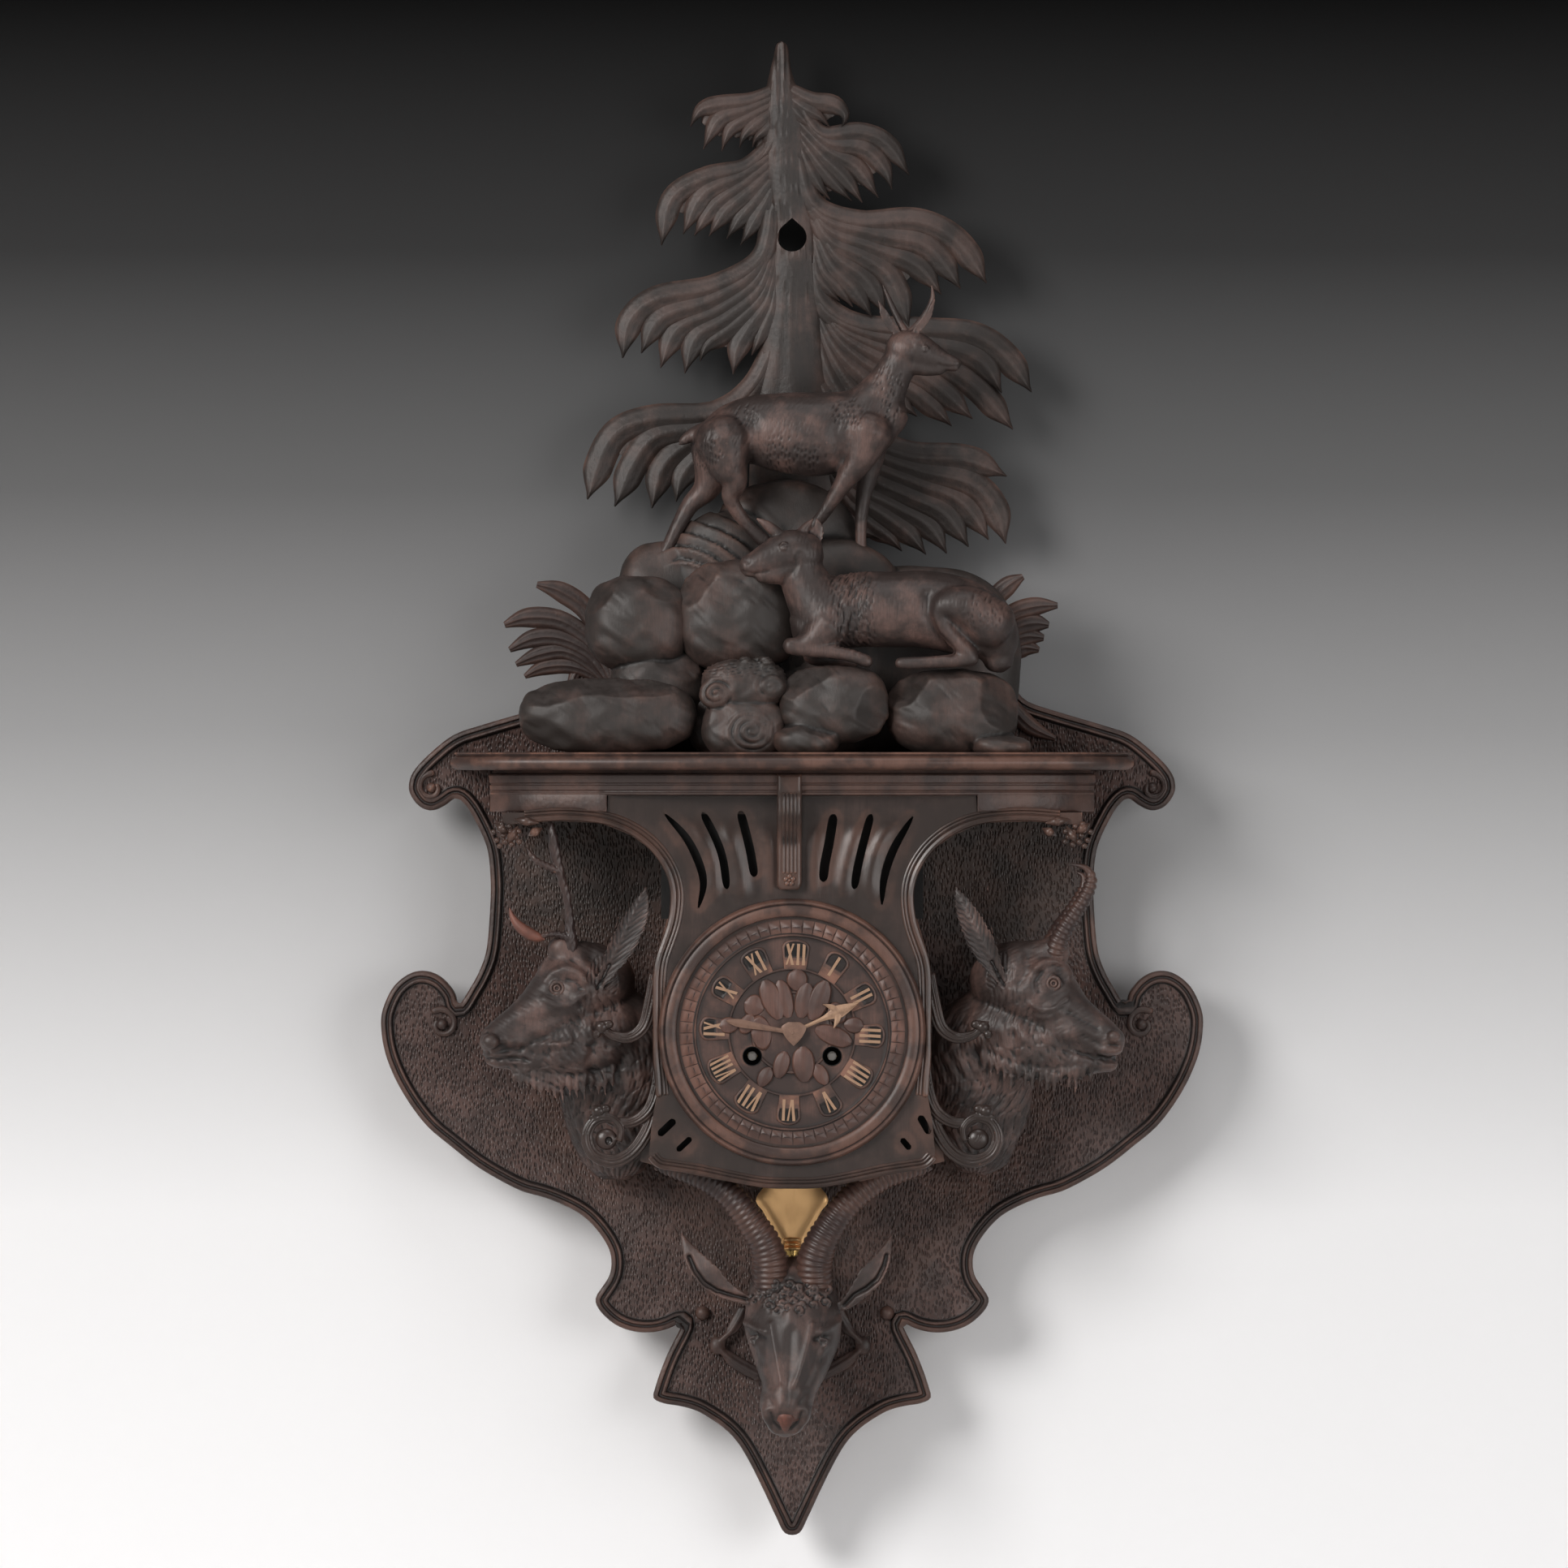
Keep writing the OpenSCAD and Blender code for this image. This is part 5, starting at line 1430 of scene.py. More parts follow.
def boulder(block: Carver, centre: Point, radii: Point, cuts: Sequence[tuple[Point, float]],
            square: float = 2.6) -> None:
    """Hews one boulder: a rounded block with chiselled flats.

    Args:
        block: The block to carve in.
        centre: Its middle.
        radii: Its half sizes.
        cuts: The directions and distances, over the half sizes, of the flats.
        square: How square the rounded block is; 2 is an egg.
    """
    bm = bmesh.new()
    bmesh.ops.create_icosphere(bm, subdivisions=5, radius=1.0)
    for v in bm.verts:
        x, y, z = v.co
        k = (abs(x) ** square + abs(y) ** square + abs(z) ** square) ** (1 / square)
        v.co = v.co / k
    for way, far in cuts:
        normal = Vector(way).normalized()
        geom = list(bm.verts) + list(bm.edges) + list(bm.faces)
        got = bmesh.ops.bisect_plane(bm, geom=geom, plane_co=normal * far, plane_no=normal,
                                     clear_outer=True)
        edges = [g for g in got["geom_cut"] if isinstance(g, bmesh.types.BMEdge)]
        if edges:
            bmesh.ops.holes_fill(bm, edges=edges, sides=0)
    for v in bm.verts:
        v.co = Vector((v.co.x * radii[0], v.co.y * radii[1], v.co.z * radii[2])) + Vector(centre)
    bmesh.ops.recalc_face_normals(bm, faces=list(bm.faces))
    mesh = bpy.data.meshes.new("rock")
    bm.to_mesh(mesh)
    bm.free()
    block.bm.from_mesh(mesh)
    bpy.data.meshes.remove(mesh)


@dataclass
class Rocks:
    """The mound and the boulders on the shelf."""

    floor: float = SHELF_Y

    def build(self, shop: Workshop) -> None:
        """Hews and dresses every boulder.

        Args:
            shop: The workshop, with its finishes.
        """
        y = self.floor
        self.mound(shop)
        self.one(shop, "rock_upper_left", "boulder_upper_left", (-87.5, y + 73, 65), (30, 27, 22),
                 [((-1, 0.7, 0.6), 1.02), ((0.5, 0.9, 0.7), 1.02)],
                 under=((-76, y + 36, 65), (27, 24, 19)))
        self.one(shop, "rock_centre", "boulder_centre", (-30.5, y + 77, 68), (35, 32, 19),
                 [((-1, 0.8, 0.7), 0.99), ((-0.1, 0.25, 1), 0.95)],
                 under=((-30.5, y + 22, 66), (31, 27, 12)))
        self.one(shop, "rock_left", "boulder_left", (-104, y + 20.6, 91), (50.5, 21.4, 16.5),
                 [((-0.8, 1, 0.7), 0.95), ((0.1, 1, 0.5), 0.86), ((-0.9, -0.5, 0.6), 0.98)])
        self.one(shop, "rock_middle", "boulder_middle", (23.5, y + 27, 101), (31, 22, 16.5),
                 [((1, -0.2, 0.8), 0.92), ((-0.7, 0.8, 0.7), 0.92), ((-0.2, 0.2, 1), 0.93)],
                 under=((8, y + 6.5, 104), (19, 9, 17)))
        self.one(shop, "rock_right", "boulder_right", (90.5, y + 22.5, 85), (37.5, 24.5, 24.5),
                 [((1, 0.25, 0.8), 0.92), ((-0.9, 0.6, 0.6), 0.98), ((0, 0.3, 1), 0.94)],
                 under=((118, y + 3.5, 98), (17, 6, 14)))
        self.stump(shop)

    @staticmethod
    def one(shop: Workshop, name: str, node: str, centre: Point, radii: Point,
            cuts: Sequence[tuple[Point, float]],
            under: Optional[tuple[Point, Point]] = None) -> None:
        """Hews one boulder, and the smaller one under it.

        Args:
            shop: The finishes.
            name: The name of the piece.
            node: The solid that it stands for.
            centre: Its middle.
            radii: Its half sizes.
            cuts: Its flats.
            under: The middle and half sizes of the smaller one.
        """
        block = Carver()
        boulder(block, centre, radii, cuts)
        if under:
            boulder(block, under[0], under[1], [((0.5, 0.8, 0.9), 0.95)])
        block.fused(1.0, 3, 0.5)
        seed = centre[0] * 0.13

        def marks(p: np.ndarray, n: np.ndarray) -> np.ndarray:
            """Returns broad, shallow chisel marks.

            Args:
                p: The places on the skin, one row each.
                n: The normal of the skin at each place; not used.

            Returns:
                How far each place moves outward, in millimetres.
            """
            u = p[:, 0] * 0.31 + p[:, 1] * 0.22 + np.sin(p[:, 1] * 0.17 + seed) * 1.7
            out = 0.3 * np.sin(u) + 0.16 * np.sin(p[:, 1] * 0.55 + np.sin(p[:, 0] * 0.2 + seed) * 2)
            along = p[:, 0] * 0.8 - p[:, 1] * 0.6 + 2.0 * np.sin(p[:, 1] * 0.12 + seed)
            over = p[:, 0] * 0.6 + p[:, 1] * 0.8 + 2.0 * np.sin(p[:, 0] * 0.15 + seed)
            return out - 0.3 * nicks(along, over, 13.0, 4.6, seed, 0.5)

        block.pressed(marks)
        block.done(name, shop[Finish.ROCK], instead=[node], slot="carved_wood", crease=ROUNDED)

    def mound(self, shop: Workshop) -> None:
        """Hews the mound behind the boulders, with its curling strata.

        Args:
            shop: The workshop, with its finishes.
        """
        y = self.floor
        block = Carver()
        boulder(block, (12, y + 44, 28), (114, 62, 10), [((0, -1, 0), 0.68)], square=2.4)
        boulder(block, (-4, y + 98, 34), (47, 57, 16), [((0, 0.2, 1), 0.95)], square=2.3)
        boulder(block, (-40, y + 96, 42), (32, 40, 17), [((0, 0, 1), 0.98)], square=2.2)
        boulder(block, (-72, y + 58, 40), (30, 62, 18), [((0, 0, 1), 0.97)], square=3.0)
        boulder(block, (6, y + 60, 44), (60, 62, 15), [((0, 0, 1), 0.97)], square=3.2)
        boulder(block, (70, y + 50, 38), (60, 56, 20), [((0, 0, 1), 0.96)], square=2.6)
        block.fused(1.3, 4, 0.5)

        def strata(p: np.ndarray, n: np.ndarray) -> np.ndarray:
            """Returns the curling grooves on the left of the mound.

            Args:
                p: The places on the skin, one row each.
                n: The normal of the skin at each place.

            Returns:
                How far each place moves outward, in millimetres.
            """
            cx, cy = -60.0, y + 86.0
            r = np.hypot(p[:, 0] - cx, p[:, 1] - cy) + 1.2 * np.sin(p[:, 0] * 0.11)
            a = np.arctan2(p[:, 1] - cy, p[:, 0] - cx)
            here = smoothstep(0.05, 0.5, a) * smoothstep(2.2, 1.7, a)
            here *= smoothstep(16, 24, r) * smoothstep(70, 62, r) * smoothstep(-0.1, 0.4, n[:, 2])
            step = r / 7.6 - np.floor(r / 7.6)
            wave = 0.75 + step * 0.9 - 1.3 * smoothstep(0.86, 1.0, step)
            rest = 0.22 * np.sin(p[:, 0] * 0.2 + np.sin(p[:, 1] * 0.13) * 2)
            return here * (wave - 0.75) * 2.6 + rest * 1.6 * (1 - here)

        block.pressed(strata)
        block.done("mound", shop[Finish.ROCK], instead=["hill"], slot="carved_wood", crease=ROUNDED)

    def stump(self, shop: Workshop) -> None:
        """Carves the burred stump, with its curls.

        Args:
            shop: The workshop, with its finishes.
        """
        y = self.floor
        block = Carver()
        boulder(block, (-27, y + 38, 97), (24.5, 14.5, 15), [((0.2, 0.3, 1), 0.97)], square=2.8)
        boulder(block, (-27, y + 13.5, 99), (24, 17, 15), [((-0.3, 0.2, 1), 0.97)], square=2.8)
        curls = [(-43, y + 33, 9.5, 1, 1.5), (-23, y + 12, 12.5, -1, 1.1),
                 (-12, y + 37, 9.0, 1, 0.5)]
        for cx, cy, r, way, _ in curls:
            block.ball((cx, cy, 106.5), (r, r * 0.95, 6.5))
        for k in range(16):
            a = k * BUD_TURN
            block.ball((-27 + 17 * math.cos(a) * ((k * 5) % 7) / 6.5,
                        y + 47 + 4.5 * math.sin(a * 1.7), 103 + 2.5 * math.sin(k)),
                       (4.2, 3.2, 4.0))
        block.fused(0.8, 4, 0.5)

        def whorls(p: np.ndarray, n: np.ndarray) -> np.ndarray:
            """Returns the spiral grooves of the burrs and the rough bark on top.

            Args:
                p: The places on the skin, one row each.
                n: The normal of the skin at each place; not used.

            Returns:
                How far each place moves outward, in millimetres.
            """
            out = 0.28 * np.sin(p[:, 0] * 0.5 + np.sin(p[:, 1] * 0.35) * 2.0)
            for cx, cy, r, way, deep in curls:
                q = np.hypot(p[:, 0] - cx, (p[:, 1] - cy) * 1.1)
                a = np.arctan2(p[:, 1] - cy, p[:, 0] - cx) * way
                here = smoothstep(r * 1.3, r * 0.9, q) * smoothstep(102, 105, p[:, 2])
                open_side = 0.35 + 0.65 * smoothstep(-0.6, 0.5, np.cos(a - 2.4))
                out = out + here * open_side * deep * (np.abs(np.sin(q * 0.72 + a * 0.5)) - 0.72)
            top = smoothstep(y + 40, y + 46, p[:, 1])
            out -= top * 0.9 * nicks(p[:, 0] + p[:, 1] * 0.4, p[:, 1] * 1.2 - p[:, 0] * 0.2, 3.8,
                                     2.3, 3.0, 0.8)
            return out

        block.pressed(whorls)
        block.done("burred_stump", shop[Finish.ROCK], instead=["tree_stump"], slot="carved_wood",
                   crease=ROUNDED)


def moulded(block: Carver, plan: Sequence[Flat], profile: Sequence[tuple[float, float]]) -> None:
    """Stacks a moulding round the front and sides of a plan.

    Args:
        block: The block to build in.
        plan: The plan as x and depth, from the back left corner round the front.
        profile: Pairs of how far the moulding stands out and its height, from the foot up.
    """
    count = len(plan)
    ways: list[Vector] = []
    for i in range(count):
        before = Vector(plan[i]) - Vector(plan[i - 1]) if i else Vector(plan[1]) - Vector(plan[0])
        after = (Vector(plan[i + 1]) - Vector(plan[i])) if i < count - 1 else before
        a, b = before.normalized(), after.normalized()
        out = Vector((-a.y, a.x)) + Vector((-b.y, b.x))
        out.normalize()
        reach = 1.0 / max(0.4, out.dot(Vector((-a.y, a.x))))
        ways.append(out * reach)
    if ways[0].x > 0:
        ways = [-w for w in ways]
    ways[0] = Vector((-1.0, 0.0))
    ways[-1] = Vector((1.0, 0.0))
    ring: list[bmesh.types.BMVert] = []
    made: list[bmesh.types.BMVert] = []
    edges: list[bmesh.types.BMEdge] = []
    first: list[bmesh.types.BMEdge] = []
    for level, (out, height) in enumerate(profile):
        places = [(p[0] + w.x * out, height, p[1] + w.y * out) for p, w in zip(plan, ways)]
        if not level:
            ring = [block.bm.verts.new(c) for c in places]
            edges = [block.bm.edges.new((ring[i], ring[(i + 1) % count])) for i in range(count)]
            first = list(edges)
        else:
            ring, edges = grown(block.bm, ring, edges, places)
        made += ring
    bmesh.ops.triangle_fill(block.bm, edges=first, use_beauty=True)
    bmesh.ops.triangle_fill(block.bm, edges=edges, use_beauty=True)
    bmesh.ops.recalc_face_normals(block.bm, faces=list({f for v in made for f in v.link_faces}))


@dataclass
class ShelfAndCornice:
    """The shelf that carries the rocks, and the moulded cornice under it."""

    width: float = 387.0
    reach: float = 130.0
    thick: float = 10.0
    cornice_width: float = 341.0
    cornice_reach: float = 107.0

    def plan(self, width: float, reach: float) -> list[Flat]:
        """Returns the plan of a slab: deeper in the middle and drawn in at the ends.

        Args:
            width: The whole width of the slab.
            reach: How far its middle comes forward.

        Returns:
            The points from left to right, with the depth as their second number.
        """
        half = width / 2
        side = [(-half, reach * 0.62), (-half * 0.86, reach * 0.80), (-half * 0.5, reach * 0.94),
                (-half * 0.2, reach * 0.99)]
        run = spline(side + [(-x, d) for x, d in reversed(side)], 5)
        return [(-half, 2.0), *((float(x), float(d)) for x, d in run), (half, 2.0)]

    def front(self, x: float) -> float:
        """Returns the depth of the cornice's front at x."""
        plan = self.plan(self.cornice_width, self.cornice_reach)
        return float(np.interp(x, *zip(*plan[1:-1])))

    def build(self, shop: Workshop) -> None:
        """Planes and dresses both.

        Args:
            shop: The workshop, with its finishes.
        """
        top, t = SHELF_Y, self.thick
        shelf = Carver()
        nose = [(-4.6 + 4.9 * math.cos(a), top - 5.9 + 4.1 * math.sin(a))
                for a in np.linspace(-math.pi / 2, math.pi / 2, 11)]
        moulded(shelf, self.plan(self.width - 1, self.reach - 0.6),
                [(-6.0, top - t), *nose, (-3.0, top - 1.7), (-2.9, top - 1.3), (-2.2, top - 1.1),
                 (-2.0, top - 0.6), (-2.5, top - 0.1), (-3.4, top)])
        shelf.done("shelf_board", shop[Finish.DIAL], instead=["shelf"], slot="carved_wood",
                   crease=38.0)
        cornice = Carver()
        base = CASE_TOP
        moulded(cornice, self.plan(self.cornice_width, self.cornice_reach),
                [(-24.0, base), (-18.0, base), (-18.0, base + 9.2), (-7.4, base + 9.4),
                 (-0.4, base + 9.8), (0.3, base + 10.3), (0.4, base + 11.2), (-0.2, base + 11.7),
                 (-0.3, base + 12.2), (0.5, base + 12.9), (0.8, base + 15.2), (0.1, base + 15.8),
                 (0.1, base + 16.3), (0.9, base + 17.0), (1.3, base + 20.8), (0.8, base + 21.6),
                 (-1.0, base + 22.4), (-1.4, base + 24.0)])
        for side in (-1, 1):
            block = Carver()
            foot, head, inner = base + 0.5, base + 12.4, 104.5
            block.board(evenly([(171.0, foot), (171.0, head), (inner, head), (inner, foot)], 3.0,
                               closed=True),
                        -20.0, -0.6, [(0.5, 0.5), (0.5, 0.2)])
            for v in block.bm.verts:
                v.co.z += self.front(v.co.x)
                v.co.x *= side
            if side < 0:
                bmesh.ops.reverse_faces(block.bm, faces=list(block.bm.faces))
            cornice.take(block)
        cornice.done("cornice_moulding", shop[Finish.CARVING], instead=["cornice"],
                     slot="dark_wood",
                     crease=28.0)


def beside(run: Sequence[Flat], offset: float) -> np.ndarray:
    """Returns a run of points moved to its right hand by offset.

    Args:
        run: The points that the run goes through.
        offset: How far it is moved.

    Returns:
        The moved points, one row each.
    """
    line = evenly(spline(run, 6), 1.5)
    for _ in range(4):
        line[1:-1] = line[1:-1] * 0.5 + (line[:-2] + line[2:]) * 0.25
    way = np.gradient(line, axis=0)
    way /= np.linalg.norm(way, axis=1)[:, None] + TINY
    return line + offset * np.stack([way[:, 1], -way[:, 0]], axis=1)


def strip(run: Sequence[Flat], half: float, taper: float) -> list[Flat]:
    """Returns the outline of a curved slot.

    Args:
        run: Its middle line from the top to the foot.
        half: Half its breadth.
        taper: How much of the breadth the two ends lose, from 0 for round to 1 for pointed.

    Returns:
        The points of the outline.
    """
    line = evenly(spline(run, 8), 0.9)
    t = np.linspace(-1.0, 1.0, len(line))
    power = 2.0 + 10.0 * (1.0 - taper)
    wide = half * np.maximum(0.05, (1.0 - np.abs(t) ** power)) ** 0.5
    way = np.gradient(line, axis=0)
    way /= np.linalg.norm(way, axis=1)[:, None] + TINY
    side = np.stack([way[:, 1], -way[:, 0]], axis=1) * wide[:, None]
    return [(float(x), float(y)) for x, y in [*(line + side), *(line - side)[::-1]]]


@dataclass
class CaseFront:
    """The pierced front of the case, its reeded arches and the hooks beside the dial."""

    half: Sequence[Flat] = (
        (163.6, -328.0), (163.6, -335.4), (150, -333.6), (134, -332.2), (118, -332.6),
        (104, -334.6),
        (91, -340), (80.5, -348), (73.5, -357), (69.5, -366), (68.0, -376), (69.5, -389),
        (73.0, -400), (76.5, -410), (78.0, -420), (78.2, -436), (78, -452), (78, -466), (77, -478),
        (76.5, -487), (79, -502), (80, -513), (80.5, -524), (76, -528.5), (68, -530), (52, -532.5),
        (36, -536), (16, -539.6), (0, -540),
    )
    slots: Sequence[tuple[Sequence[Flat], float, float]] = (
        (((-29.4, -327.1), (-26.2, -339.0), (-23.5, -350.5), (-21.2, -364.3)), 2.5, 0.1),
        (((-50.6, -328.0), (-43.7, -341.3), (-39.1, -354.2), (-36.8, -371.2)), 2.3, 0.3),
        (((-71.8, -328.9), (-59.8, -342.2), (-52.4, -357.0), (-50.1, -368.9), (-52.9, -381.8)),
         2.4, 1.0),
        (((23.5, -328.9), (20.7, -345.9), (18.4, -357.4), (17.5, -367.1)), 2.7, 0.1),
        (((44.6, -328.9), (40.0, -345.9), (36.8, -359.7), (35.0, -371.2)), 2.4, 0.3),
        (((68.1, -330.3), (57.5, -348.2), (52.0, -364.3), (50.6, -380.0)), 2.4, 1.0),
        (((-75.4, -510.1), (-66.2, -501.4)), 2.1, 0.4),
        (((-64.9, -518.9), (-57.0, -511.5)), 1.7, 0.4),
        (((71.8, -499.1), (77.7, -509.2)), 2.1, 0.4), (((61.6, -512.0), (66.7, -518.0)), 1.7, 0.4),
    )

    ribs: Sequence[tuple[Sequence[Flat], float, float]] = (
        (((-39.6, -327.5), (-34.0, -345.9), (-29.9, -362.0), (-28.5, -379.0)), 2.0, 4.6),
        (((-60.3, -328.9), (-50.1, -343.6), (-44.6, -360.6), (-44.2, -379.0)), 1.7, 3.6),
        (((-17.5, -327.5), (-12.9, -350.5), (-12.0, -373.5)), 0.9, 3.4),
    )
    # The left, right, lower and upper edge of each black sheet of painted shade behind the slots,
    # and their two faces.
    shade_sheets: Sequence[tuple[float, float, float, float]] = (
        (-74, 74, -388, -329), (-77, -55, -521, -498), (55, 77, -521, -498))
    shade_sheet_faces: Flat = (85.06, 85.3)

    def outline(self) -> list[Flat]:
        """Returns the outline of the front with its arches.

        Returns:
            The points of the outline.
        """
        left = [(-x, y) for x, y in self.half]
        side = [(float(x), float(y)) for x, y in evenly(spline(left[1:-1], 5), 2.0)]
        return [left[0], *side, (0.0, self.half[-1][1]), *mirrored(side), self.half[0],
                (104.3, CASE_TOP), (103.8, CASE_TOP + 9.6), (-103.8, CASE_TOP + 9.6),
                (-104.3, CASE_TOP)]

    def build(self, shop: Workshop) -> None:
        """Carves and dresses the front.

        Args:
            shop: The workshop, with its finishes.
        """
        block = Carver()
        block.slab(self.outline(), 85.4, CASE_D - 0.4, 2.2, [(DIAL_X, DIAL_Y, 61.0)])
        tool = Carver()
        for line, half, taper in self.slots:
            tool.board(strip(line, half, taper), 80.0, 110.0)
        block.cut(tool)
        front = [v for v in block.bm.verts if v.co.z > 90.0]
        places = np.array([v.co[:] for v in front])
        lift = np.zeros(len(front))
        for run, high, wide in self.ribs:
            for side in (-1, 1):
                line = [(-x * side, y) for x, y in spline(run, 5)]
                ends = smoothstep(0.0, 14.0, -331.0 - places[:, 1]) * smoothstep(-382.0, -368.0,
                        places[:, 1])
                lift = np.maximum(lift,
                                  high * ends * np.exp(-(near_line(places, line) / wide) ** 2))
        for v, more in zip(front, lift):
            v.co.z += float(more)
        for side in (-1, 1):
            for points, reeds in (([(x * side, y) for x, y in self.half[2:20]],
                                   ((1.3, 1.85), (4.3, 0.8), (6.1, 0.8))),
                                  ([(x * side, y) for x, y in self.half[22:]],
                                   ((1.2, 1.4), (3.6, 0.8), (5.4, 0.8)))):
                for offset, r in reeds:
                    line = beside(points, offset * side)
                    block.limb([(x, y, CASE_D - 0.2, r, 0.9) for x, y in line], around=8,
                               per_span=1)
        block.done("case_panel", shop[Finish.CASE], instead=["case_front"], slot="dark_wood",
                   crease=32.0)
        # Black sheets of painted shade behind the slots.
        shade_sheets = Carver()
        for x0, x1, y0, y1 in self.shade_sheets:
            shade_sheets.board([(x0, y0), (x1, y0), (x1, y1), (x0, y1)], *self.shade_sheet_faces)
        shade_sheets.done("fret_shade_sheet", shop[Finish.SHADE])
        self.rib(shop)
        self.hooks(shop)

    def rib(self, shop: Workshop) -> None:
        """Carves the fluted strap that hangs from the shelf to the bezel.

        Args:
            shop: The workshop, with its finishes.
        """
        block = Carver()
        top, foot, x0, half = SHELF_Y - 12.2, -371.6, -1.6, 6.9
        outline = [(x0 - half, top), (x0 + half, top), (x0 + half, foot + 2.5),
                   (x0 + half - 2, foot),
                   (x0 - half + 2, foot), (x0 - half, foot + 2.5)]
        block.board(evenly(outline, 1.4, closed=True), -7.0, -1.5,
                    [(0.5, 0.8), (0.7, 0.5), (1.0, 0.1)])
        for x in (-3.3, -1.1, 1.1, 3.3):
            block.limb([(x0 + x, top - 11.5, -0.2, 0.95), (x0 + x, -350.0, -0.2, 0.95),
                        (x0 + x, foot + 10, -0.2, 0.95)], around=8, per_span=12)
        for k in range(5):
            a = math.radians(90 + 72 * k)
            block.ball((x0 + 2.2 * math.cos(a), foot + 5.4 + 2.2 * math.sin(a), 0.0),
                       (1.6, 1.6, 1.0), around=12)
        block.ball((x0, foot + 5.4, 0.5), (1.0, 1.0, 0.9), around=12)
        for v in block.bm.verts:
            y = v.co.y
            v.co.z += (100.6 + 10.4 * smooth_one(-346.0, -328.0, y) + 1.2 * smooth_one(-318.5,
                    -316.5, y))
        block.done("fluted_rib", shop[Finish.CASE], instead=["centre_rib"], slot="dark_wood",
                   crease=32.0)

    def hooks(self, shop: Workshop) -> None:
        """Carves the knots on the arches and the budded hooks beside the dial.

        Args:
            shop: The workshop, with its finishes.
        """
        for side, name in ((-1, "left"), (1, "right")):
            block = Carver()
            runs = (
                ((77, -420, 88, 3.0), (80, -436, 88, 3.3), (84, -449, 88, 3.2), (92, -455, 88, 3.0),
                 (101, -454, 88.4, 2.6), (106, -450.5, 88.8, 2.1)),
                ((76, -446, 85, 2.8), (74.5, -466, 86, 3.2), (76, -482, 87, 3.2),
                 (81, -496, 88, 3.2),
                 (91, -503, 88, 3.0), (102, -502, 88.4, 2.6), (107.5, -498, 88.8, 2.1)),
                ((78, -496, 86, 2.6), (82, -508, 87, 3.0), (90, -519.5, 88, 3.0),
                 (101, -525, 88.4, 3.0),
                 (112, -521, 88.6, 2.8), (116, -511.5, 88.8, 2.7), (112, -502.5, 89, 2.5),
                 (103, -500.5, 89.2, 2.2), (97, -506, 89.2, 1.9), (97.5, -513, 89.4, 1.6)),
            )
            for k, run in enumerate(runs):
                path = spline([(x * side, y, d, r) for x, y, d, r in run], 6)
                way = np.gradient(path[:, :2], axis=0)
                way /= np.linalg.norm(way, axis=1)[:, None] + TINY
                for lane, forward in ((-3.1, 0.2), (-1.05, 1.1), (1.05, 1.1), (3.1, 0.2)):
                    rows = []
                    for (x, y, d, r), (tx, ty), t in zip(path, way, np.linspace(0, 1, len(path))):
                        fade = (r / 3.1) * (1.0 - (0.35 if k < 2 else 0.1) * t)
                        rows.append((x - ty * lane * fade, y + tx * lane * fade, d + forward + 0.9,
                                     1.0 * fade, 1.3))
                    block.limb(rows[::2], around=10, per_span=2)
                block.limb([(x, y, d - 0.8, r * 1.12, 0.6) for x, y, d, r in path[::3]], around=12,
                           per_span=3)
            for x, y, r in ((107.6, -449, 4.0), (103.5, -447.5, 2.8), (110.5, -453.2, 2.6),
                            (109.3, -496.5, 4.0), (105.0, -495.2, 2.8), (112.0, -500.6, 2.6)):
                block.ball((x * side, y, 89.6), (r, r * 0.9, r * 0.85))
                block.limb([((x + 1) * side, y + 1, 90.6, r * 0.5),
                            ((x + r * 0.9) * side, y + r * 0.8, 90.2, 0.3)], around=8)
            block.ball((105.0 * side, -512.5, 88.2), (6.2, 6.2, 3.2), around=24)
            block.fused(0.42, 1, 0.25)
            tool = Carver()
            if side > 0:
                for k in (-1, 0, 1):
                    tool.limb([(101.5 + 2.6 * k, -516.4 + 1.6 * k, 92.4, 0.8),
                               (105.0 + 2.6 * k, -510.4 + 1.0 * k, 92.6, 1.0),
                               (107.5 + 2.2 * k, -507.2 + 0.6 * k, 92.2, 0.6)], around=8, flat=1.6)
            else:
                tool.ball((-103.5, -513.5, 92.4), (2.6, 3.0, 3.0))
            block.cut(tool)
            block.done(f"budded_hooks_{name}", shop[Finish.CASE], instead=[f"scroll_{name}"],
                       slot="carved_wood", crease=ROUNDED)
            self.knot(shop, side, name)

    def knot(self, shop: Workshop, side: int, name: str) -> None:
        """Carves the cluster of leaves and buds where an arch meets the board.

        Args:
            shop: The workshop, with its finishes.
            side: The side of the arch, -1 for left and 1 for right.
            name: The name of the piece.
        """
        knot = Carver()
        for k, (x, y, a, l) in enumerate(((150, -333, 8, 13), (158, -341, -58, 11),
                                          (164, -337, 35, 9), (145, -339, -28, 8))):
            way = Vector((math.cos(math.radians(a)), math.sin(math.radians(a))))
            rows = [((x - way.x * l * 0.5) * side, y - way.y * l * 0.5, 95.2, 0.6),
                    (x * side, y, 96.2 + 0.4 * k, 2.6),
                    ((x + way.x * l * 0.5) * side, y + way.y * l * 0.5, 95.0, 0.5)]
            knot.limb(rows, around=10, per_span=6)
        for k in range(13):
            a, r = k * BUD_TURN, 1.6 + 2.05 * math.sqrt(k)
            knot.ball(((161.5 + r * math.cos(a)) * side, -341.0 + r * 0.8 * math.sin(a),
                       95.6 + 0.5 * (k % 3)),
                      (1.7, 1.6, 1.5), around=10)
        knot.done(f"arch_knot_{name}", shop[Finish.CASE], slot="dark_wood")


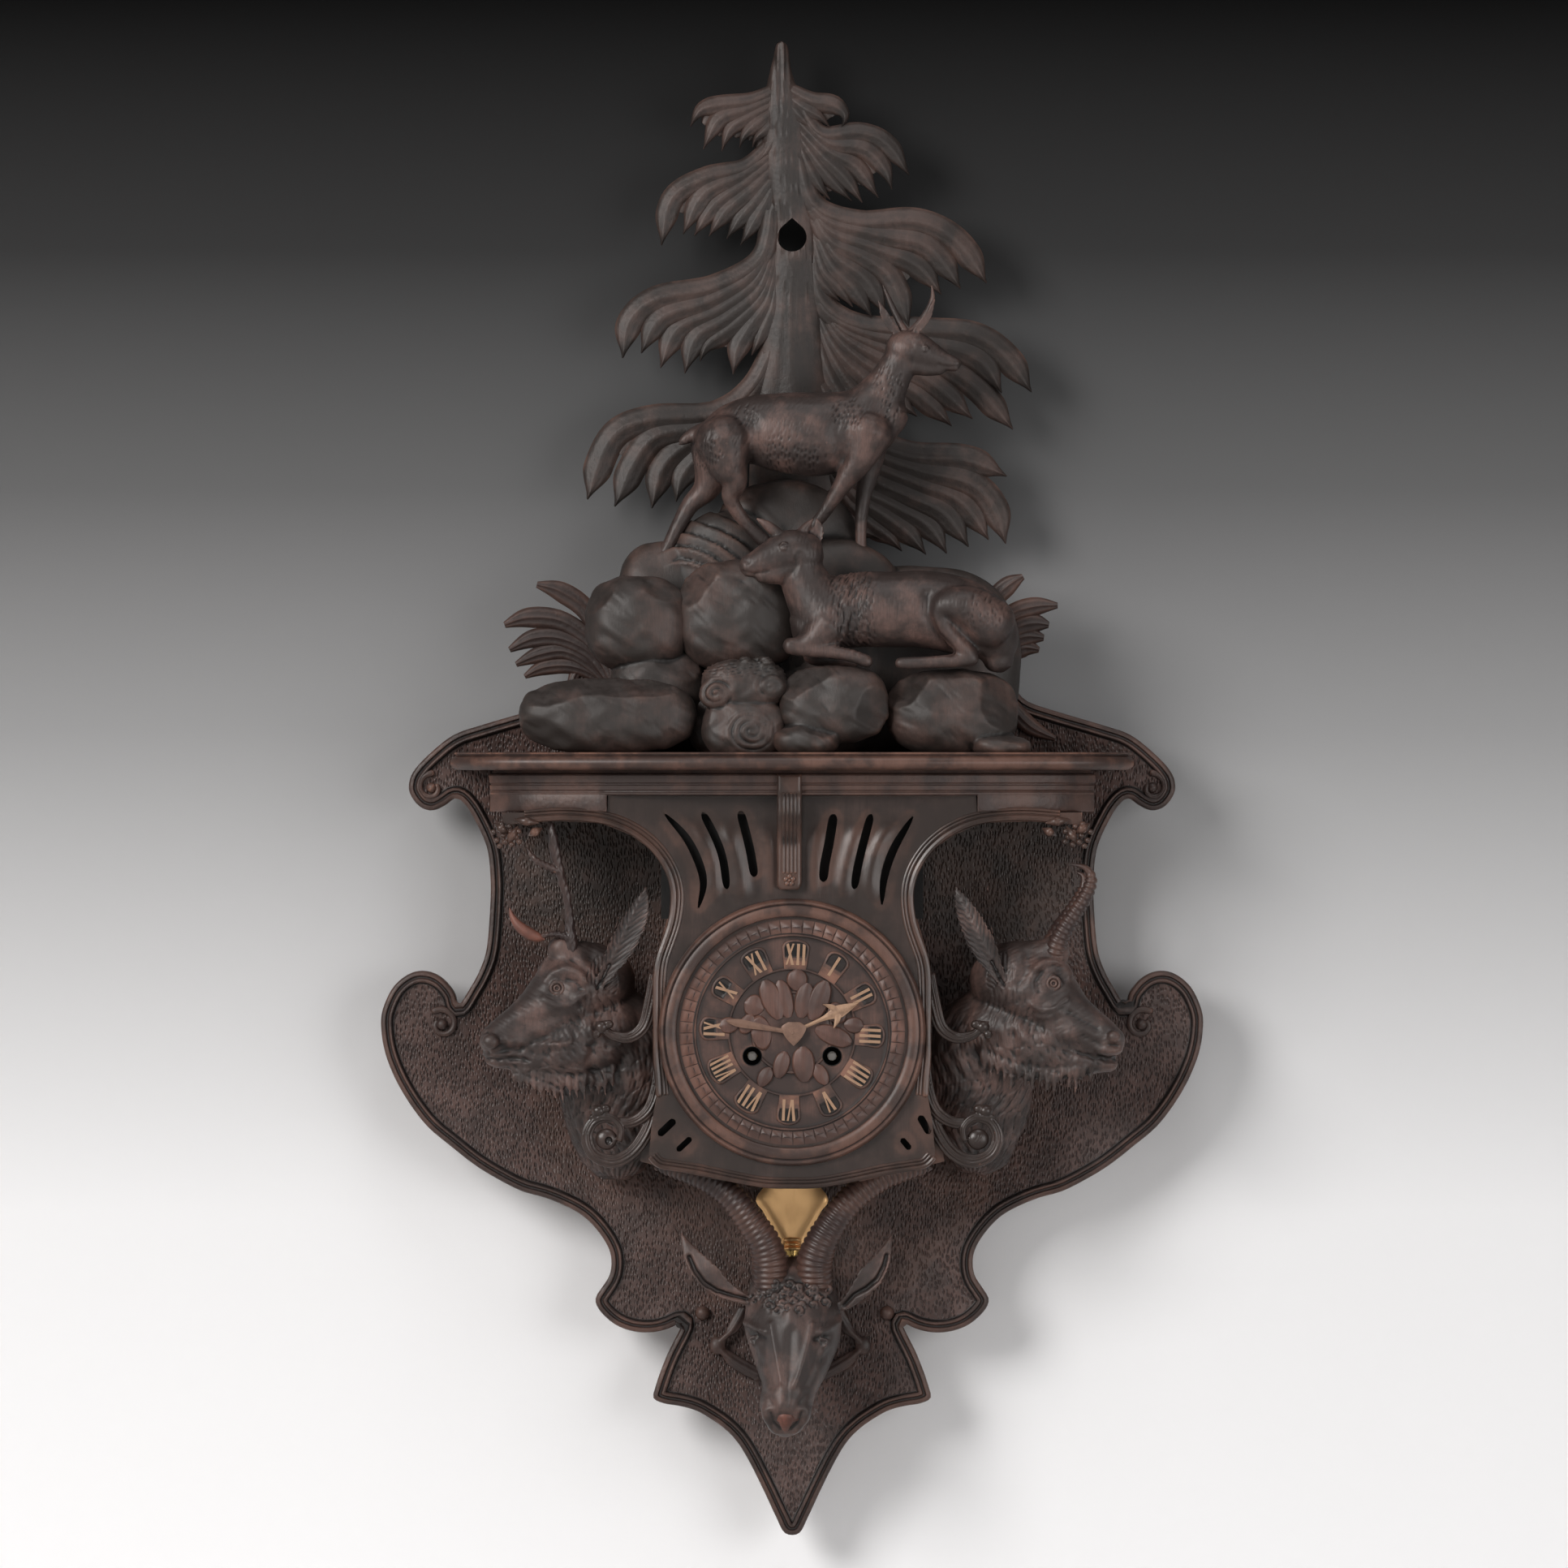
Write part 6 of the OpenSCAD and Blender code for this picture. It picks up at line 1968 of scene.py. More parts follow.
@dataclass
class Dial:
    """The wooden dial: bezel, minute blocks, numeral tablets, flower and hands."""

    tilt: float = 2.6
    numerals: float = 44.0
    widest: float = 12.4
    # How far the winding holes lie beside and below the middle.
    winding: Flat = (22.5, -13.5)
    words: Sequence[str] = ("XII", "I", "II", "III", "IIII", "V", "VI", "VII", "VIII", "IX", "X",
                            "XI")
    room: dict[str, float] = field(default_factory=lambda: {"I": 3.2, "V": 5.6, "X": 6.0})

    def about(self, degrees: float, radius: float, depth: float) -> Matrix:
        """Returns the place at a clock angle on the dial, with y pointing outward.

        Args:
            degrees: The angle, clockwise from twelve.
            radius: The distance from the middle.
            depth: The depth from the wall.

        Returns:
            The matrix of the place.
        """
        return (Matrix.Translation((DIAL_X, DIAL_Y, depth))
                @ Matrix.Rotation(math.radians(-degrees - self.tilt), 4, "Z")
                @ Matrix.Translation((0, radius, 0)))

    def build(self, shop: Workshop) -> None:
        """Carves and dresses the dial.

        Args:
            shop: The workshop, with its finishes.
        """
        self.bezel(shop)
        self.face(shop)
        self.tablets(shop)
        self.strokes(shop)
        self.hands(shop)

    def bezel(self, shop: Workshop) -> None:
        """Turns the moulded bezel.

        Args:
            shop: The workshop, with its finishes.
        """
        block = Carver()
        d = CASE_D
        profile = [(64.0, -0.8), (64.0, -0.5), (65.2, -0.5), (65.3, 2.6), (65.6, 3.6), (66.4, 4.2),
                   (68.4, 4.6), (70.4, 4.4), (71.4, 4.0), (71.7, 3.4), (72.0, 3.4), (72.3, 4.0),
                   (73.0, 4.5), (73.9, 4.4), (74.7, 3.6), (75.2, 2.4), (75.4, 1.0), (75.4, -0.8)]
        block.turned(profile, (DIAL_X, DIAL_Y, d), steps=180)
        block.done("turned_bezel", shop[Finish.DIAL], instead=["bezel"], slot="dial_wood",
                   crease=34.0)

    def face(self, shop: Workshop) -> None:
        """Turns the face with its rings, and sets the minute blocks on it.

        Args:
            shop: The workshop, with its finishes.
        """
        block = Carver()
        d = CASE_D - 4.0
        profile = [(0.0, 0.0), *((r, 4.1) for r in np.arange(0.0, 21.1, 1.5)), (21.6, 3.8),
                   (22.2, 4.3),
                   (23.0, 4.3), (23.6, 3.6), *((r, 3.4) for r in np.arange(25.0, 34.1, 1.5)),
                   (34.9, 3.5),
                   (35.4, 4.0), (36.2, 4.0), (36.7, 3.5),
                   *((r, 3.4) for r in np.arange(38.2, 53.4, 1.5)),
                   (54.0, 3.6), (54.4, 4.1), (55.2, 4.1), (55.6, 3.5),
                   *((r, 3.2) for r in (57, 59, 61, 63)),
                   (65.2, 3.2), (65.2, 0.0)]
        block.turned([(float(r), h) for r, h in profile], (DIAL_X, DIAL_Y, d), steps=150)
        tool = Carver()
        side, below = self.winding
        for x, y, radius, steps in ((-side, below, 5.6, 40), (side, below, 5.6, 40),
                                    (0.0, 0.0, 3.4, 32)):
            bmesh.ops.create_cone(tool.bm, cap_ends=True, segments=steps, radius1=radius,
                                  radius2=radius, depth=30,
                                  matrix=Matrix.Translation((x, DIAL_Y + y, d)))
        block.cut(tool)
        block.done("dial_face", shop[Finish.DIAL], instead=["dial"], slot="dial_wood", crease=32.0)
        blocks = Carver()
        for k in range(60):
            shape = Carver()
            shape.board([(-2.75, -3.8), (2.75, -3.8), (3.1, 3.7), (-3.1, 3.7)], 0.0, 0.5,
                        [(0.25, 0.3), (0.4, 0.2), (0.8, 0.12)])
            blocks.take(shape, self.about(k * 6, 59.9, d + 3.1))
        blocks.done("minute_blocks", shop[Finish.BLOCKS], slot="dial_wood", crease=30.0)
        # Black cups of painted shade inside the winding holes.
        cups = Carver()
        for x in (-side, side):
            cups.turned([(2.75, -9.0), (2.75, -8.0), (5.2, -8.0), (5.2, 3.9), (5.58, 3.9),
                         (5.58, -9.0)], (x, DIAL_Y + below, d), steps=40)
        cups.done("winding_hole_shade", shop[Finish.SHADE], crease=30.0)
        self.flower(shop)

    def flower(self, shop: Workshop) -> None:
        """Carves the flower and leaves in the middle of the dial.

        Args:
            shop: The workshop, with its finishes.
        """
        block = Carver()
        petals = (
            ((2.8, -422.3), 13, 13, 0, 0.0), ((-4.6, -432.9), 11, 24, 14, 0.4),
            ((6.9, -433.8), 12, 22, -12, 0.5),
            ((-11.5, -433.3), 13, 26, 22, 0.8), ((15.2, -433.8), 13, 26, -20, 0.9),
            ((-21.6, -437.0), 14, 12, 70, 0.2),
            ((-17.5, -452.2), 22, 12, 100, 0.5), ((-25.3, -447.1), 14, 9, 60, 0.3),
            ((-6.0, -470.1), 10, 17, -16, 0.3),
            ((6.4, -469.7), 14, 22, 4, 0.7), ((23.5, -454.0), 12, 24, -112, 0.6),
            ((25.3, -441.1), 14, 11, -60, 0.2),
            ((35.0, -448.0), 10, 12, -95, 0.1), ((-35.9, -448.0), 10, 12, 95, 0.1),
            ((16.1, -475.6), 9, 14, 30, 0.1),
            ((-15.2, -477.0), 9, 13, -30, 0.1),
        )
        for (x, y), wide, tall, lean, lift in petals:
            w, h = wide * 0.46, tall * 0.46
            rows = [(0, -h, 0.0, w * 0.35), (0, -h * 0.6, 0.5, w * 0.8), (0, 0, 0.9, w),
                    (0, h * 0.6, 0.6, w * 0.82), (0, h * 0.95, 0.0, w * 0.3)]
            leaf = Carver()
            leaf.blade(rows, thick=1.5, across=9, per_span=5, ridge=0.02, ribs=1)
            block.take(leaf, Matrix.Translation((x, y, CASE_D - 0.1 + lift * 0.8))
                       @ Matrix.Rotation(math.radians(lean), 4, "Z"))
        block.done("dial_flower", shop[Finish.BLOCKS], slot="dial_wood", crease=ROUNDED)

    def tablets(self, shop: Workshop) -> None:
        """Cuts the raised tablets under the numerals, and lays a black ground of painted shade
        between the strokes.

        Args:
            shop: The workshop, with its finishes.
        """
        block, dark = Carver(), Carver()
        for k in range(12):
            wide = 7.8 if k in (7, 8, 11, 0) else 6.8
            arch = [(wide * math.cos(a), 4.0 + 4.4 * math.sin(a))
                    for a in np.linspace(0, math.pi, 12)]
            shape = Carver()
            shape.board([(-wide * 0.8, -8.4), (wide * 0.8, -8.4), *arch], 0.0, 0.8,
                        [(0.25, 0.5), (0.5, 0.15), (0.6, 0.0), (0.4, -0.45)])
            block.take(shape, self.about(k * 30, self.numerals, CASE_D - 0.75))
            # A black board of painted shade behind the strokes of each numeral.
            half = self.width(k) / 2 - 0.25
            back = Carver()
            back.board([(-half, -5.6), (half, -5.6), (half, 5.6), (-half, 5.6)], 0.0, 0.12)
            dark.take(back, self.about(k * 30, self.numerals, CASE_D + 0.18))
        block.done("numeral_tablets", shop[Finish.DIAL], slot="dial_wood", crease=30.0)
        dark.done("numeral_shade_grounds", shop[Finish.SHADE])

    def width(self, hour: int) -> float:
        """Returns the breadth of an hour's numeral."""
        return min(self.widest, sum(self.room[c] for c in self.words[hour]))

    def strokes(self, shop: Workshop) -> None:
        """Lays the pale strokes of the numerals.

        Args:
            shop: The workshop, with its finishes.
        """
        half = 6.0
        block = Carver()

        def stroke(where: Matrix, x0: float, x1: float, wide: float, lift: float = 0.0) -> None:
            """Lays one stroke from the foot at x0 to the head at x1.

            Args:
                where: The place of the numeral.
                x0: The middle of the foot.
                x1: The middle of the head.
                wide: Half the breadth.
                lift: The extra height that keeps crossed strokes apart.
            """
            shape = Carver()
            shape.board([(x0 - wide, -half), (x0 + wide, -half), (x1 + wide, half),
                         (x1 - wide, half)],
                        0.0, 0.35 + lift, [(0.25, 0.2)])
            block.take(shape, where)

        for k, word in enumerate(self.words):
            scale = self.width(k) / sum(self.room[c] for c in word)
            x = -self.width(k) / 2
            where = self.about(k * 30, self.numerals, CASE_D + 0.22)
            for c in word:
                w = self.room[c] * scale
                mid = x + w / 2
                if c == "I":
                    stroke(where, mid, mid, 0.85 * scale)
                elif c == "V":
                    stroke(where, mid - 0.2, mid - w * 0.30, 0.85 * scale, 0.05)
                    stroke(where, mid + 0.2, mid + w * 0.32, 0.55 * scale)
                else:
                    stroke(where, mid + w * 0.29, mid - w * 0.29, 0.85 * scale, 0.05)
                    stroke(where, mid - w * 0.29, mid + w * 0.29, 0.55 * scale)
                x += w
        block.done("numeral_strokes", shop[Finish.GILT], instead=["numerals"], slot="gilt",
                   crease=30.0)

    def hands(self, shop: Workshop) -> None:
        """Carves the leaf hands and their collets.

        Args:
            shop: The workshop, with its finishes.
        """

        def swung(block: Carver, angle: float) -> None:
            """Turns a hand drawn upward to its clock angle about the dial's middle."""
            block.moved(Matrix.Translation((DIAL_X, DIAL_Y, 0))
                        @ Matrix.Rotation(math.radians(-angle), 4, "Z"))

        hour = Carver()
        d = 97.0
        hour.blade([(0, 3.0, d, 1.0), (0, 12, d, 1.0), (0, 19, d, 1.3), (0, 24, d, 2.4),
                    (0, 28, d, 3.6),
                    (0, 32, d, 3.0), (0, 37, d, 1.5), (0, 41, d, 0.15)], thick=0.95, across=8,
                    per_span=5,
                   ridge=0.06, ribs=1)
        for side in (-1, 1):
            hour.blade([(side * 1.0, 27.5, d, 1.9), (side * 3.4, 26.5, d, 1.7),
                        (side * 5.8, 24.2, d, 0.9),
                        (side * 7.4, 22.2, d, 0.1)], thick=0.8, across=6, per_span=4, ridge=0.05)
        hour.turned([(2.75, -0.4), (2.75, 0.4), (4.3, 0.4), (4.6, 0.0), (4.3, -0.4)], (0, 0, d),
                    steps=40)
        swung(hour, 66.0)
        hour.done("leaf_hour_hand", shop[Finish.GILT], body="hour", instead=["hour_hand"],
                  slot="gilt")
        minute = Carver()
        d = 98.6
        minute.blade([(0, 2.6, d, 1.2), (0, 12, d, 1.3), (0, 22, d, 1.9), (0, 30, d, 2.3),
                      (0, 35, d, 1.4),
                      (0, 38, d, 0.12)], thick=0.75, across=8, per_span=5, ridge=0.05, ribs=1)
        minute.turned([(0.0, -0.38), (0.0, 1.0), (1.0, 1.0), (1.5, 0.6), (2.9, 0.45), (3.4, 0.0),
                       (3.2, -0.38)], (0, 0, d), steps=40)
        swung(minute, 280.0)
        minute.blade([(0.9, -446.2, d + 0.1, 3.4), (0.9, -449.0, d + 0.3, 7.0),
                      (0.9, -453.1, d + 0.3, 5.6),
                      (0.9, -456.8, d, 3.0), (0.9, -459.5, d - 0.1, 0.3)], thick=0.8, across=10,
                      per_span=5,
                     ridge=0.03)
        minute.done("leaf_minute_hand", shop[Finish.HAND], body="minute_hand",
                    instead=["minute_hand"],
                    slot="gilt")


def ringed(block: Carver, stations: Sequence[Sequence[float]], pitch: float, height: float,
           around: int = 18, ends: float = 0.85) -> None:
    """Carves a horn with growth rings.

    Args:
        block: The block to carve in.
        stations: Rows of x, y, depth and radius, from the foot to the tip.
        pitch: The distance between rings.
        height: How far a ring stands out.
        around: The faces around the horn.
        ends: The share of the length that has rings.
    """
    run = evenly(spline([list(s)[:4] for s in stations], 8), pitch / 5)
    rows = []
    for k, (x, y, d, r) in enumerate(run):
        t = k / (len(run) - 1)
        swell = height * abs(math.sin(k * math.pi / 5)) * (1 - smooth_one(ends - 0.12, ends, t))
        rows.append((x, y, d, max(0.12, r - height * 0.5 + swell), 1.0))
    block.limb(rows, around=around, per_span=1)


def scattered(i: np.ndarray, j: np.ndarray, seed: float) -> np.ndarray:
    """Returns a steady random number from 0 to 1 for each pair of whole numbers."""
    value = np.sin(i * 127.1 + j * 311.7 + seed * 74.7) * 43758.5453
    return value - np.floor(value)


def nicks(s: np.ndarray, q: np.ndarray, length: float, pitch: float, seed: float,
          share: float = 0.8) -> np.ndarray:
    """Returns short gouge cuts, 1 in the middle of a cut.

    Args:
        s: The place along the hair, in millimetres.
        q: The place across it.
        length: The length of a cut.
        pitch: The distance between cuts side by side.
        seed: Sets which cuts there are.
        share: The share of the places that have a cut.

    Returns:
        The cuts.
    """
    lane = np.floor(q / pitch)
    shift = scattered(lane, lane * 0 + 3.0, seed)
    row = np.floor(s / length + shift)
    u = s / length + shift - row
    drift = (scattered(row, lane, seed + 1) - 0.5) * 0.4
    v = q / pitch - lane - 0.5 - drift
    there = scattered(row, lane, seed + 2) < share
    return there * np.exp(-(v / 0.24) ** 2) * np.sin(np.pi * u) ** 0.8


def locks(s: np.ndarray, q: np.ndarray, length: float, pitch: float, seed: float) -> np.ndarray:
    """Returns overlapping locks of hair, from 0 in the gaps to 1 at a lock's tip.

    Args:
        s: The place along the hair, in millimetres.
        q: The place across it.
        length: The length of a lock.
        pitch: Its breadth.
        seed: Sets how the locks vary.

    Returns:
        The height.
    """
    bent = q + 0.30 * pitch * np.sin(s * 0.9 / length * np.pi + seed)
    row = np.floor(s / length + 0.25 * np.sin(bent / pitch * 1.3 + seed))
    u = s / length + 0.25 * np.sin(bent / pitch * 1.3 + seed) - row
    lane = bent / pitch + 0.5 * (row % 2)
    v = lane - np.floor(lane) - 0.5
    tip = np.clip(1.0 - (np.abs(v) * 2.0) ** 1.6 - np.clip(u - 0.6, 0, 1) * 1.2, 0, 1)
    strand = 0.5 + 0.5 * np.cos(v * math.tau * 2.5)
    return tip * (0.55 + 0.45 * u) * (0.78 + 0.22 * strand)


def skin(block: Carver, x: float, y: float) -> tuple[Vector, Vector]:
    """Returns the place and the normal of the block's front at a place in the elevation.

    Args:
        block: The block.
        x: The place to the right.
        y: The place upward.

    Returns:
        The place and the normal, or a place on the wall where the block isn't met.
    """
    tree = BVHTree.FromBMesh(block.bm)
    spot, way, _, _ = tree.ray_cast(Vector((x, y, RAY_FROM)), Vector((0, 0, -1)))
    return (spot, way) if spot is not None else (Vector((x, y, 0.0)), Vector((0, 0, 1)))


def skin_at(block: Carver, x: float, y: float) -> float:
    """Returns the depth of the block's front at a place in the elevation."""
    return skin(block, x, y)[0].z


def eye(block: Carver, x: float, y: float, size: float, lean: float = 0.0, out: float = 0.0,
        cushion: float = 0.0) -> None:
    """Sets an eye with its lids on the front of a block.

    Args:
        block: The block to carve in.
        x: The place across.
        y: The height.
        size: The half breadth of the eye.
        lean: The slant of the lids, in degrees.
        out: How far the eyeball turns to the right, from -1 to 1.
        cushion: How far the eye sinks.
    """
    d = skin_at(block, x, y) - cushion
    block.ball((x, y, d - size * 0.35), (size * 0.82, size * 0.78, size * 0.75), around=18)
    for way, lift in ((1, 1.0), (-1, 0.8)):
        rows = []
        for k in range(7):
            t = k / 6
            a = math.radians(lean)
            ex = (t - 0.5) * 2.5 * size
            ey = way * size * 0.86 * lift * math.sin(t * math.pi)
            rows.append((x + ex * math.cos(a) - ey * math.sin(a),
                         y + ex * math.sin(a) + ey * math.cos(a),
                         d + size * (0.12 + 0.28 * math.sin(t * math.pi))
                         - abs(t - 0.5) * size * 0.5 + out * ex * 0.4,
                         size * (0.16 + 0.16 * math.sin(t * math.pi))))
        block.limb(rows, around=8, per_span=2)


def ear(block: Carver, run: Sequence[Sequence[float]], thick: float = 2.6,
        cup: float = -0.5) -> None:
    """Carves a cupped ear along rows of x, y, depth and half breadth."""
    block.blade(run, thick=thick, across=10, per_span=6, ridge=cup, ribs=1)


def set_eye(block: Carver, x: float, y: float, size: float) -> None:
    """Sets a ringed eye with a drilled pupil square on the skin, after the last fusing.

    Args:
        block: The block.
        x: The place to the right.
        y: The place upward.
        size: The radius of the eye.
    """
    spot, way = skin(block, x, y)
    k = size / 4.2
    axis = (way + Vector((0, 0, 0.6))).normalized()
    for rows in (((2.55, -2.5), (2.55, 0.5), (2.9, 1.0), (3.5, 1.1), (4.1, 0.6), (4.3, -2.5)),
                 ((0.85, -2.5), (0.85, 0.5), (1.2, 1.2), (1.8, 1.1), (2.2, 0.4), (2.25, -2.5))):
        block.turned([(r * k, h * k) for r, h in rows], tuple(spot), steps=28, axis=tuple(axis))


@dataclass
class SideHead:
    """A carved head in profile beside the case."""

    name: str
    node: str
    side: int
    core: Sequence[Sequence[float]]
    jaw: Sequence[Sequence[float]]
    neck: Sequence[Sequence[float]]
    throat: Sequence[Sequence[float]]
    brow: Sequence[Sequence[float]]
    eye_at: tuple[float, float]
    muscles: Sequence[tuple[Sequence[Flat], float, float]]
    cheek: Sequence[Flat]
    near_ear: Sequence[Sequence[float]]
    far_ear: Sequence[Sequence[float]]
    beard: Sequence[Flat]
    nose: Point

    def build(self, shop: Workshop) -> None:
        """Carves and dresses the head.

        Args:
            shop: The workshop, with its finishes.
        """
        block = Carver()
        for run in (self.core, self.jaw, self.neck, self.throat, self.brow):
            block.limb(run, around=24, per_span=6, flat=0.8)
        block.fused(1.3, 7, 0.5)
        ex, ey = self.eye_at

        def forms(p: np.ndarray, n: np.ndarray) -> np.ndarray:
            """Returns the bones and folds of the face.

            Args:
                p: The places on the skin, one row each.
                n: The normal of the skin at each place.

            Returns:
                How far each place moves outward, in millimetres.
            """
            facing = smoothstep(-0.1, 0.4, n[:, 2])
            q = np.hypot(p[:, 0] - ex, (p[:, 1] - ey) * 1.1)
            return (raised(p, self.muscles) - 2.2 * np.exp(-(q / 6.2) ** 2)) * facing

        block.pressed(forms)
        eye(block, ex, ey, 4.2, lean=-14.0 * self.side, out=0.2 * self.side, cushion=0.6)
        ear(block, self.near_ear)
        ear(block, self.far_ear, thick=2.4, cup=-0.1)
        x, y, r = self.nose
        block.ball((x, y, skin_at(block, x, y) - 0.3 * r), (r, r * 0.9, r * 0.8), around=24)
        for k, (x, y) in enumerate(evenly(spline(self.beard, 5), 4.0)):
            d = max(skin_at(block, x, y + 8.0), 66.0)
            long = 7.0 + 2.6 * math.sin(k * 2.1)
            block.limb([(x, y + 8.0, d - 4.0, 3.4), (x - 0.5 * self.side, y + 2.5, d - 2.6, 2.5),
                        (x - 1.4 * self.side, y - long, d - 2.4, 0.4)], around=9, per_span=4)
        block.fused(0.78, 1, 0.45)
        foot, tip = (np.array(self.neck[k][:3]) for k in (0, -1))
        axis = (tip - foot) / np.linalg.norm(tip - foot)
        across = np.array([-axis[1], axis[0], 0.0])
        line = np.array([row[:2] for row in self.near_ear])
        along = (line[-1] - line[0]) / np.linalg.norm(line[-1] - line[0])

        def fur(p: np.ndarray, n: np.ndarray) -> np.ndarray:
            """Returns the hair of neck, cheek and beard, and the veins of the ear.

            Args:
                p: The places on the skin, one row each.
                n: The normal of the skin at each place; not used.

            Returns:
                How far each place moves outward, in millimetres.
            """
            s = (p - foot) @ axis
            q = np.arctan2((p - foot) @ across, np.abs(p[:, 2] - 40) + 8.0) * 26.0 + p[:, 2] * 0.12
            bend = 2.4 * np.sin(s * 0.11 + q * 0.06)
            body = smoothstep(4.0, 16.0, s)
            out = body * (-0.55 * nicks(s, q + bend, 5.5, 1.7, 1.0, 0.8)
                          + 1.3 * (locks(s, q + bend, 15.0, 5.2, 2.0) - 0.45))
            jowl = smoothstep(17.0, 9.0, near_line(p, self.cheek)) * (1 - 0.7 * body)
            down = -p[:, 1] * 0.94 - p[:, 0] * 0.30 * self.side
            over = p[:, 0] * 0.94 - p[:, 1] * 0.30 * self.side + p[:, 2] * 0.35 \
                + 1.5 * np.sin(p[:, 1] * 0.22)
            out += jowl * (0.75 * (locks(down, over, 11.0, 4.0, 5.0) - 0.45)
                           - 0.35 * nicks(down, over, 5.0, 1.4, 4.0, 0.6))
            rest = (1 - body) * (1 - jowl)
            out -= rest * 0.22 * nicks(p[:, 0] * self.side * -0.8 - p[:, 1] * 0.5,
                                       p[:, 1] * 0.85 - p[:, 0] * 0.4 * self.side,
                                       6.0, 1.9, 7.0, 0.6)
            flat = (p[:, :2] - line[0]) @ along
            beside_ear = (p[:, :2] - line[0]) @ np.array([-along[1], along[0]])
            here = (near_line(p, [tuple(row) for row in line]) < 10.0) \
                * (p[:, 2] > 76) * (flat > 3.0)
            vein = np.cos(np.abs(beside_ear) * 2.5 - flat * 1.35
                          + 0.8 * np.sin(flat * 0.5 + beside_ear))
            out = np.where(here, -0.6 * (0.5 + 0.5 * vein) + 0.5 * np.exp(-(beside_ear / 0.8) ** 2),
                           out)
            slit = [tuple(line[0] + along * 2.0), tuple(line[0] + along * 17.0)]
            out -= 2.4 * np.exp(-(near_line(p, slit) / 0.75) ** 2) * (p[:, 2] > 70)
            return out

        block.pressed(fur)
        set_eye(block, ex, ey, 4.3)
        block.done(self.name, shop[Finish.FUR], instead=[self.node], slot="carved_wood",
                   crease=ROUNDED)


@dataclass
class SideHorns:
    """The horns of a side head."""

    name: str
    node: str
    ringed_runs: Sequence[tuple[float, float, Sequence[Sequence[float]]]] = ()
    plain_runs: Sequence[Sequence[Sequence[float]]] = ()
    rubbed_run: Sequence[Sequence[float]] = ()

    def build(self, shop: Workshop) -> None:
        """Carves and dresses the horns.

        Args:
            shop: The workshop, with its finishes.
        """
        block = Carver()
        for pitch, height, run in self.ringed_runs:
            ringed(block, run, pitch, height)
        for run in self.plain_runs:
            block.limb(run, around=16, per_span=7)
        if self.plain_runs:
            block.fused(0.5, 2, 0.5)
            block.pressed(lambda p, n: 0.22 * np.sin(p[:, 0] * 2.3 + np.sin(p[:, 1] * 0.4))
                          * np.sin(p[:, 1] * 0.7 + p[:, 0] * 0.3))
        block.done(self.name, shop[Finish.HORN], instead=[self.node], slot="carved_wood",
                   crease=ROUNDED)
        if self.rubbed_run:
            tine = Carver()
            tine.limb(self.rubbed_run, around=18, per_span=7)
            tine.done(self.name + "_brow_tine", shop[Finish.RUBBED], slot="carved_wood",
                      crease=ROUNDED)


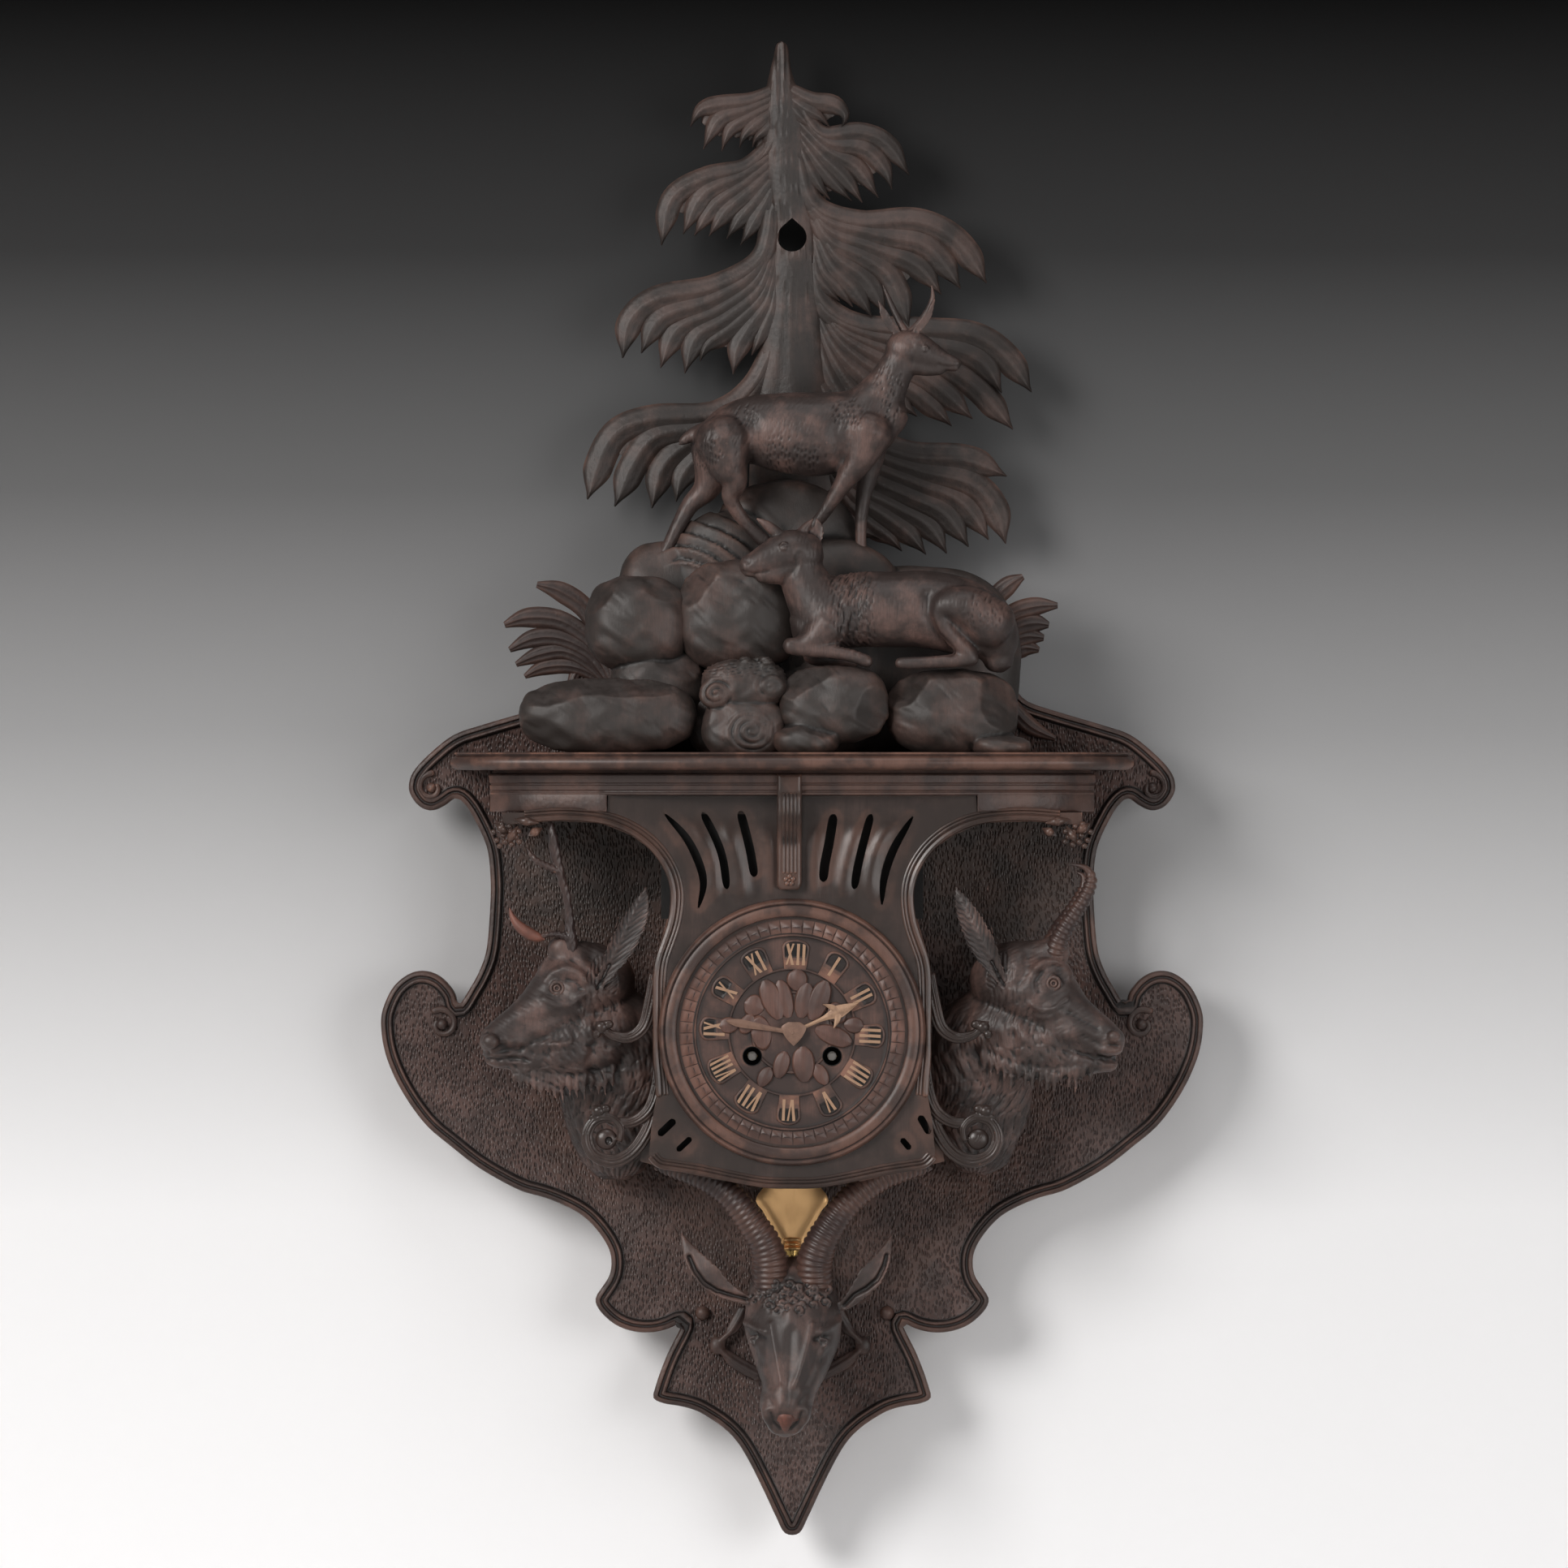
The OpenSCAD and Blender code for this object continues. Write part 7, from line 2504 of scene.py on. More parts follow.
ROEBUCK = SideHead(
    name="roebuck", node="roebuck_head", side=-1,
    core=((-102.1, -433.3, 50, 14), (-108.6, -426.9, 60, 23), (-121.4, -426.0, 68, 24),
          (-131.6, -434.2, 72, 20.5), (-141.7, -442.1, 76, 17.0),
          (-152.3, -448.0, 80, 13.4), (-161.9, -452.6, 83, 10.4), (-168.4, -456.3, 85, 8.6)),
    jaw=((-104.9, -450.8, 62, 22), (-118.7, -457.2, 68, 22.5), (-130.6, -461.8, 72, 20.0),
         (-141.7, -464.6, 75, 15.6), (-150.9, -465.1, 78, 11.8),
         (-158.2, -465.1, 80, 9.0), (-164.7, -465.5, 82, 7.4), (-169.3, -465.5, 82, 6.0)),
    neck=((-105.3, -436.1, 56, 18), (-98.4, -454.0, 50, 28), (-93.8, -474.7, 46, 30),
          (-94.8, -493.1, 42, 30), (-98.4, -509.2, 38, 27),
          (-101.2, -517.0, 36, 22)),
    throat=((-116.8, -460.9, 58, 18), (-113.2, -479.3, 52, 20), (-110.4, -497.7, 46, 20),
            (-107.6, -511.5, 40, 18)),
    brow=((-116.8, -414.9, 66, 14), (-126.0, -410.3, 72, 12), (-129.7, -404.8, 74, 9)),
    eye_at=(-132.9, -427.3),
    muscles=(
        (((-138.9, -423.2), (-135.2, -419.1), (-128.3, -416.3), (-121.4, -418.1), (-117.3, -422.7)),
         2.9, 2.1),
        (((-139.8, -433.3), (-132.5, -437.0), (-124.2, -435.2), (-118.2, -430.6)), 2.2, 1.6),
        (((-127.0, -422.3), (-121.9, -423.7), (-119.6, -427.8)), 2.0, -1.8),
        (((-124.2, -411.2), (-119.6, -414.9), (-114.1, -419.5)), 2.2, -1.2),
        (((-113.2, -409.4), (-107.6, -416.8), (-105.8, -423.2)), 4.0, -2.6),
        (((-160.1, -456.8), (-147.7, -458.2), (-134.3, -459.1), (-125.1, -458.2)), 2.4, 1.8),
        (((-149.0, -464.1), (-138.0, -465.1)), 1.5, -0.8),
        (((-154.6, -448.0), (-143.5, -446.2), (-134.3, -443.4)), 3.4, -1.2),
        (((-171.1, -456.8), (-170.2, -457.2)), 4.4, 3.0),
        (((-174.3, -453.1), (-172.0, -452.2)), 1.2, -1.8),
        (((-167.4, -460.5), (-162.8, -459.5)), 1.6, -1.6),
        (((-173.9, -464.1), (-166.5, -465.1), (-160.1, -465.5)), 1.8, 1.0),
        (((-175.7, -466.9), (-166.5, -467.8), (-157.3, -466.9), (-148.1, -468.3)), 1.0, -1.9),
        (((-125.1, -437.9), (-116.8, -443.4), (-113.2, -450.8)), 2.6, 1.3),
        (((-121.4, -448.0), (-123.3, -454.5)), 2.4, -1.0),
        (((-110.4, -458.2), (-114.1, -468.3), (-109.5, -481.2)), 3.0, -2.2),
    ),
    cheek=((-108.6, -439.8), (-116.8, -452.6), (-130.6, -466.4), (-145.4, -470.1)),
    near_ear=((-110.4, -429.2, 80, 2.0), (-105.3, -419.5, 82, 4.6), (-96.6, -403.9, 84, 8.2),
              (-88.3, -387.8, 83, 7.4), (-84.2, -376.7, 81, 3.8),
              (-82.3, -369.8, 80, 0.3)),
    far_ear=((-103.0, -414.9, 44, 1.6), (-98.4, -396.5, 42, 3.0), (-94.8, -378.1, 41, 2.4),
             (-94.3, -361.6, 40, 0.3)),
    beard=((-158.2, -474.7), (-147.7, -479.3), (-136.2, -482.5), (-124.7, -483.5), (-113.2, -482.1),
           (-103.0, -478.4)),
    nose=(-170.2, -457.2, 5.0),
)
CHAMOIS = SideHead(
    name="chamois", node="chamois_head", side=1,
    core=((114.1, -433.3, 50, 14), (120.1, -426.9, 60, 23), (132.5, -425.0, 68, 24),
          (144.4, -433.3, 72, 20), (154.6, -442.5, 76, 16.4),
          (164.7, -449.0, 80, 13.4), (173.9, -454.0, 83, 11.0), (179.4, -457.7, 85, 9.4)),
    jaw=((116.4, -451.7, 62, 22), (129.7, -456.8, 67, 21), (142.6, -460.9, 71, 18.5),
         (154.6, -464.1, 75, 14.6), (164.7, -466.0, 78, 11.6),
         (173.0, -467.4, 79, 8.6), (178.5, -468.3, 80, 6.6)),
    neck=((119.6, -436.1, 56, 18), (108.6, -455.4, 50, 28), (104.0, -474.7, 46, 30),
          (104.4, -493.1, 42, 30), (105.8, -509.2, 38, 26),
          (106.7, -516.1, 36, 20)),
    throat=((121.4, -458.6, 58, 17), (119.6, -477.0, 52, 18), (117.8, -497.7, 46, 17),
            (113.2, -511.5, 40, 15)),
    brow=((131.6, -414.9, 66, 14), (143.5, -410.3, 72, 12), (148.1, -406.6, 74, 9.5)),
    eye_at=(147.7, -424.6),
    muscles=(
        (((138.0, -415.8), (142.6, -412.6), (149.0, -412.2), (154.1, -414.9), (156.4, -420.0)),
         2.3, 2.8),
        (((135.2, -436.1), (141.2, -439.8), (148.6, -438.4), (155.0, -433.3)), 1.8, 1.7),
        (((138.9, -443.4), (145.4, -443.4), (150.0, -440.7)), 1.6, 1.0),
        (((140.8, -418.6), (138.0, -423.2), (138.9, -428.7)), 2.0, -1.6),
        (((133.4, -408.5), (131.6, -417.7), (127.9, -424.1)), 3.2, -1.8),
        (((145.4, -453.6), (155.5, -454.9)), 5.0, 2.2),
        (((156.4, -440.7), (164.7, -445.7), (172.0, -449.9)), 2.0, -1.6),
        (((164.7, -454.5), (172.0, -458.2)), 2.2, -1.2),
        (((181.7, -454.5), (182.2, -454.9)), 3.8, 1.7),
        (((179.4, -459.1), (183.1, -459.5)), 1.2, -2.2),
        (((173.0, -462.3), (179.4, -462.8), (184.5, -462.3)), 2.0, 1.3),
        (((186.8, -466.9), (178.5, -467.8), (170.2, -466.0), (161.9, -463.7)), 1.0, -2.2),
        (((175.7, -471.0), (181.2, -471.0)), 2.2, 0.9),
        (((154.6, -462.8), (159.2, -465.5)), 1.7, -1.3),
        (((129.7, -437.9), (127.0, -446.2), (131.6, -455.4)), 2.6, 1.2),
        (((123.3, -454.5), (126.0, -465.5)), 3.0, -1.8),
    ),
    cheek=((121.4, -437.9), (127.0, -451.7), (140.8, -465.5), (156.4, -469.2)),
    near_ear=((120.1, -427.3, 80, 2.0), (115.9, -418.6, 82, 4.6), (107.6, -403.0, 84, 8.2),
              (100.3, -388.2, 83, 7.2),
              (95.2, -376.7, 81, 3.8), (92.5, -369.8, 80, 0.3)),
    far_ear=((114.1, -414.9, 44, 1.6), (111.8, -399.3, 42, 3.0), (110.4, -383.6, 41, 2.4),
             (111.3, -368.9, 40, 0.3)),
    beard=((109.5, -469.2), (121.4, -473.8), (133.4, -477.5), (145.4, -478.4), (157.3, -477.5),
           (169.3, -474.7)),
    nose=(181.7, -454.5, 3.9),
)
ANTLERS = SideHorns(
    name="antlers", node="roebuck_antlers",
    plain_runs=(
        ((-125.1, -407.6, 76, 4.4), (-125.1, -400.2, 78, 3.8), (-125.6, -393.8, 79, 2.9),
         (-126.0, -385.5, 80, 2.4), (-127.4, -375.4, 82, 2.3),
         (-130.6, -364.3, 84, 2.6), (-132.9, -355.6, 85, 3.0), (-134.3, -348.2, 86, 3.1),
         (-135.2, -340.4, 87, 2.4), (-136.6, -332.1, 87, 0.4)),
        ((-132.0, -361.1, 85, 2.5), (-138.5, -358.3, 87, 2.2), (-144.9, -354.7, 88, 1.8),
         (-150.4, -347.3, 88, 0.4)),
        ((-125.6, -399.3, 79, 2.8), (-131.6, -397.0, 81, 1.9), (-138.0, -397.0, 83, 1.6),
         (-143.5, -398.8, 84, 1.6)),
        ((-125.6, -407.6, 62, 4.2), (-125.6, -398.4, 60, 3.4), (-126.5, -385.5, 58, 2.2),
         (-127.9, -375.4, 57, 2.1), (-131.1, -364.3, 56, 2.3),
         (-133.4, -355.1, 56, 2.6), (-135.2, -341.3, 55, 2.0), (-136.2, -334.0, 55, 0.4)),
    ),
    rubbed_run=((-159.6, -382.3, 84, 0.4), (-157.8, -387.3, 84, 1.7), (-154.1, -392.4, 84, 3.0),
                (-149.0, -396.1, 84, 3.4),
                (-144.0, -398.4, 84, 2.8), (-140.8, -399.3, 83.5, 1.2)),
)
CHAMOIS_HORNS = SideHorns(
    name="ringed_horns", node="chamois_horns",
    ringed_runs=(
        (3.3, 0.9, ((147.7, -411.2, 76, 5.8), (150.0, -402.0, 78, 5.4), (154.6, -392.8, 80, 4.8),
                    (159.6, -385.0, 82, 4.2),
                    (164.7, -377.2, 84, 4.0), (167.9, -370.3, 85, 3.6), (168.8, -364.3, 86, 3.0),
                    (166.1, -359.7, 87, 2.3),
                    (161.5, -357.9, 87, 1.5), (155.9, -357.4, 87, 0.4))),
        (3.3, 0.8, ((144.9, -411.2, 60, 5.4), (147.2, -402.0, 59, 5.0), (151.8, -393.3, 58, 4.4),
                    (156.9, -385.5, 58, 3.8),
                    (161.9, -377.7, 57, 3.2), (165.1, -370.8, 57, 2.6), (165.1, -364.3, 57, 2.0),
                    (160.5, -361.6, 57, 0.5))),
    ),
)


@dataclass
class Ibex:
    """The ibex head under the dial, its sweeping horns and its strap plaque."""

    # The planes of the face: the line, the breadth and the height of each ridge.
    planes: Sequence[tuple[Sequence[Flat], float, float]] = (
        ([(-12.0, -617.3), (-10.1, -628.8), (-7.8, -640.3), (-6.0, -649.5)], 1.7, 1.5),
        ([(11.0, -617.3), (9.2, -626.5), (6.4, -636.6), (3.7, -644.9), (0.9, -651.4)], 1.7, 1.5),
        ([(-0.9, -621.9), (-1.4, -634.8), (-2.3, -649.5), (-3.2, -662.4)], 3.4, -1.6),
        ([(-16.6, -628.8), (-14.7, -640.3), (-11.5, -651.4)], 2.8, -1.3),
        ([(14.7, -632.0), (12.4, -641.2), (7.8, -651.4)], 2.8, -1.3),
        ([(-27.1, -616.9), (-22.1, -618.7), (-16.1, -621.9)], 1.9, 1.9),
        ([(28.1, -615.5), (22.5, -618.7), (16.1, -621.9)], 1.9, 1.9),
        ([(-23.0, -623.3), (-16.6, -624.7)], 2.2, -2.2),
        ([(13.8, -625.6), (19.3, -624.7)], 2.2, -2.2),
        ([(-22.1, -633.0), (-18.4, -638.5)], 2.0, -1.1),
        ([(21.2, -633.0), (17.0, -638.5)], 2.0, -1.1),
        ([(-16.1, -655.0), (-13.8, -656.9), (-12.0, -661.5)], 2.0, -1.0),
        ([(10.6, -655.0), (7.4, -656.9), (4.6, -661.5)], 2.0, -1.0),
        ([(-12.4, -667.0), (-10.6, -673.0), (-6.9, -676.7)], 1.2, -2.2),
        ([(5.5, -667.0), (3.2, -673.0), (-0.9, -676.7)], 1.2, -2.2),
        ([(-16.6, -665.2), (-15.2, -672.5), (-9.2, -678.0)], 1.6, 0.9),
        ([(9.2, -665.2), (7.4, -673.0), (1.4, -678.0)], 1.6, 0.9),
    )

    def build(self, shop: Workshop) -> None:
        """Carves and dresses the head, the horns and the straps.

        Args:
            shop: The workshop, with its finishes.
        """
        self.head(shop)
        self.horns(shop)
        self.straps(shop)

    def head(self, shop: Workshop) -> None:
        """Carves the face, its curls and its ears.

        Args:
            shop: The workshop, with its finishes.
        """
        block = Carver()
        block.limb([(0.5, -601.7, 52, 25, 0.8), (0.9, -611.8, 58, 27, 0.8),
                    (1.2, -622.8, 64, 26.5, 0.8),
                    (0.5, -633.9, 69, 23.4, 0.85), (-0.5, -644.9, 74, 19.4, 0.9),
                    (-1.8, -654.6, 78, 15.4, 0.95),
                    (-3.7, -663.8, 80, 15.0, 0.9), (-3.7, -670.7, 80, 11.5, 0.9)], around=36,
                    per_span=7)
        block.limb([(0.0, -617.3, 29, 25), (0.0, -617.3, 42, 25), (-0.5, -621.9, 58, 20)],
                   around=30)
        for side in (-1, 1):
            block.limb([(-0.6 + side * 16, -598, 60, 8), (-1 + side * 20, -618, 62, 6.5),
                        (-1.4 + side * 16, -634, 66, 5.5), (-1.8 + side * 12, -648, 70, 4.5)],
                        around=16)
            block.ball((-3.2 + side * 7.5, -666.0, 84), (7.0, 9.0, 8.0))
        block.limb([(-0.5, -611.8, 78, 6), (-1.4, -631.1, 82, 6.5), (-2.3, -649.5, 86, 6.5),
                    (-3.2, -662.4, 88, 7.5)], around=18)
        block.fused(1.3, 9, 0.5)

        def forms(p: np.ndarray, n: np.ndarray) -> np.ndarray:
            """Returns the planes of the face: bridge, cheeks, lips and nostrils."""
            return raised(p, self.planes) * smoothstep(0.0, 0.5, n[:, 2])

        block.pressed(forms)
        eye(block, -21.6, -627.0, 2.9, lean=-24.0, out=-0.5, cushion=0.3)
        eye(block, 17.5, -627.9, 2.9, lean=24.0, out=0.5, cushion=0.3)
        curls = []
        for k in range(30):
            a = (k * CURL_TURN) % math.tau
            r = math.sqrt((k + 0.5) / 30)
            curls.append((-0.8 + 23.5 * r * math.cos(a), -601.5 + 8.6 * r * math.sin(a),
                          2.6 + 0.9 * ((k * 7) % 3) / 2))
        for x, y, r in curls:
            d = skin_at(block, x, y)
            if d > 30:
                block.ball((x, y, d - r * 0.1), (r, r * 0.95, r * 0.6), around=14)
        ear(block, [(-21.2, -607.2, 62, 2.4), (-29.4, -602.6, 65, 3.6), (-38.2, -598.0, 67, 5.6),
                    (-47.4, -590.2, 68, 7.4),
                    (-55.2, -581.0, 66, 5.8), (-59.8, -573.2, 64, 3.0), (-62.6, -566.3, 62, 0.3)],
                    thick=3.4, cup=-0.25)
        ear(block, [(23.9, -609.0, 62, 2.4), (30.4, -606.3, 65, 3.6), (37.3, -599.4, 67, 5.6),
                    (44.2, -591.1, 68, 7.2),
                    (49.7, -583.3, 66, 5.6), (53.4, -575.9, 64, 3.0), (56.1, -568.1, 62, 0.3)],
                    thick=3.4, cup=-0.25)
        block.fused(0.8, 2, 0.45)

        def hair(p: np.ndarray, n: np.ndarray) -> np.ndarray:
            """Returns the whorls of the curls and the fine hair of the cheeks.

            Args:
                p: The places on the skin, one row each.
                n: The normal of the skin at each place.

            Returns:
                How far each place moves outward, in millimetres.
            """
            out = np.zeros(len(p))
            for x, y, r in curls:
                q = np.hypot(p[:, 0] - x, p[:, 1] - y)
                a = np.arctan2(p[:, 1] - y, p[:, 0] - x)
                here = smoothstep(r * 1.25, r * 0.9, q) * (p[:, 2] > 55)
                out = np.where(here > 0.05, -here * 0.9 * (np.sin(q * 2.1 + a) > 0.35), out)
            side = smoothstep(13.0, 17.0, np.abs(p[:, 0] + 1.5)) * smoothstep(-655, -640, p[:, 1]) \
                * smoothstep(-606, -612, p[:, 1])
            out -= side * 0.3 * nicks(-p[:, 1], p[:, 0] * 1.3 + p[:, 2] * 0.5, 5.0, 1.8, 3.0, 0.55)
            for line in ([(-26.2, -603.5), (-33.6, -601.7), (-42.3, -598.9), (-49.7, -594.3),
                          (-55.2, -587.0), (-58.4, -579.6)],
                         [(29.4, -607.2), (35.0, -601.2), (41.9, -597.5), (48.3, -592.0),
                          (52.0, -585.1), (53.8, -578.7)]):
                near = near_line(p, line)
                out -= 2.6 * np.exp(-(near / 1.3) ** 4) * (p[:, 2] > 61) * (n[:, 2] > 0)
            return out

        block.pressed(hair)
        block.done("ibex", shop[Finish.FUR], instead=["ibex_head"], slot="carved_wood",
                   crease=ROUNDED)
        pad = Carver()
        pad.limb([(-9.2, -668.8, 88, 3.0, 0.6), (-3.7, -669.3, 90.5, 3.4, 0.6),
                  (2.3, -668.8, 88, 3.0, 0.6)], around=14)
        pad.limb([(-3.7, -669.3, 90.5, 4.6, 0.5), (-3.7, -673.4, 89.5, 3.4, 0.5),
                  (-3.7, -677.1, 87, 1.6, 0.5)], around=16)
        pad.fused(0.5, 2, 0.4)
        pad.done("ibex_nose_pad", shop[Finish.RUBBED], slot="carved_wood", crease=ROUNDED)

    def horns(self, shop: Workshop) -> None:
        """Carves the two sweeping horns with their rings.

        Args:
            shop: The workshop, with its finishes.
        """
        block = Carver()
        ringed(block,
               [(-12.0, -603.5, 60, 9.8), (-12.4, -592.0, 62, 10.2), (-12.9, -581.4, 64, 9.8),
                (-16.1, -570.9, 66, 9.0),
                       (-23.0, -560.3, 67, 8.2), (-30.8, -549.7, 68, 7.6), (-40.0, -541.0, 67, 7.4),
                       (-51.5, -534.5, 65, 6.9),
                       (-62.6, -531.3, 62, 5.6), (-70.8, -529.9, 59, 3.8),
                       (-76.4, -529.5, 57, 1.4)], 3.3, 1.0, around=28, ends=1.2)
        ringed(block,
               [(12.4, -603.5, 60, 9.8), (12.4, -592.0, 62, 10.2), (12.9, -581.4, 64, 9.8),
                (16.6, -570.9, 66, 9.0),
                       (23.0, -560.3, 67, 8.2), (30.8, -549.7, 68, 7.8), (40.5, -541.0, 67, 7.6),
                       (51.5, -534.5, 65, 7.0),
                       (62.6, -531.3, 62, 5.8), (72.2, -529.9, 59, 4.0), (78.2, -529.5, 57, 1.5)],
                       3.3, 1.0, around=28,
               ends=1.2)
        block.done("ibex_ringed_horns", shop[Finish.HORN], instead=["ibex_horns"],
                   slot="carved_wood",
                   crease=ROUNDED)

    def straps(self, shop: Workshop) -> None:
        """Carves the bent straps behind the head.

        Args:
            shop: The workshop, with its finishes.
        """
        block = Carver()
        for side in (-1, 1):
            cx = -1.0
            for lane in (-2.0, 0.0, 2.0):
                pts = [(26.5, -611), (32.5, -622), (40.5 - lane, -631.5),
                       (33.0 + lane * 0.5, -640 - lane),
                       (19.0, -648 - lane * 1.2)]
                rows = [(cx + side * (x + (lane if k < 2 else 0)), y,
                         20.6 + (0.9 if lane == 0 else 0.0), 1.7, 0.9)
                        for k, (x, y) in enumerate(pts)]
                block.limb(rows, around=10, per_span=6)
            block.ball((cx + side * 41.5, -632, 20), (4.6, 5.4, 3.2))
        block.fused(0.6, 1, 0.4)
        block.done("strap_plaque", shop[Finish.CARVING], instead=["ibex_plaque"], slot="dark_wood",
                   crease=ROUNDED)


@dataclass
class StandingChamois:
    """The chamois that stands on the mound and looks to the right."""

    d: float = 56.0

    def build(self, shop: Workshop) -> None:
        """Carves and dresses it.

        Args:
            shop: The workshop, with its finishes.
        """
        d = self.d
        block = Carver()
        limb = block.limb
        limb([(-43.2, -119.6, d, 13), (-35.0, -114.1, d, 17), (-21.2, -111.3, d, 20),
              (-3.7, -112.7, d, 23), (13.3, -113.6, d, 24),
              (29.4, -111.3, d, 22.5), (42.3, -106.7, d, 20), (50.6, -101.2, d, 16)], around=24,
              per_span=5, flat=0.78)
        limb([(39.6, -104.4, d, 18), (50.1, -92.0, d+1, 14), (57.0, -80.0, d+2, 11),
              (62.6, -69.9, d+3, 10)], around=20, flat=0.8)
        limb([(62.6, -65.3, d+3, 10.5), (69.9, -65.8, d+4, 10.5), (78.2, -69.0, d+5, 8.0),
              (85.6, -72.2, d+6, 5.8),
              (92.0, -74.1, d+7, 4.4)], around=20, flat=0.85)
        limb([(67.2, -73.6, d+4, 6.5), (76.4, -76.4, d+5, 4.6), (83.7, -77.3, d+6, 3.2)], around=14)
        limb([(42.3, -113.6, d+7, 15), (37.7, -127.9, d+9, 9.5), (31.3, -138.0, d+9, 6.4),
              (24.8, -148.1, d+8, 4.6),
              (17.5, -159.2, d+6, 3.8), (12.0, -165.6, d+4, 3.6), (8.3, -169.3, d+4, 4.2),
              (4.6, -172.0, d+4, 4.2)], around=14)
        limb([(44.2, -118.2, d-8, 11), (43.2, -134.3, d-9, 7), (40.5, -149.0, d-9, 4.6),
              (39.1, -164.2, d-9, 3.6),
              (39.1, -176.6, d-9, 3.4), (39.6, -181.2, d-9, 4.2), (38.6, -184.9, d-8, 4.4)],
              around=14)
        limb([(-38.6, -118.2, d+7, 17), (-35.9, -132.0, d+9, 12), (-32.7, -141.7, d+9, 7.5),
              (-35.0, -149.0, d+8, 5.2),
              (-31.3, -157.3, d+6, 4.2), (-24.8, -165.6, d+5, 3.7), (-19.3, -171.1, d+4, 4.2),
              (-15.6, -174.3, d+4, 4.2)], around=14)
        limb([(-43.2, -121.4, d-7, 15), (-45.1, -135.2, d-8, 11), (-49.7, -145.4, d-8, 7.5),
              (-58.0, -153.6, d-8, 5.4),
              (-65.3, -166.5, d-8, 4.4), (-71.3, -178.5, d-8, 3.8), (-75.4, -185.8, d-8, 4.3),
              (-78.2, -190.4, d-7, 4.6)], around=14)
        limb([(-47.8, -110.4, d, 5), (-55.2, -113.2, d+1, 4.2), (-61.6, -117.3, d+2, 3.0),
              (-64.4, -119.6, d+2, 0.8)], around=12)
        block.fused(1.1, 7, 0.5)

        def forms(p: np.ndarray, n: np.ndarray) -> np.ndarray:
            """Returns the folds of flank and shoulder, and the mouth.

            Args:
                p: The places on the skin, one row each.
                n: The normal of the skin at each place.

            Returns:
                How far each place moves outward, in millimetres.
            """
            return smoothstep(-0.1, 0.4, n[:, 2]) * raised(p, (
                (((-22.1, -106.7), (-20.2, -120.5), (-23.9, -134.3)), 3.2, -1.2),
                (((27.6, -99.8), (23.9, -113.6), (27.6, -127.9)), 3.2, -1.0),
                (((95.7, -75.4), (88.3, -75.9), (82.8, -74.5)), 0.7, -0.7),
                (((66.2, -59.8), (69.9, -68.1), (67.2, -75.4)), 1.6, -0.54)))

        block.pressed(forms)
        eye(block, 75.4, -65.3, 1.7, lean=-18.0)
        ear(block, [(62.6, -58.9, d+4, 1.2), (57.0, -53.4, d+5, 2.8), (52.4, -46.0, d+5, 2.6),
                    (48.8, -37.7, d+5, 0.3)],
            thick=1.8)
        ear(block, [(68.1, -57.0, d+6, 1.2), (72.7, -52.4, d+7, 2.6), (77.3, -46.0, d+7, 2.2),
                    (81.0, -36.8, d+6, 0.3)],
            thick=1.8)
        limb([(64.9, -57.0, d+2, 2.4), (59.8, -47.8, d+1, 2.0), (55.2, -37.7, d, 1.6),
              (51.5, -29.0, d, 0.5)], around=12)
        limb([(67.2, -56.1, d+3, 2.4), (75.4, -46.0, d+2, 2.0), (79.6, -36.8, d+2, 1.5),
              (79.1, -29.4, d+2, 0.5)], around=12)
        block.fused(0.62, 1, 0.45)

        def fur(p: np.ndarray, n: np.ndarray) -> np.ndarray:
            """Returns the nicks on shoulder, flank, belly and neck.

            Args:
                p: The places on the skin, one row each.
                n: The normal of the skin at each place; not used.

            Returns:
                How far each place moves outward, in millimetres.
            """
            spots = ((31.7, -102.1, 11), (-25.8, -103.0, 8), (-5.1, -126.0, 15),
                     (59.8, -97.5, 12), (11.0, -127.9, 10), (-47.8, -125.1, 12),
                     (54.7, -83.7, 10))
            near = np.zeros(len(p))
            for x, y, r in spots:
                near = np.maximum(near,
                                  smoothstep(r * 1.15, r * 0.5, np.hypot(p[:, 0] - x, p[:, 1] - y)))
            s = -p[:, 1] * 0.9 - p[:, 0] * 0.35
            q = p[:, 0] * 0.95 - p[:, 1] * 0.3 + p[:, 2] * 0.4
            fine = nicks(s, q, 4.2, 1.5, 6.0, 0.55)
            return -0.75 * near * nicks(s, q, 3.4, 2.2, 5.0, 0.7) - 0.16 * fine

        block.pressed(fur)
        block.done("chamois_standing", shop[Finish.FUR], instead=["standing_chamois"],
                   slot="carved_wood",
                   crease=ROUNDED)


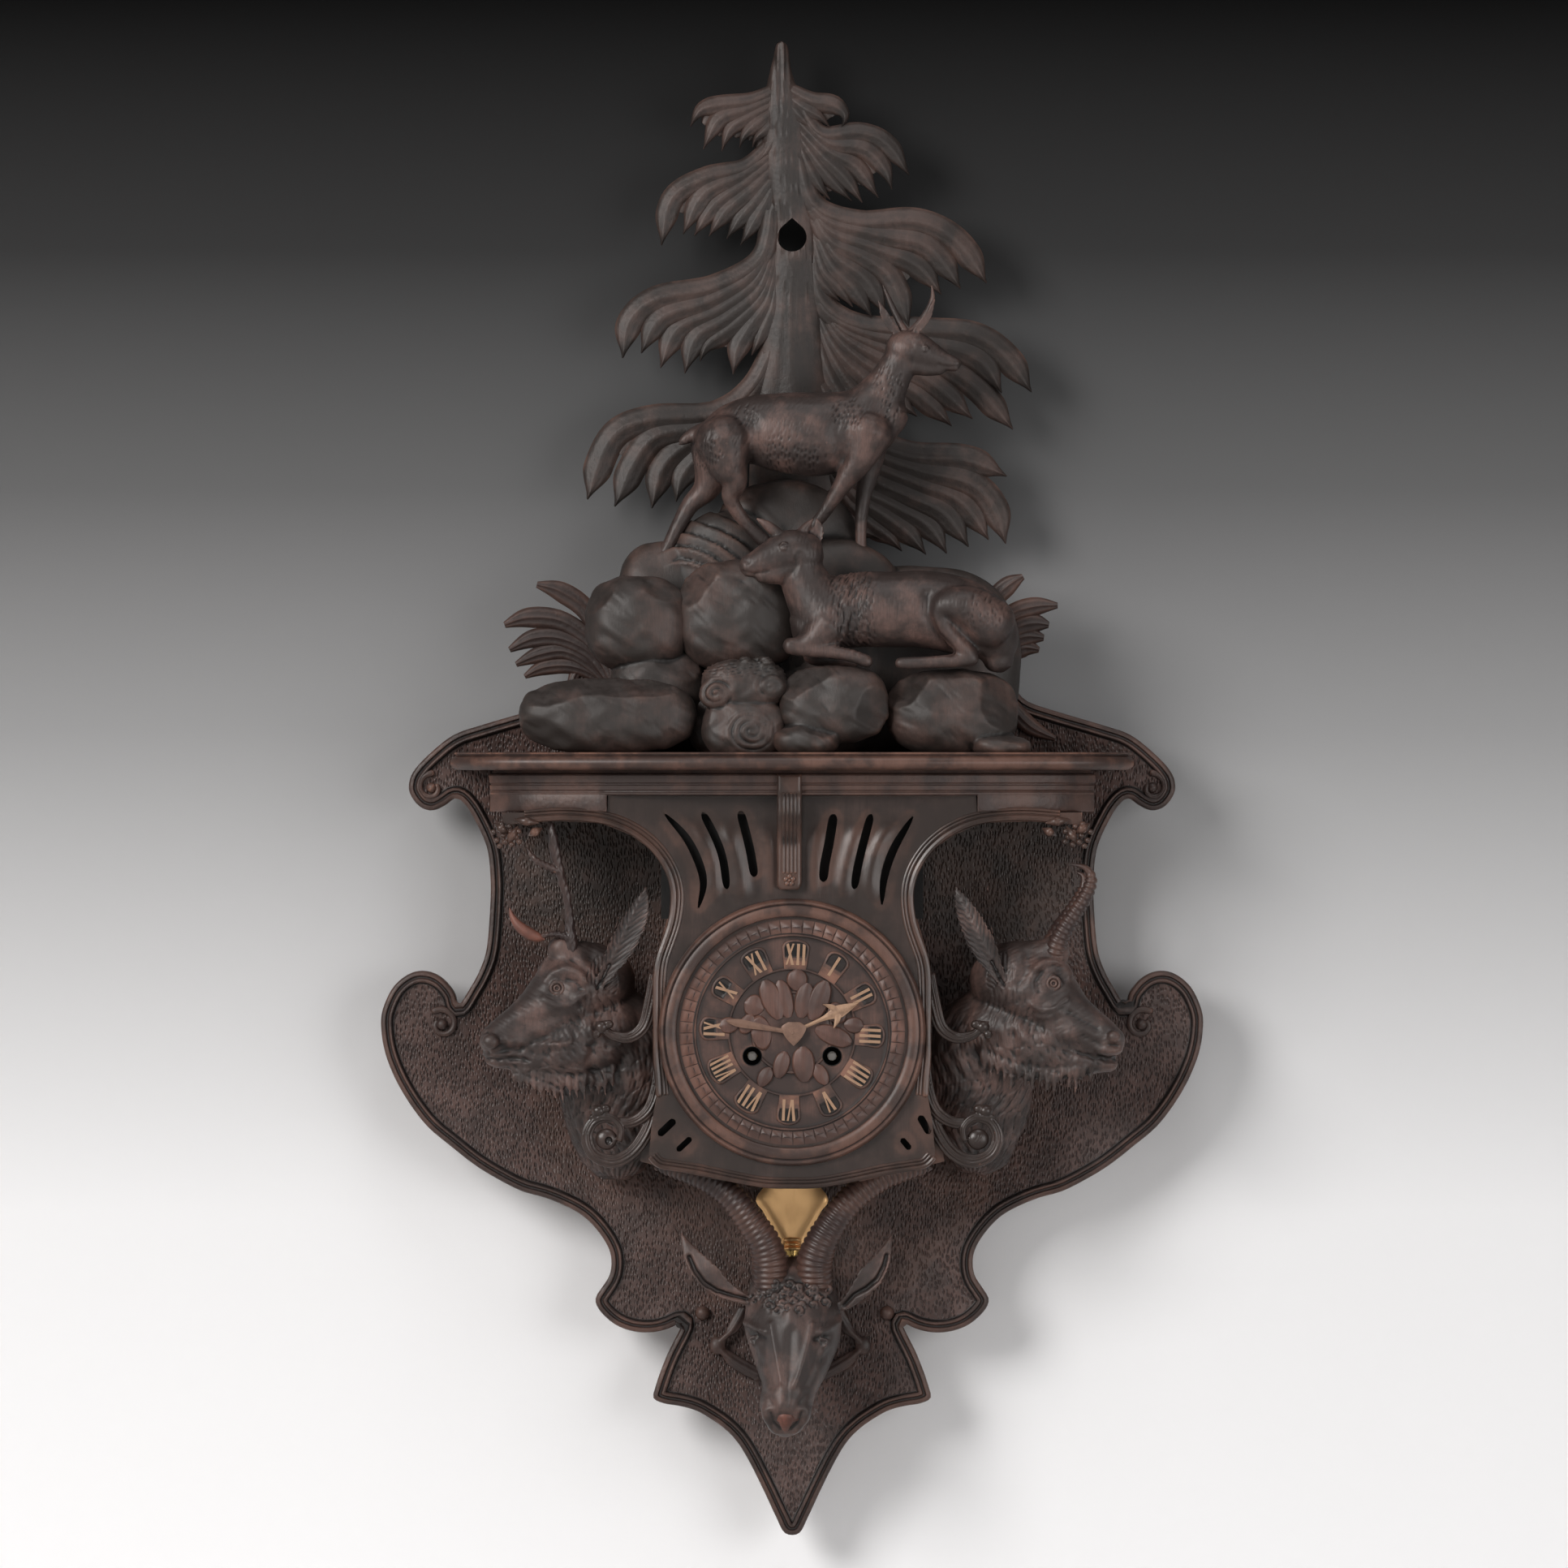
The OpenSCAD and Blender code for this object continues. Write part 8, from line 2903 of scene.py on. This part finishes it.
@dataclass
class LyingChamois:
    """The chamois that lies on the boulders and looks to the left."""

    d: float = 92.0

    def build(self, shop: Workshop) -> None:
        """Carves and dresses it.

        Args:
            shop: The workshop, with its finishes.
        """
        d = self.d
        block = Carver()
        limb = block.limb
        limb([(14.7, -222.6, d, 17), (24.8, -216.2, d-1, 20.5), (38.6, -213.4, d-2, 21.5),
              (57.0, -213.4, d-2, 21.5),
              (75.4, -213.4, d-2, 22), (93.8, -217.1, d-2, 22), (106.7, -224.0, d-2, 20),
              (114.1, -233.2, d-2, 15.5),
              (116.4, -241.0, d-2, 9)], around=26, per_span=5, flat=0.86)
        limb([(22.1, -218.5, d+2, 20), (13.8, -208.8, d+2, 17), (7.4, -197.8, d+3, 14),
              (3.7, -188.6, d+4, 12.5)],
             around=22, flat=0.85)
        limb([(6.4, -182.2, d+4, 12.5), (-1.8, -180.8, d+6, 12.5), (-11.0, -184.0, d+8, 10.2),
              (-18.4, -187.2, d+10, 8.2),
              (-23.9, -189.1, d+11, 6.6)], around=22, flat=0.9)
        limb([(0.9, -189.5, d+5, 9), (-8.7, -192.7, d+8, 7.0), (-16.6, -193.7, d+10, 5.4)],
             around=16)
        limb([(111.3, -220.8, d+8, 15), (99.4, -212.5, d+12, 12.5), (87.4, -211.6, d+14, 9.2),
              (82.8, -216.2, d+14, 6.2),
              (86.0, -224.0, d+14, 5.2), (92.9, -231.8, d+13, 4.8), (99.4, -238.3, d+12, 4.8)],
              around=18)
        limb([(101.2, -241.0, d+12, 4.6), (90.2, -242.4, d+13, 4.0), (78.2, -243.3, d+13, 3.6),
              (67.2, -243.8, d+13, 3.8),
              (60.7, -243.8, d+13, 3.4)], around=14)
        limb([(18.4, -224.0, d+8, 13), (11.0, -230.9, d+11, 8.5), (3.7, -234.1, d+13, 5.4),
              (-0.9, -234.1, d+14, 5.0)], around=16)
        limb([(0.0, -234.6, d+14, 4.9), (11.0, -236.4, d+14, 4.3), (24.8, -237.8, d+14, 3.9),
              (35.0, -240.1, d+14, 3.9),
              (42.3, -242.9, d+14, 3.8)], around=14)
        limb([(15.6, -230.9, d-8, 9), (11.0, -239.2, d-8, 5.5), (24.8, -242.0, d-8, 4.5),
              (34.0, -242.9, d-8, 4)], around=14)
        block.fused(1.1, 7, 0.5)

        def forms(p: np.ndarray, n: np.ndarray) -> np.ndarray:
            """Returns the folds of haunch and shoulder, and the mouth.

            Args:
                p: The places on the skin, one row each.
                n: The normal of the skin at each place.

            Returns:
                How far each place moves outward, in millimetres.
            """
            return smoothstep(-0.1, 0.4, n[:, 2]) * raised(p, (
                (((76.4, -205.6), (75.4, -217.1), (81.0, -228.6), (89.2, -236.9)), 2.6, -1.7),
                (((31.7, -195.0), (36.8, -210.2), (34.0, -228.6)), 3.0, -1.2),
                (((-28.5, -192.3), (-21.2, -193.7), (-13.8, -192.3)), 0.8, -0.9),
                (((-26.2, -185.8), (-24.4, -187.2)), 1.0, -0.9),
                (((3.7, -182.2), (0.9, -191.4), (-4.6, -196.9)), 1.8, -0.9)))

        block.pressed(forms)
        eye(block, -4.6, -178.0, 2.3, lean=12.0)
        ear(block, [(9.2, -177.6, d+4, 1.6), (12.9, -173.0, d+4, 4.2), (14.7, -167.4, d+3, 3.2),
                    (13.8, -161.9, d+3, 0.3)], thick=2.2)
        limb([(-4.6, -174.8, d+7, 4.0), (-10.1, -169.3, d+8, 3.4), (-14.7, -165.6, d+9, 2.6),
              (-19.8, -162.4, d+10, 0.7)], around=12)
        limb([(3.7, -173.0, d+5, 3.8), (6.4, -169.3, d+5, 3.2), (8.7, -166.1, d+5, 2.4),
              (11.5, -162.8, d+5, 0.6)], around=12)
        block.fused(0.66, 1, 0.45)

        def fur(p: np.ndarray, n: np.ndarray) -> np.ndarray:
            """Returns the banded mane on the shoulder and the nicks of the flank.

            Args:
                p: The places on the skin, one row each.
                n: The normal of the skin at each place; not used.

            Returns:
                How far each place moves outward, in millimetres.
            """
            s = -p[:, 1] * 0.97 + p[:, 0] * 0.1
            q = p[:, 0] * 0.95 + p[:, 2] * 0.35
            mane = smoothstep(26, 14, near_line(p, [(33.1, -196.4), (35.0, -226.3)]) * 1.7)
            tufts = locks(s, q, 9.0, 3.4, 6.0) - 0.45
            rump = smoothstep(17, 8, np.hypot(p[:, 0] - 108, p[:, 1] + 214))
            calm = nicks(s, q, 5.0, 1.6, 8.0, 0.5)
            out = mane * (0.9 * tufts - 0.7 * nicks(s, q, 4.4, 1.6, 7.0, 0.8))
            return out - rump * 0.6 * nicks(s, q, 3.6, 2.0, 9.0, 0.7) - 0.17 * calm

        block.pressed(fur)
        block.done("chamois_lying", shop[Finish.FUR], instead=["lying_chamois"], slot="carved_wood",
                   crease=ROUNDED)


class Beasts:
    """All the carved beasts of the clock."""

    def build(self, shop: Workshop) -> None:
        """Carves each of them.

        Args:
            shop: The workshop, with its finishes.
        """
        for piece in (ROEBUCK, CHAMOIS, ANTLERS, CHAMOIS_HORNS, Ibex(), StandingChamois(),
                      LyingChamois()):
            piece.build(shop)


@dataclass
class Pendulum:
    """The gilt baluster bob that hangs below the case."""

    tip: float = -585.0
    depth: float = 29.0
    half: Sequence[Flat] = (
        (6.6, 9.4), (8.2, 15), (11.0, 20), (14.2, 25.5), (17.0, 30.5), (19.6, 33.6), (20.6, 36.4),
        (19.4, 39.6),
        (16.6, 43), (15.2, 48), (15.6, 54), (19.5, 59), (24.5, 63.5), (28.6, 69), (29.6, 74.5),
        (27.0, 80), (21.5, 84.2), (15.5, 86.6), (10, 87.4),
    )

    def build(self, shop: Workshop) -> None:
        """Presses and dresses the bob.

        Args:
            shop: The workshop, with its finishes.
        """
        right = [(x, self.tip + y) for x, y in spline(self.half, 4)]
        loop = [(0.0, right[0][1])] + right + [(0.0, right[-1][1])] + mirrored(right)
        block = Carver()
        edge = evenly(loop, 1.6, closed=True)
        block.slab(edge, self.depth - 4.6, self.depth + 1.0, 1.3)

        def domed(p: np.ndarray, n: np.ndarray) -> np.ndarray:
            """Returns the rounding of the pressed front."""
            t = np.clip(near_line(p, list(edge) + [edge[0]]) / 8.0, 0.0, 1.0)
            return (n[:, 2] > 0.5) * 1.7 * np.sqrt(1 - (1 - t) ** 2)

        block.pressed(domed)
        block.done("gilt_bob", shop[Finish.BOB], body="pendulum", instead=["pendulum_bob"],
                   slot="gilt_brass", crease=40.0)
        rings = Carver()
        for y, wide, deep in ((13.8, 5.2, 1.5), (11.2, 4.4, 1.3), (8.8, 4.9, 1.4)):
            rings.ball((0.0, self.tip + y, self.depth + 2.8), (wide, deep, 2.6), around=20)
        rings.done("bob_rings", shop[Finish.BOB], body="pendulum", slot="gilt_brass")


@dataclass
class Studio:
    """The floor, the backdrop, the lamps and the camera, in metres of the shared frame."""

    middle: Point = (-0.0046, 0.0, -0.3119)
    width: float = 0.8887
    away: float = 7.5
    focus: float = -0.06
    sensor: float = 36.0
    floor_z: float = -0.93
    floor_half: float = 6.0
    wall_half: float = 2.2
    wall_y: float = 0.03
    # The heights between which the wall darkens, and its grey at shares of the way up.
    shaded: Flat = (-0.76, 0.14)
    greys: Sequence[Flat] = ((0.0, 0.92), (0.225, 0.81), (0.378, 0.545), (0.532, 0.29),
                             (0.685, 0.118), (0.838, 0.034), (1.0, 0.005))
    # The name, place, size, power and colour of each lamp.
    spots: Sequence[tuple[str, Point, float, float, Point]] = (
        ("key", (-1.9, -2.6, 0.75), 1.5, 80.0, (1.0, 0.97, 0.945)),
        ("fill", (1.9, -2.6, -0.35), 1.9, 34.0, (1.0, 0.98, 0.97)),
        ("top", (0.2, -1.2, 1.7), 1.0, 9.0, (1.0, 1.0, 1.0)),
        ("back", (0.9, 2.4, 0.5), 1.6, 20.0, (1.0, 0.98, 0.96)),
        ("card", (-0.26, -4.0, -0.68), 0.6, 2.4, (1.0, 0.98, 0.95)),
    )

    def build(self) -> None:
        """Sets the stage."""
        self.floor()
        self.backdrop()
        self.lamps()
        self.camera()

    def floor(self) -> None:
        """Lays the plain pale floor."""
        bm = bmesh.new()
        bmesh.ops.create_grid(bm, x_segments=1, y_segments=1, size=self.floor_half,
                              matrix=Matrix.Translation((0, 0, self.floor_z)))
        self.place(bm, "floor", self.plain("pale floor", (0.62, 0.61, 0.60)))

    def backdrop(self) -> None:
        """Hangs the wall behind the clock, dark above and pale below, open from behind."""
        bm = bmesh.new()
        foot = Matrix.Translation((0, self.wall_y, self.floor_z + self.wall_half))
        bmesh.ops.create_grid(bm, x_segments=1, y_segments=1, size=self.wall_half,
                              matrix=foot @ Matrix.Rotation(math.radians(90), 4, "X"))
        mat, n = painted("shaded wall")
        split = n.add("SeparateXYZ")
        n.set(split, Vector=n.add("TexCoord").outputs["Object"])
        ramp = n.add("ValToRGB")
        height = n.add("MapRange")
        low, high = self.shaded
        n.set(height, i0=split.outputs["Z"], i1=low, i2=high, i3=0.0, i4=1.0)
        n.set(ramp, Fac=height.outputs[0])
        band = ramp.color_ramp
        while len(band.elements) < len(self.greys):
            band.elements.new(0.5)
        for element, (at, grey) in zip(band.elements, self.greys):
            element.position = at
            element.color = (grey * 0.99, grey, grey * 1.02, 1)
        paint = n.set(n.add("BsdfDiffuse"), Color=ramp.outputs[0])
        clear = n.add("BsdfTransparent")
        both = n.add("MixShader")
        n.set(both, i0=n.add("NewGeometry").outputs["Backfacing"], i1=paint.outputs[0],
              i2=clear.outputs[0])
        n.end(both)
        self.place(bm, "backdrop", mat)

    @staticmethod
    def plain(name: str, colour: Point) -> bpy.types.Material:
        """Returns a matt paint.

        Args:
            name: The name of the material.
            colour: The colour.

        Returns:
            The material.
        """
        mat, n = painted(name)
        n.end(n.set(n.add("BsdfPrincipled"), Base_Color=(*colour, 1), Roughness=0.9))
        return mat

    @staticmethod
    def place(bm: bmesh.types.BMesh, name: str, mat: bpy.types.Material) -> None:
        """Sets a piece of the stage.

        Args:
            bm: The mesh, which is freed.
            name: The name of the piece.
            mat: The material.
        """
        mesh = bpy.data.meshes.new(name)
        bm.to_mesh(mesh)
        bm.free()
        mesh.materials.append(mat)
        piece = bpy.data.objects.new(name, mesh)
        bpy.context.scene.collection.objects.link(piece)

    def lamps(self) -> None:
        """Hangs the soft lamps and sets the world."""
        for name, at, size, power, colour in self.spots:
            light = bpy.data.lights.new(name, "AREA")
            light.shape = "DISK"
            light.size = size
            light.energy = power
            light.color = colour
            lamp = bpy.data.objects.new(name, light)
            lamp.location = at
            aim = Vector(self.middle) - Vector(at)
            lamp.rotation_euler = aim.to_track_quat("-Z", "Y").to_euler()
            bpy.context.scene.collection.objects.link(lamp)
        world = bpy.data.worlds.new("studio")
        bpy.context.scene.world = world
        world.use_nodes = True
        n = Nodes(world.node_tree)
        n.end(n.set(n.add("Background"), Color=(1.0, 0.97, 0.95, 1), Strength=0.17), world=True)

    def camera(self) -> None:
        """Sets the camera square to the front."""
        cam = bpy.data.cameras.new("camera")
        cam.sensor_fit = "HORIZONTAL"
        cam.sensor_width = self.sensor
        cam.lens = self.sensor * self.away / self.width
        cam.clip_end = 100.0
        obj = bpy.data.objects.new("camera", cam)
        obj.location = (self.middle[0], self.focus - self.away, self.middle[2])
        obj.rotation_euler = (math.radians(90), 0, 0)
        bpy.context.scene.collection.objects.link(obj)
        bpy.context.scene.camera = obj


def dress_movement(frame: dict, shop: Workshop) -> None:
    """Gives the solids that stay their finishes.

    Args:
        frame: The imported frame.
        shop: The finishes.
    """
    finishes = {
        Finish.BRASS: ("front_plate", "back_plate", "pillars", "holding_straps",
                       "suspension_cock", "centre_arbor", "hour_wheel", "minute_wheel",
                       "going_barrel", "strike_barrel", "intermediate_wheel", "third_wheel",
                       "escape_wheel", "pin_wheel", "fly", "rating_nut"),
        Finish.BELL: ("bell",),
        Finish.STEEL: ("bell_stand", "going_arbor", "strike_arbor", "anchor", "hammer",
                       "pendulum_rod", "back_cover"),
        Finish.CASE: ("case_sides",),
    }
    owner = {name: finish for finish, names in finishes.items() for name in names}
    for name, obj in frame["nodes"].items():
        finish = owner.get(name, Finish.CARVING)
        obj.data.materials.clear()
        obj.data.materials.append(shop[finish])


PARTS: tuple[type, ...] = (Backboard, Tree, Ferns, Rocks, ShelfAndCornice, CaseFront, Dial, Beasts,
                           Pendulum)


def main() -> None:
    """Builds the clock, class by class, and lights it."""
    logging.basicConfig(level=logging.INFO, format="%(message)s")
    scene = bpy.context.scene
    scene.view_settings.view_transform = "Standard"
    shop = Workshop()
    dress_movement(frame, shop)
    for part in PARTS:
        part().build(shop)
        LOG.info("%s is built", part.__name__)
    Studio().build()


if __name__ == "__main__":
    main()
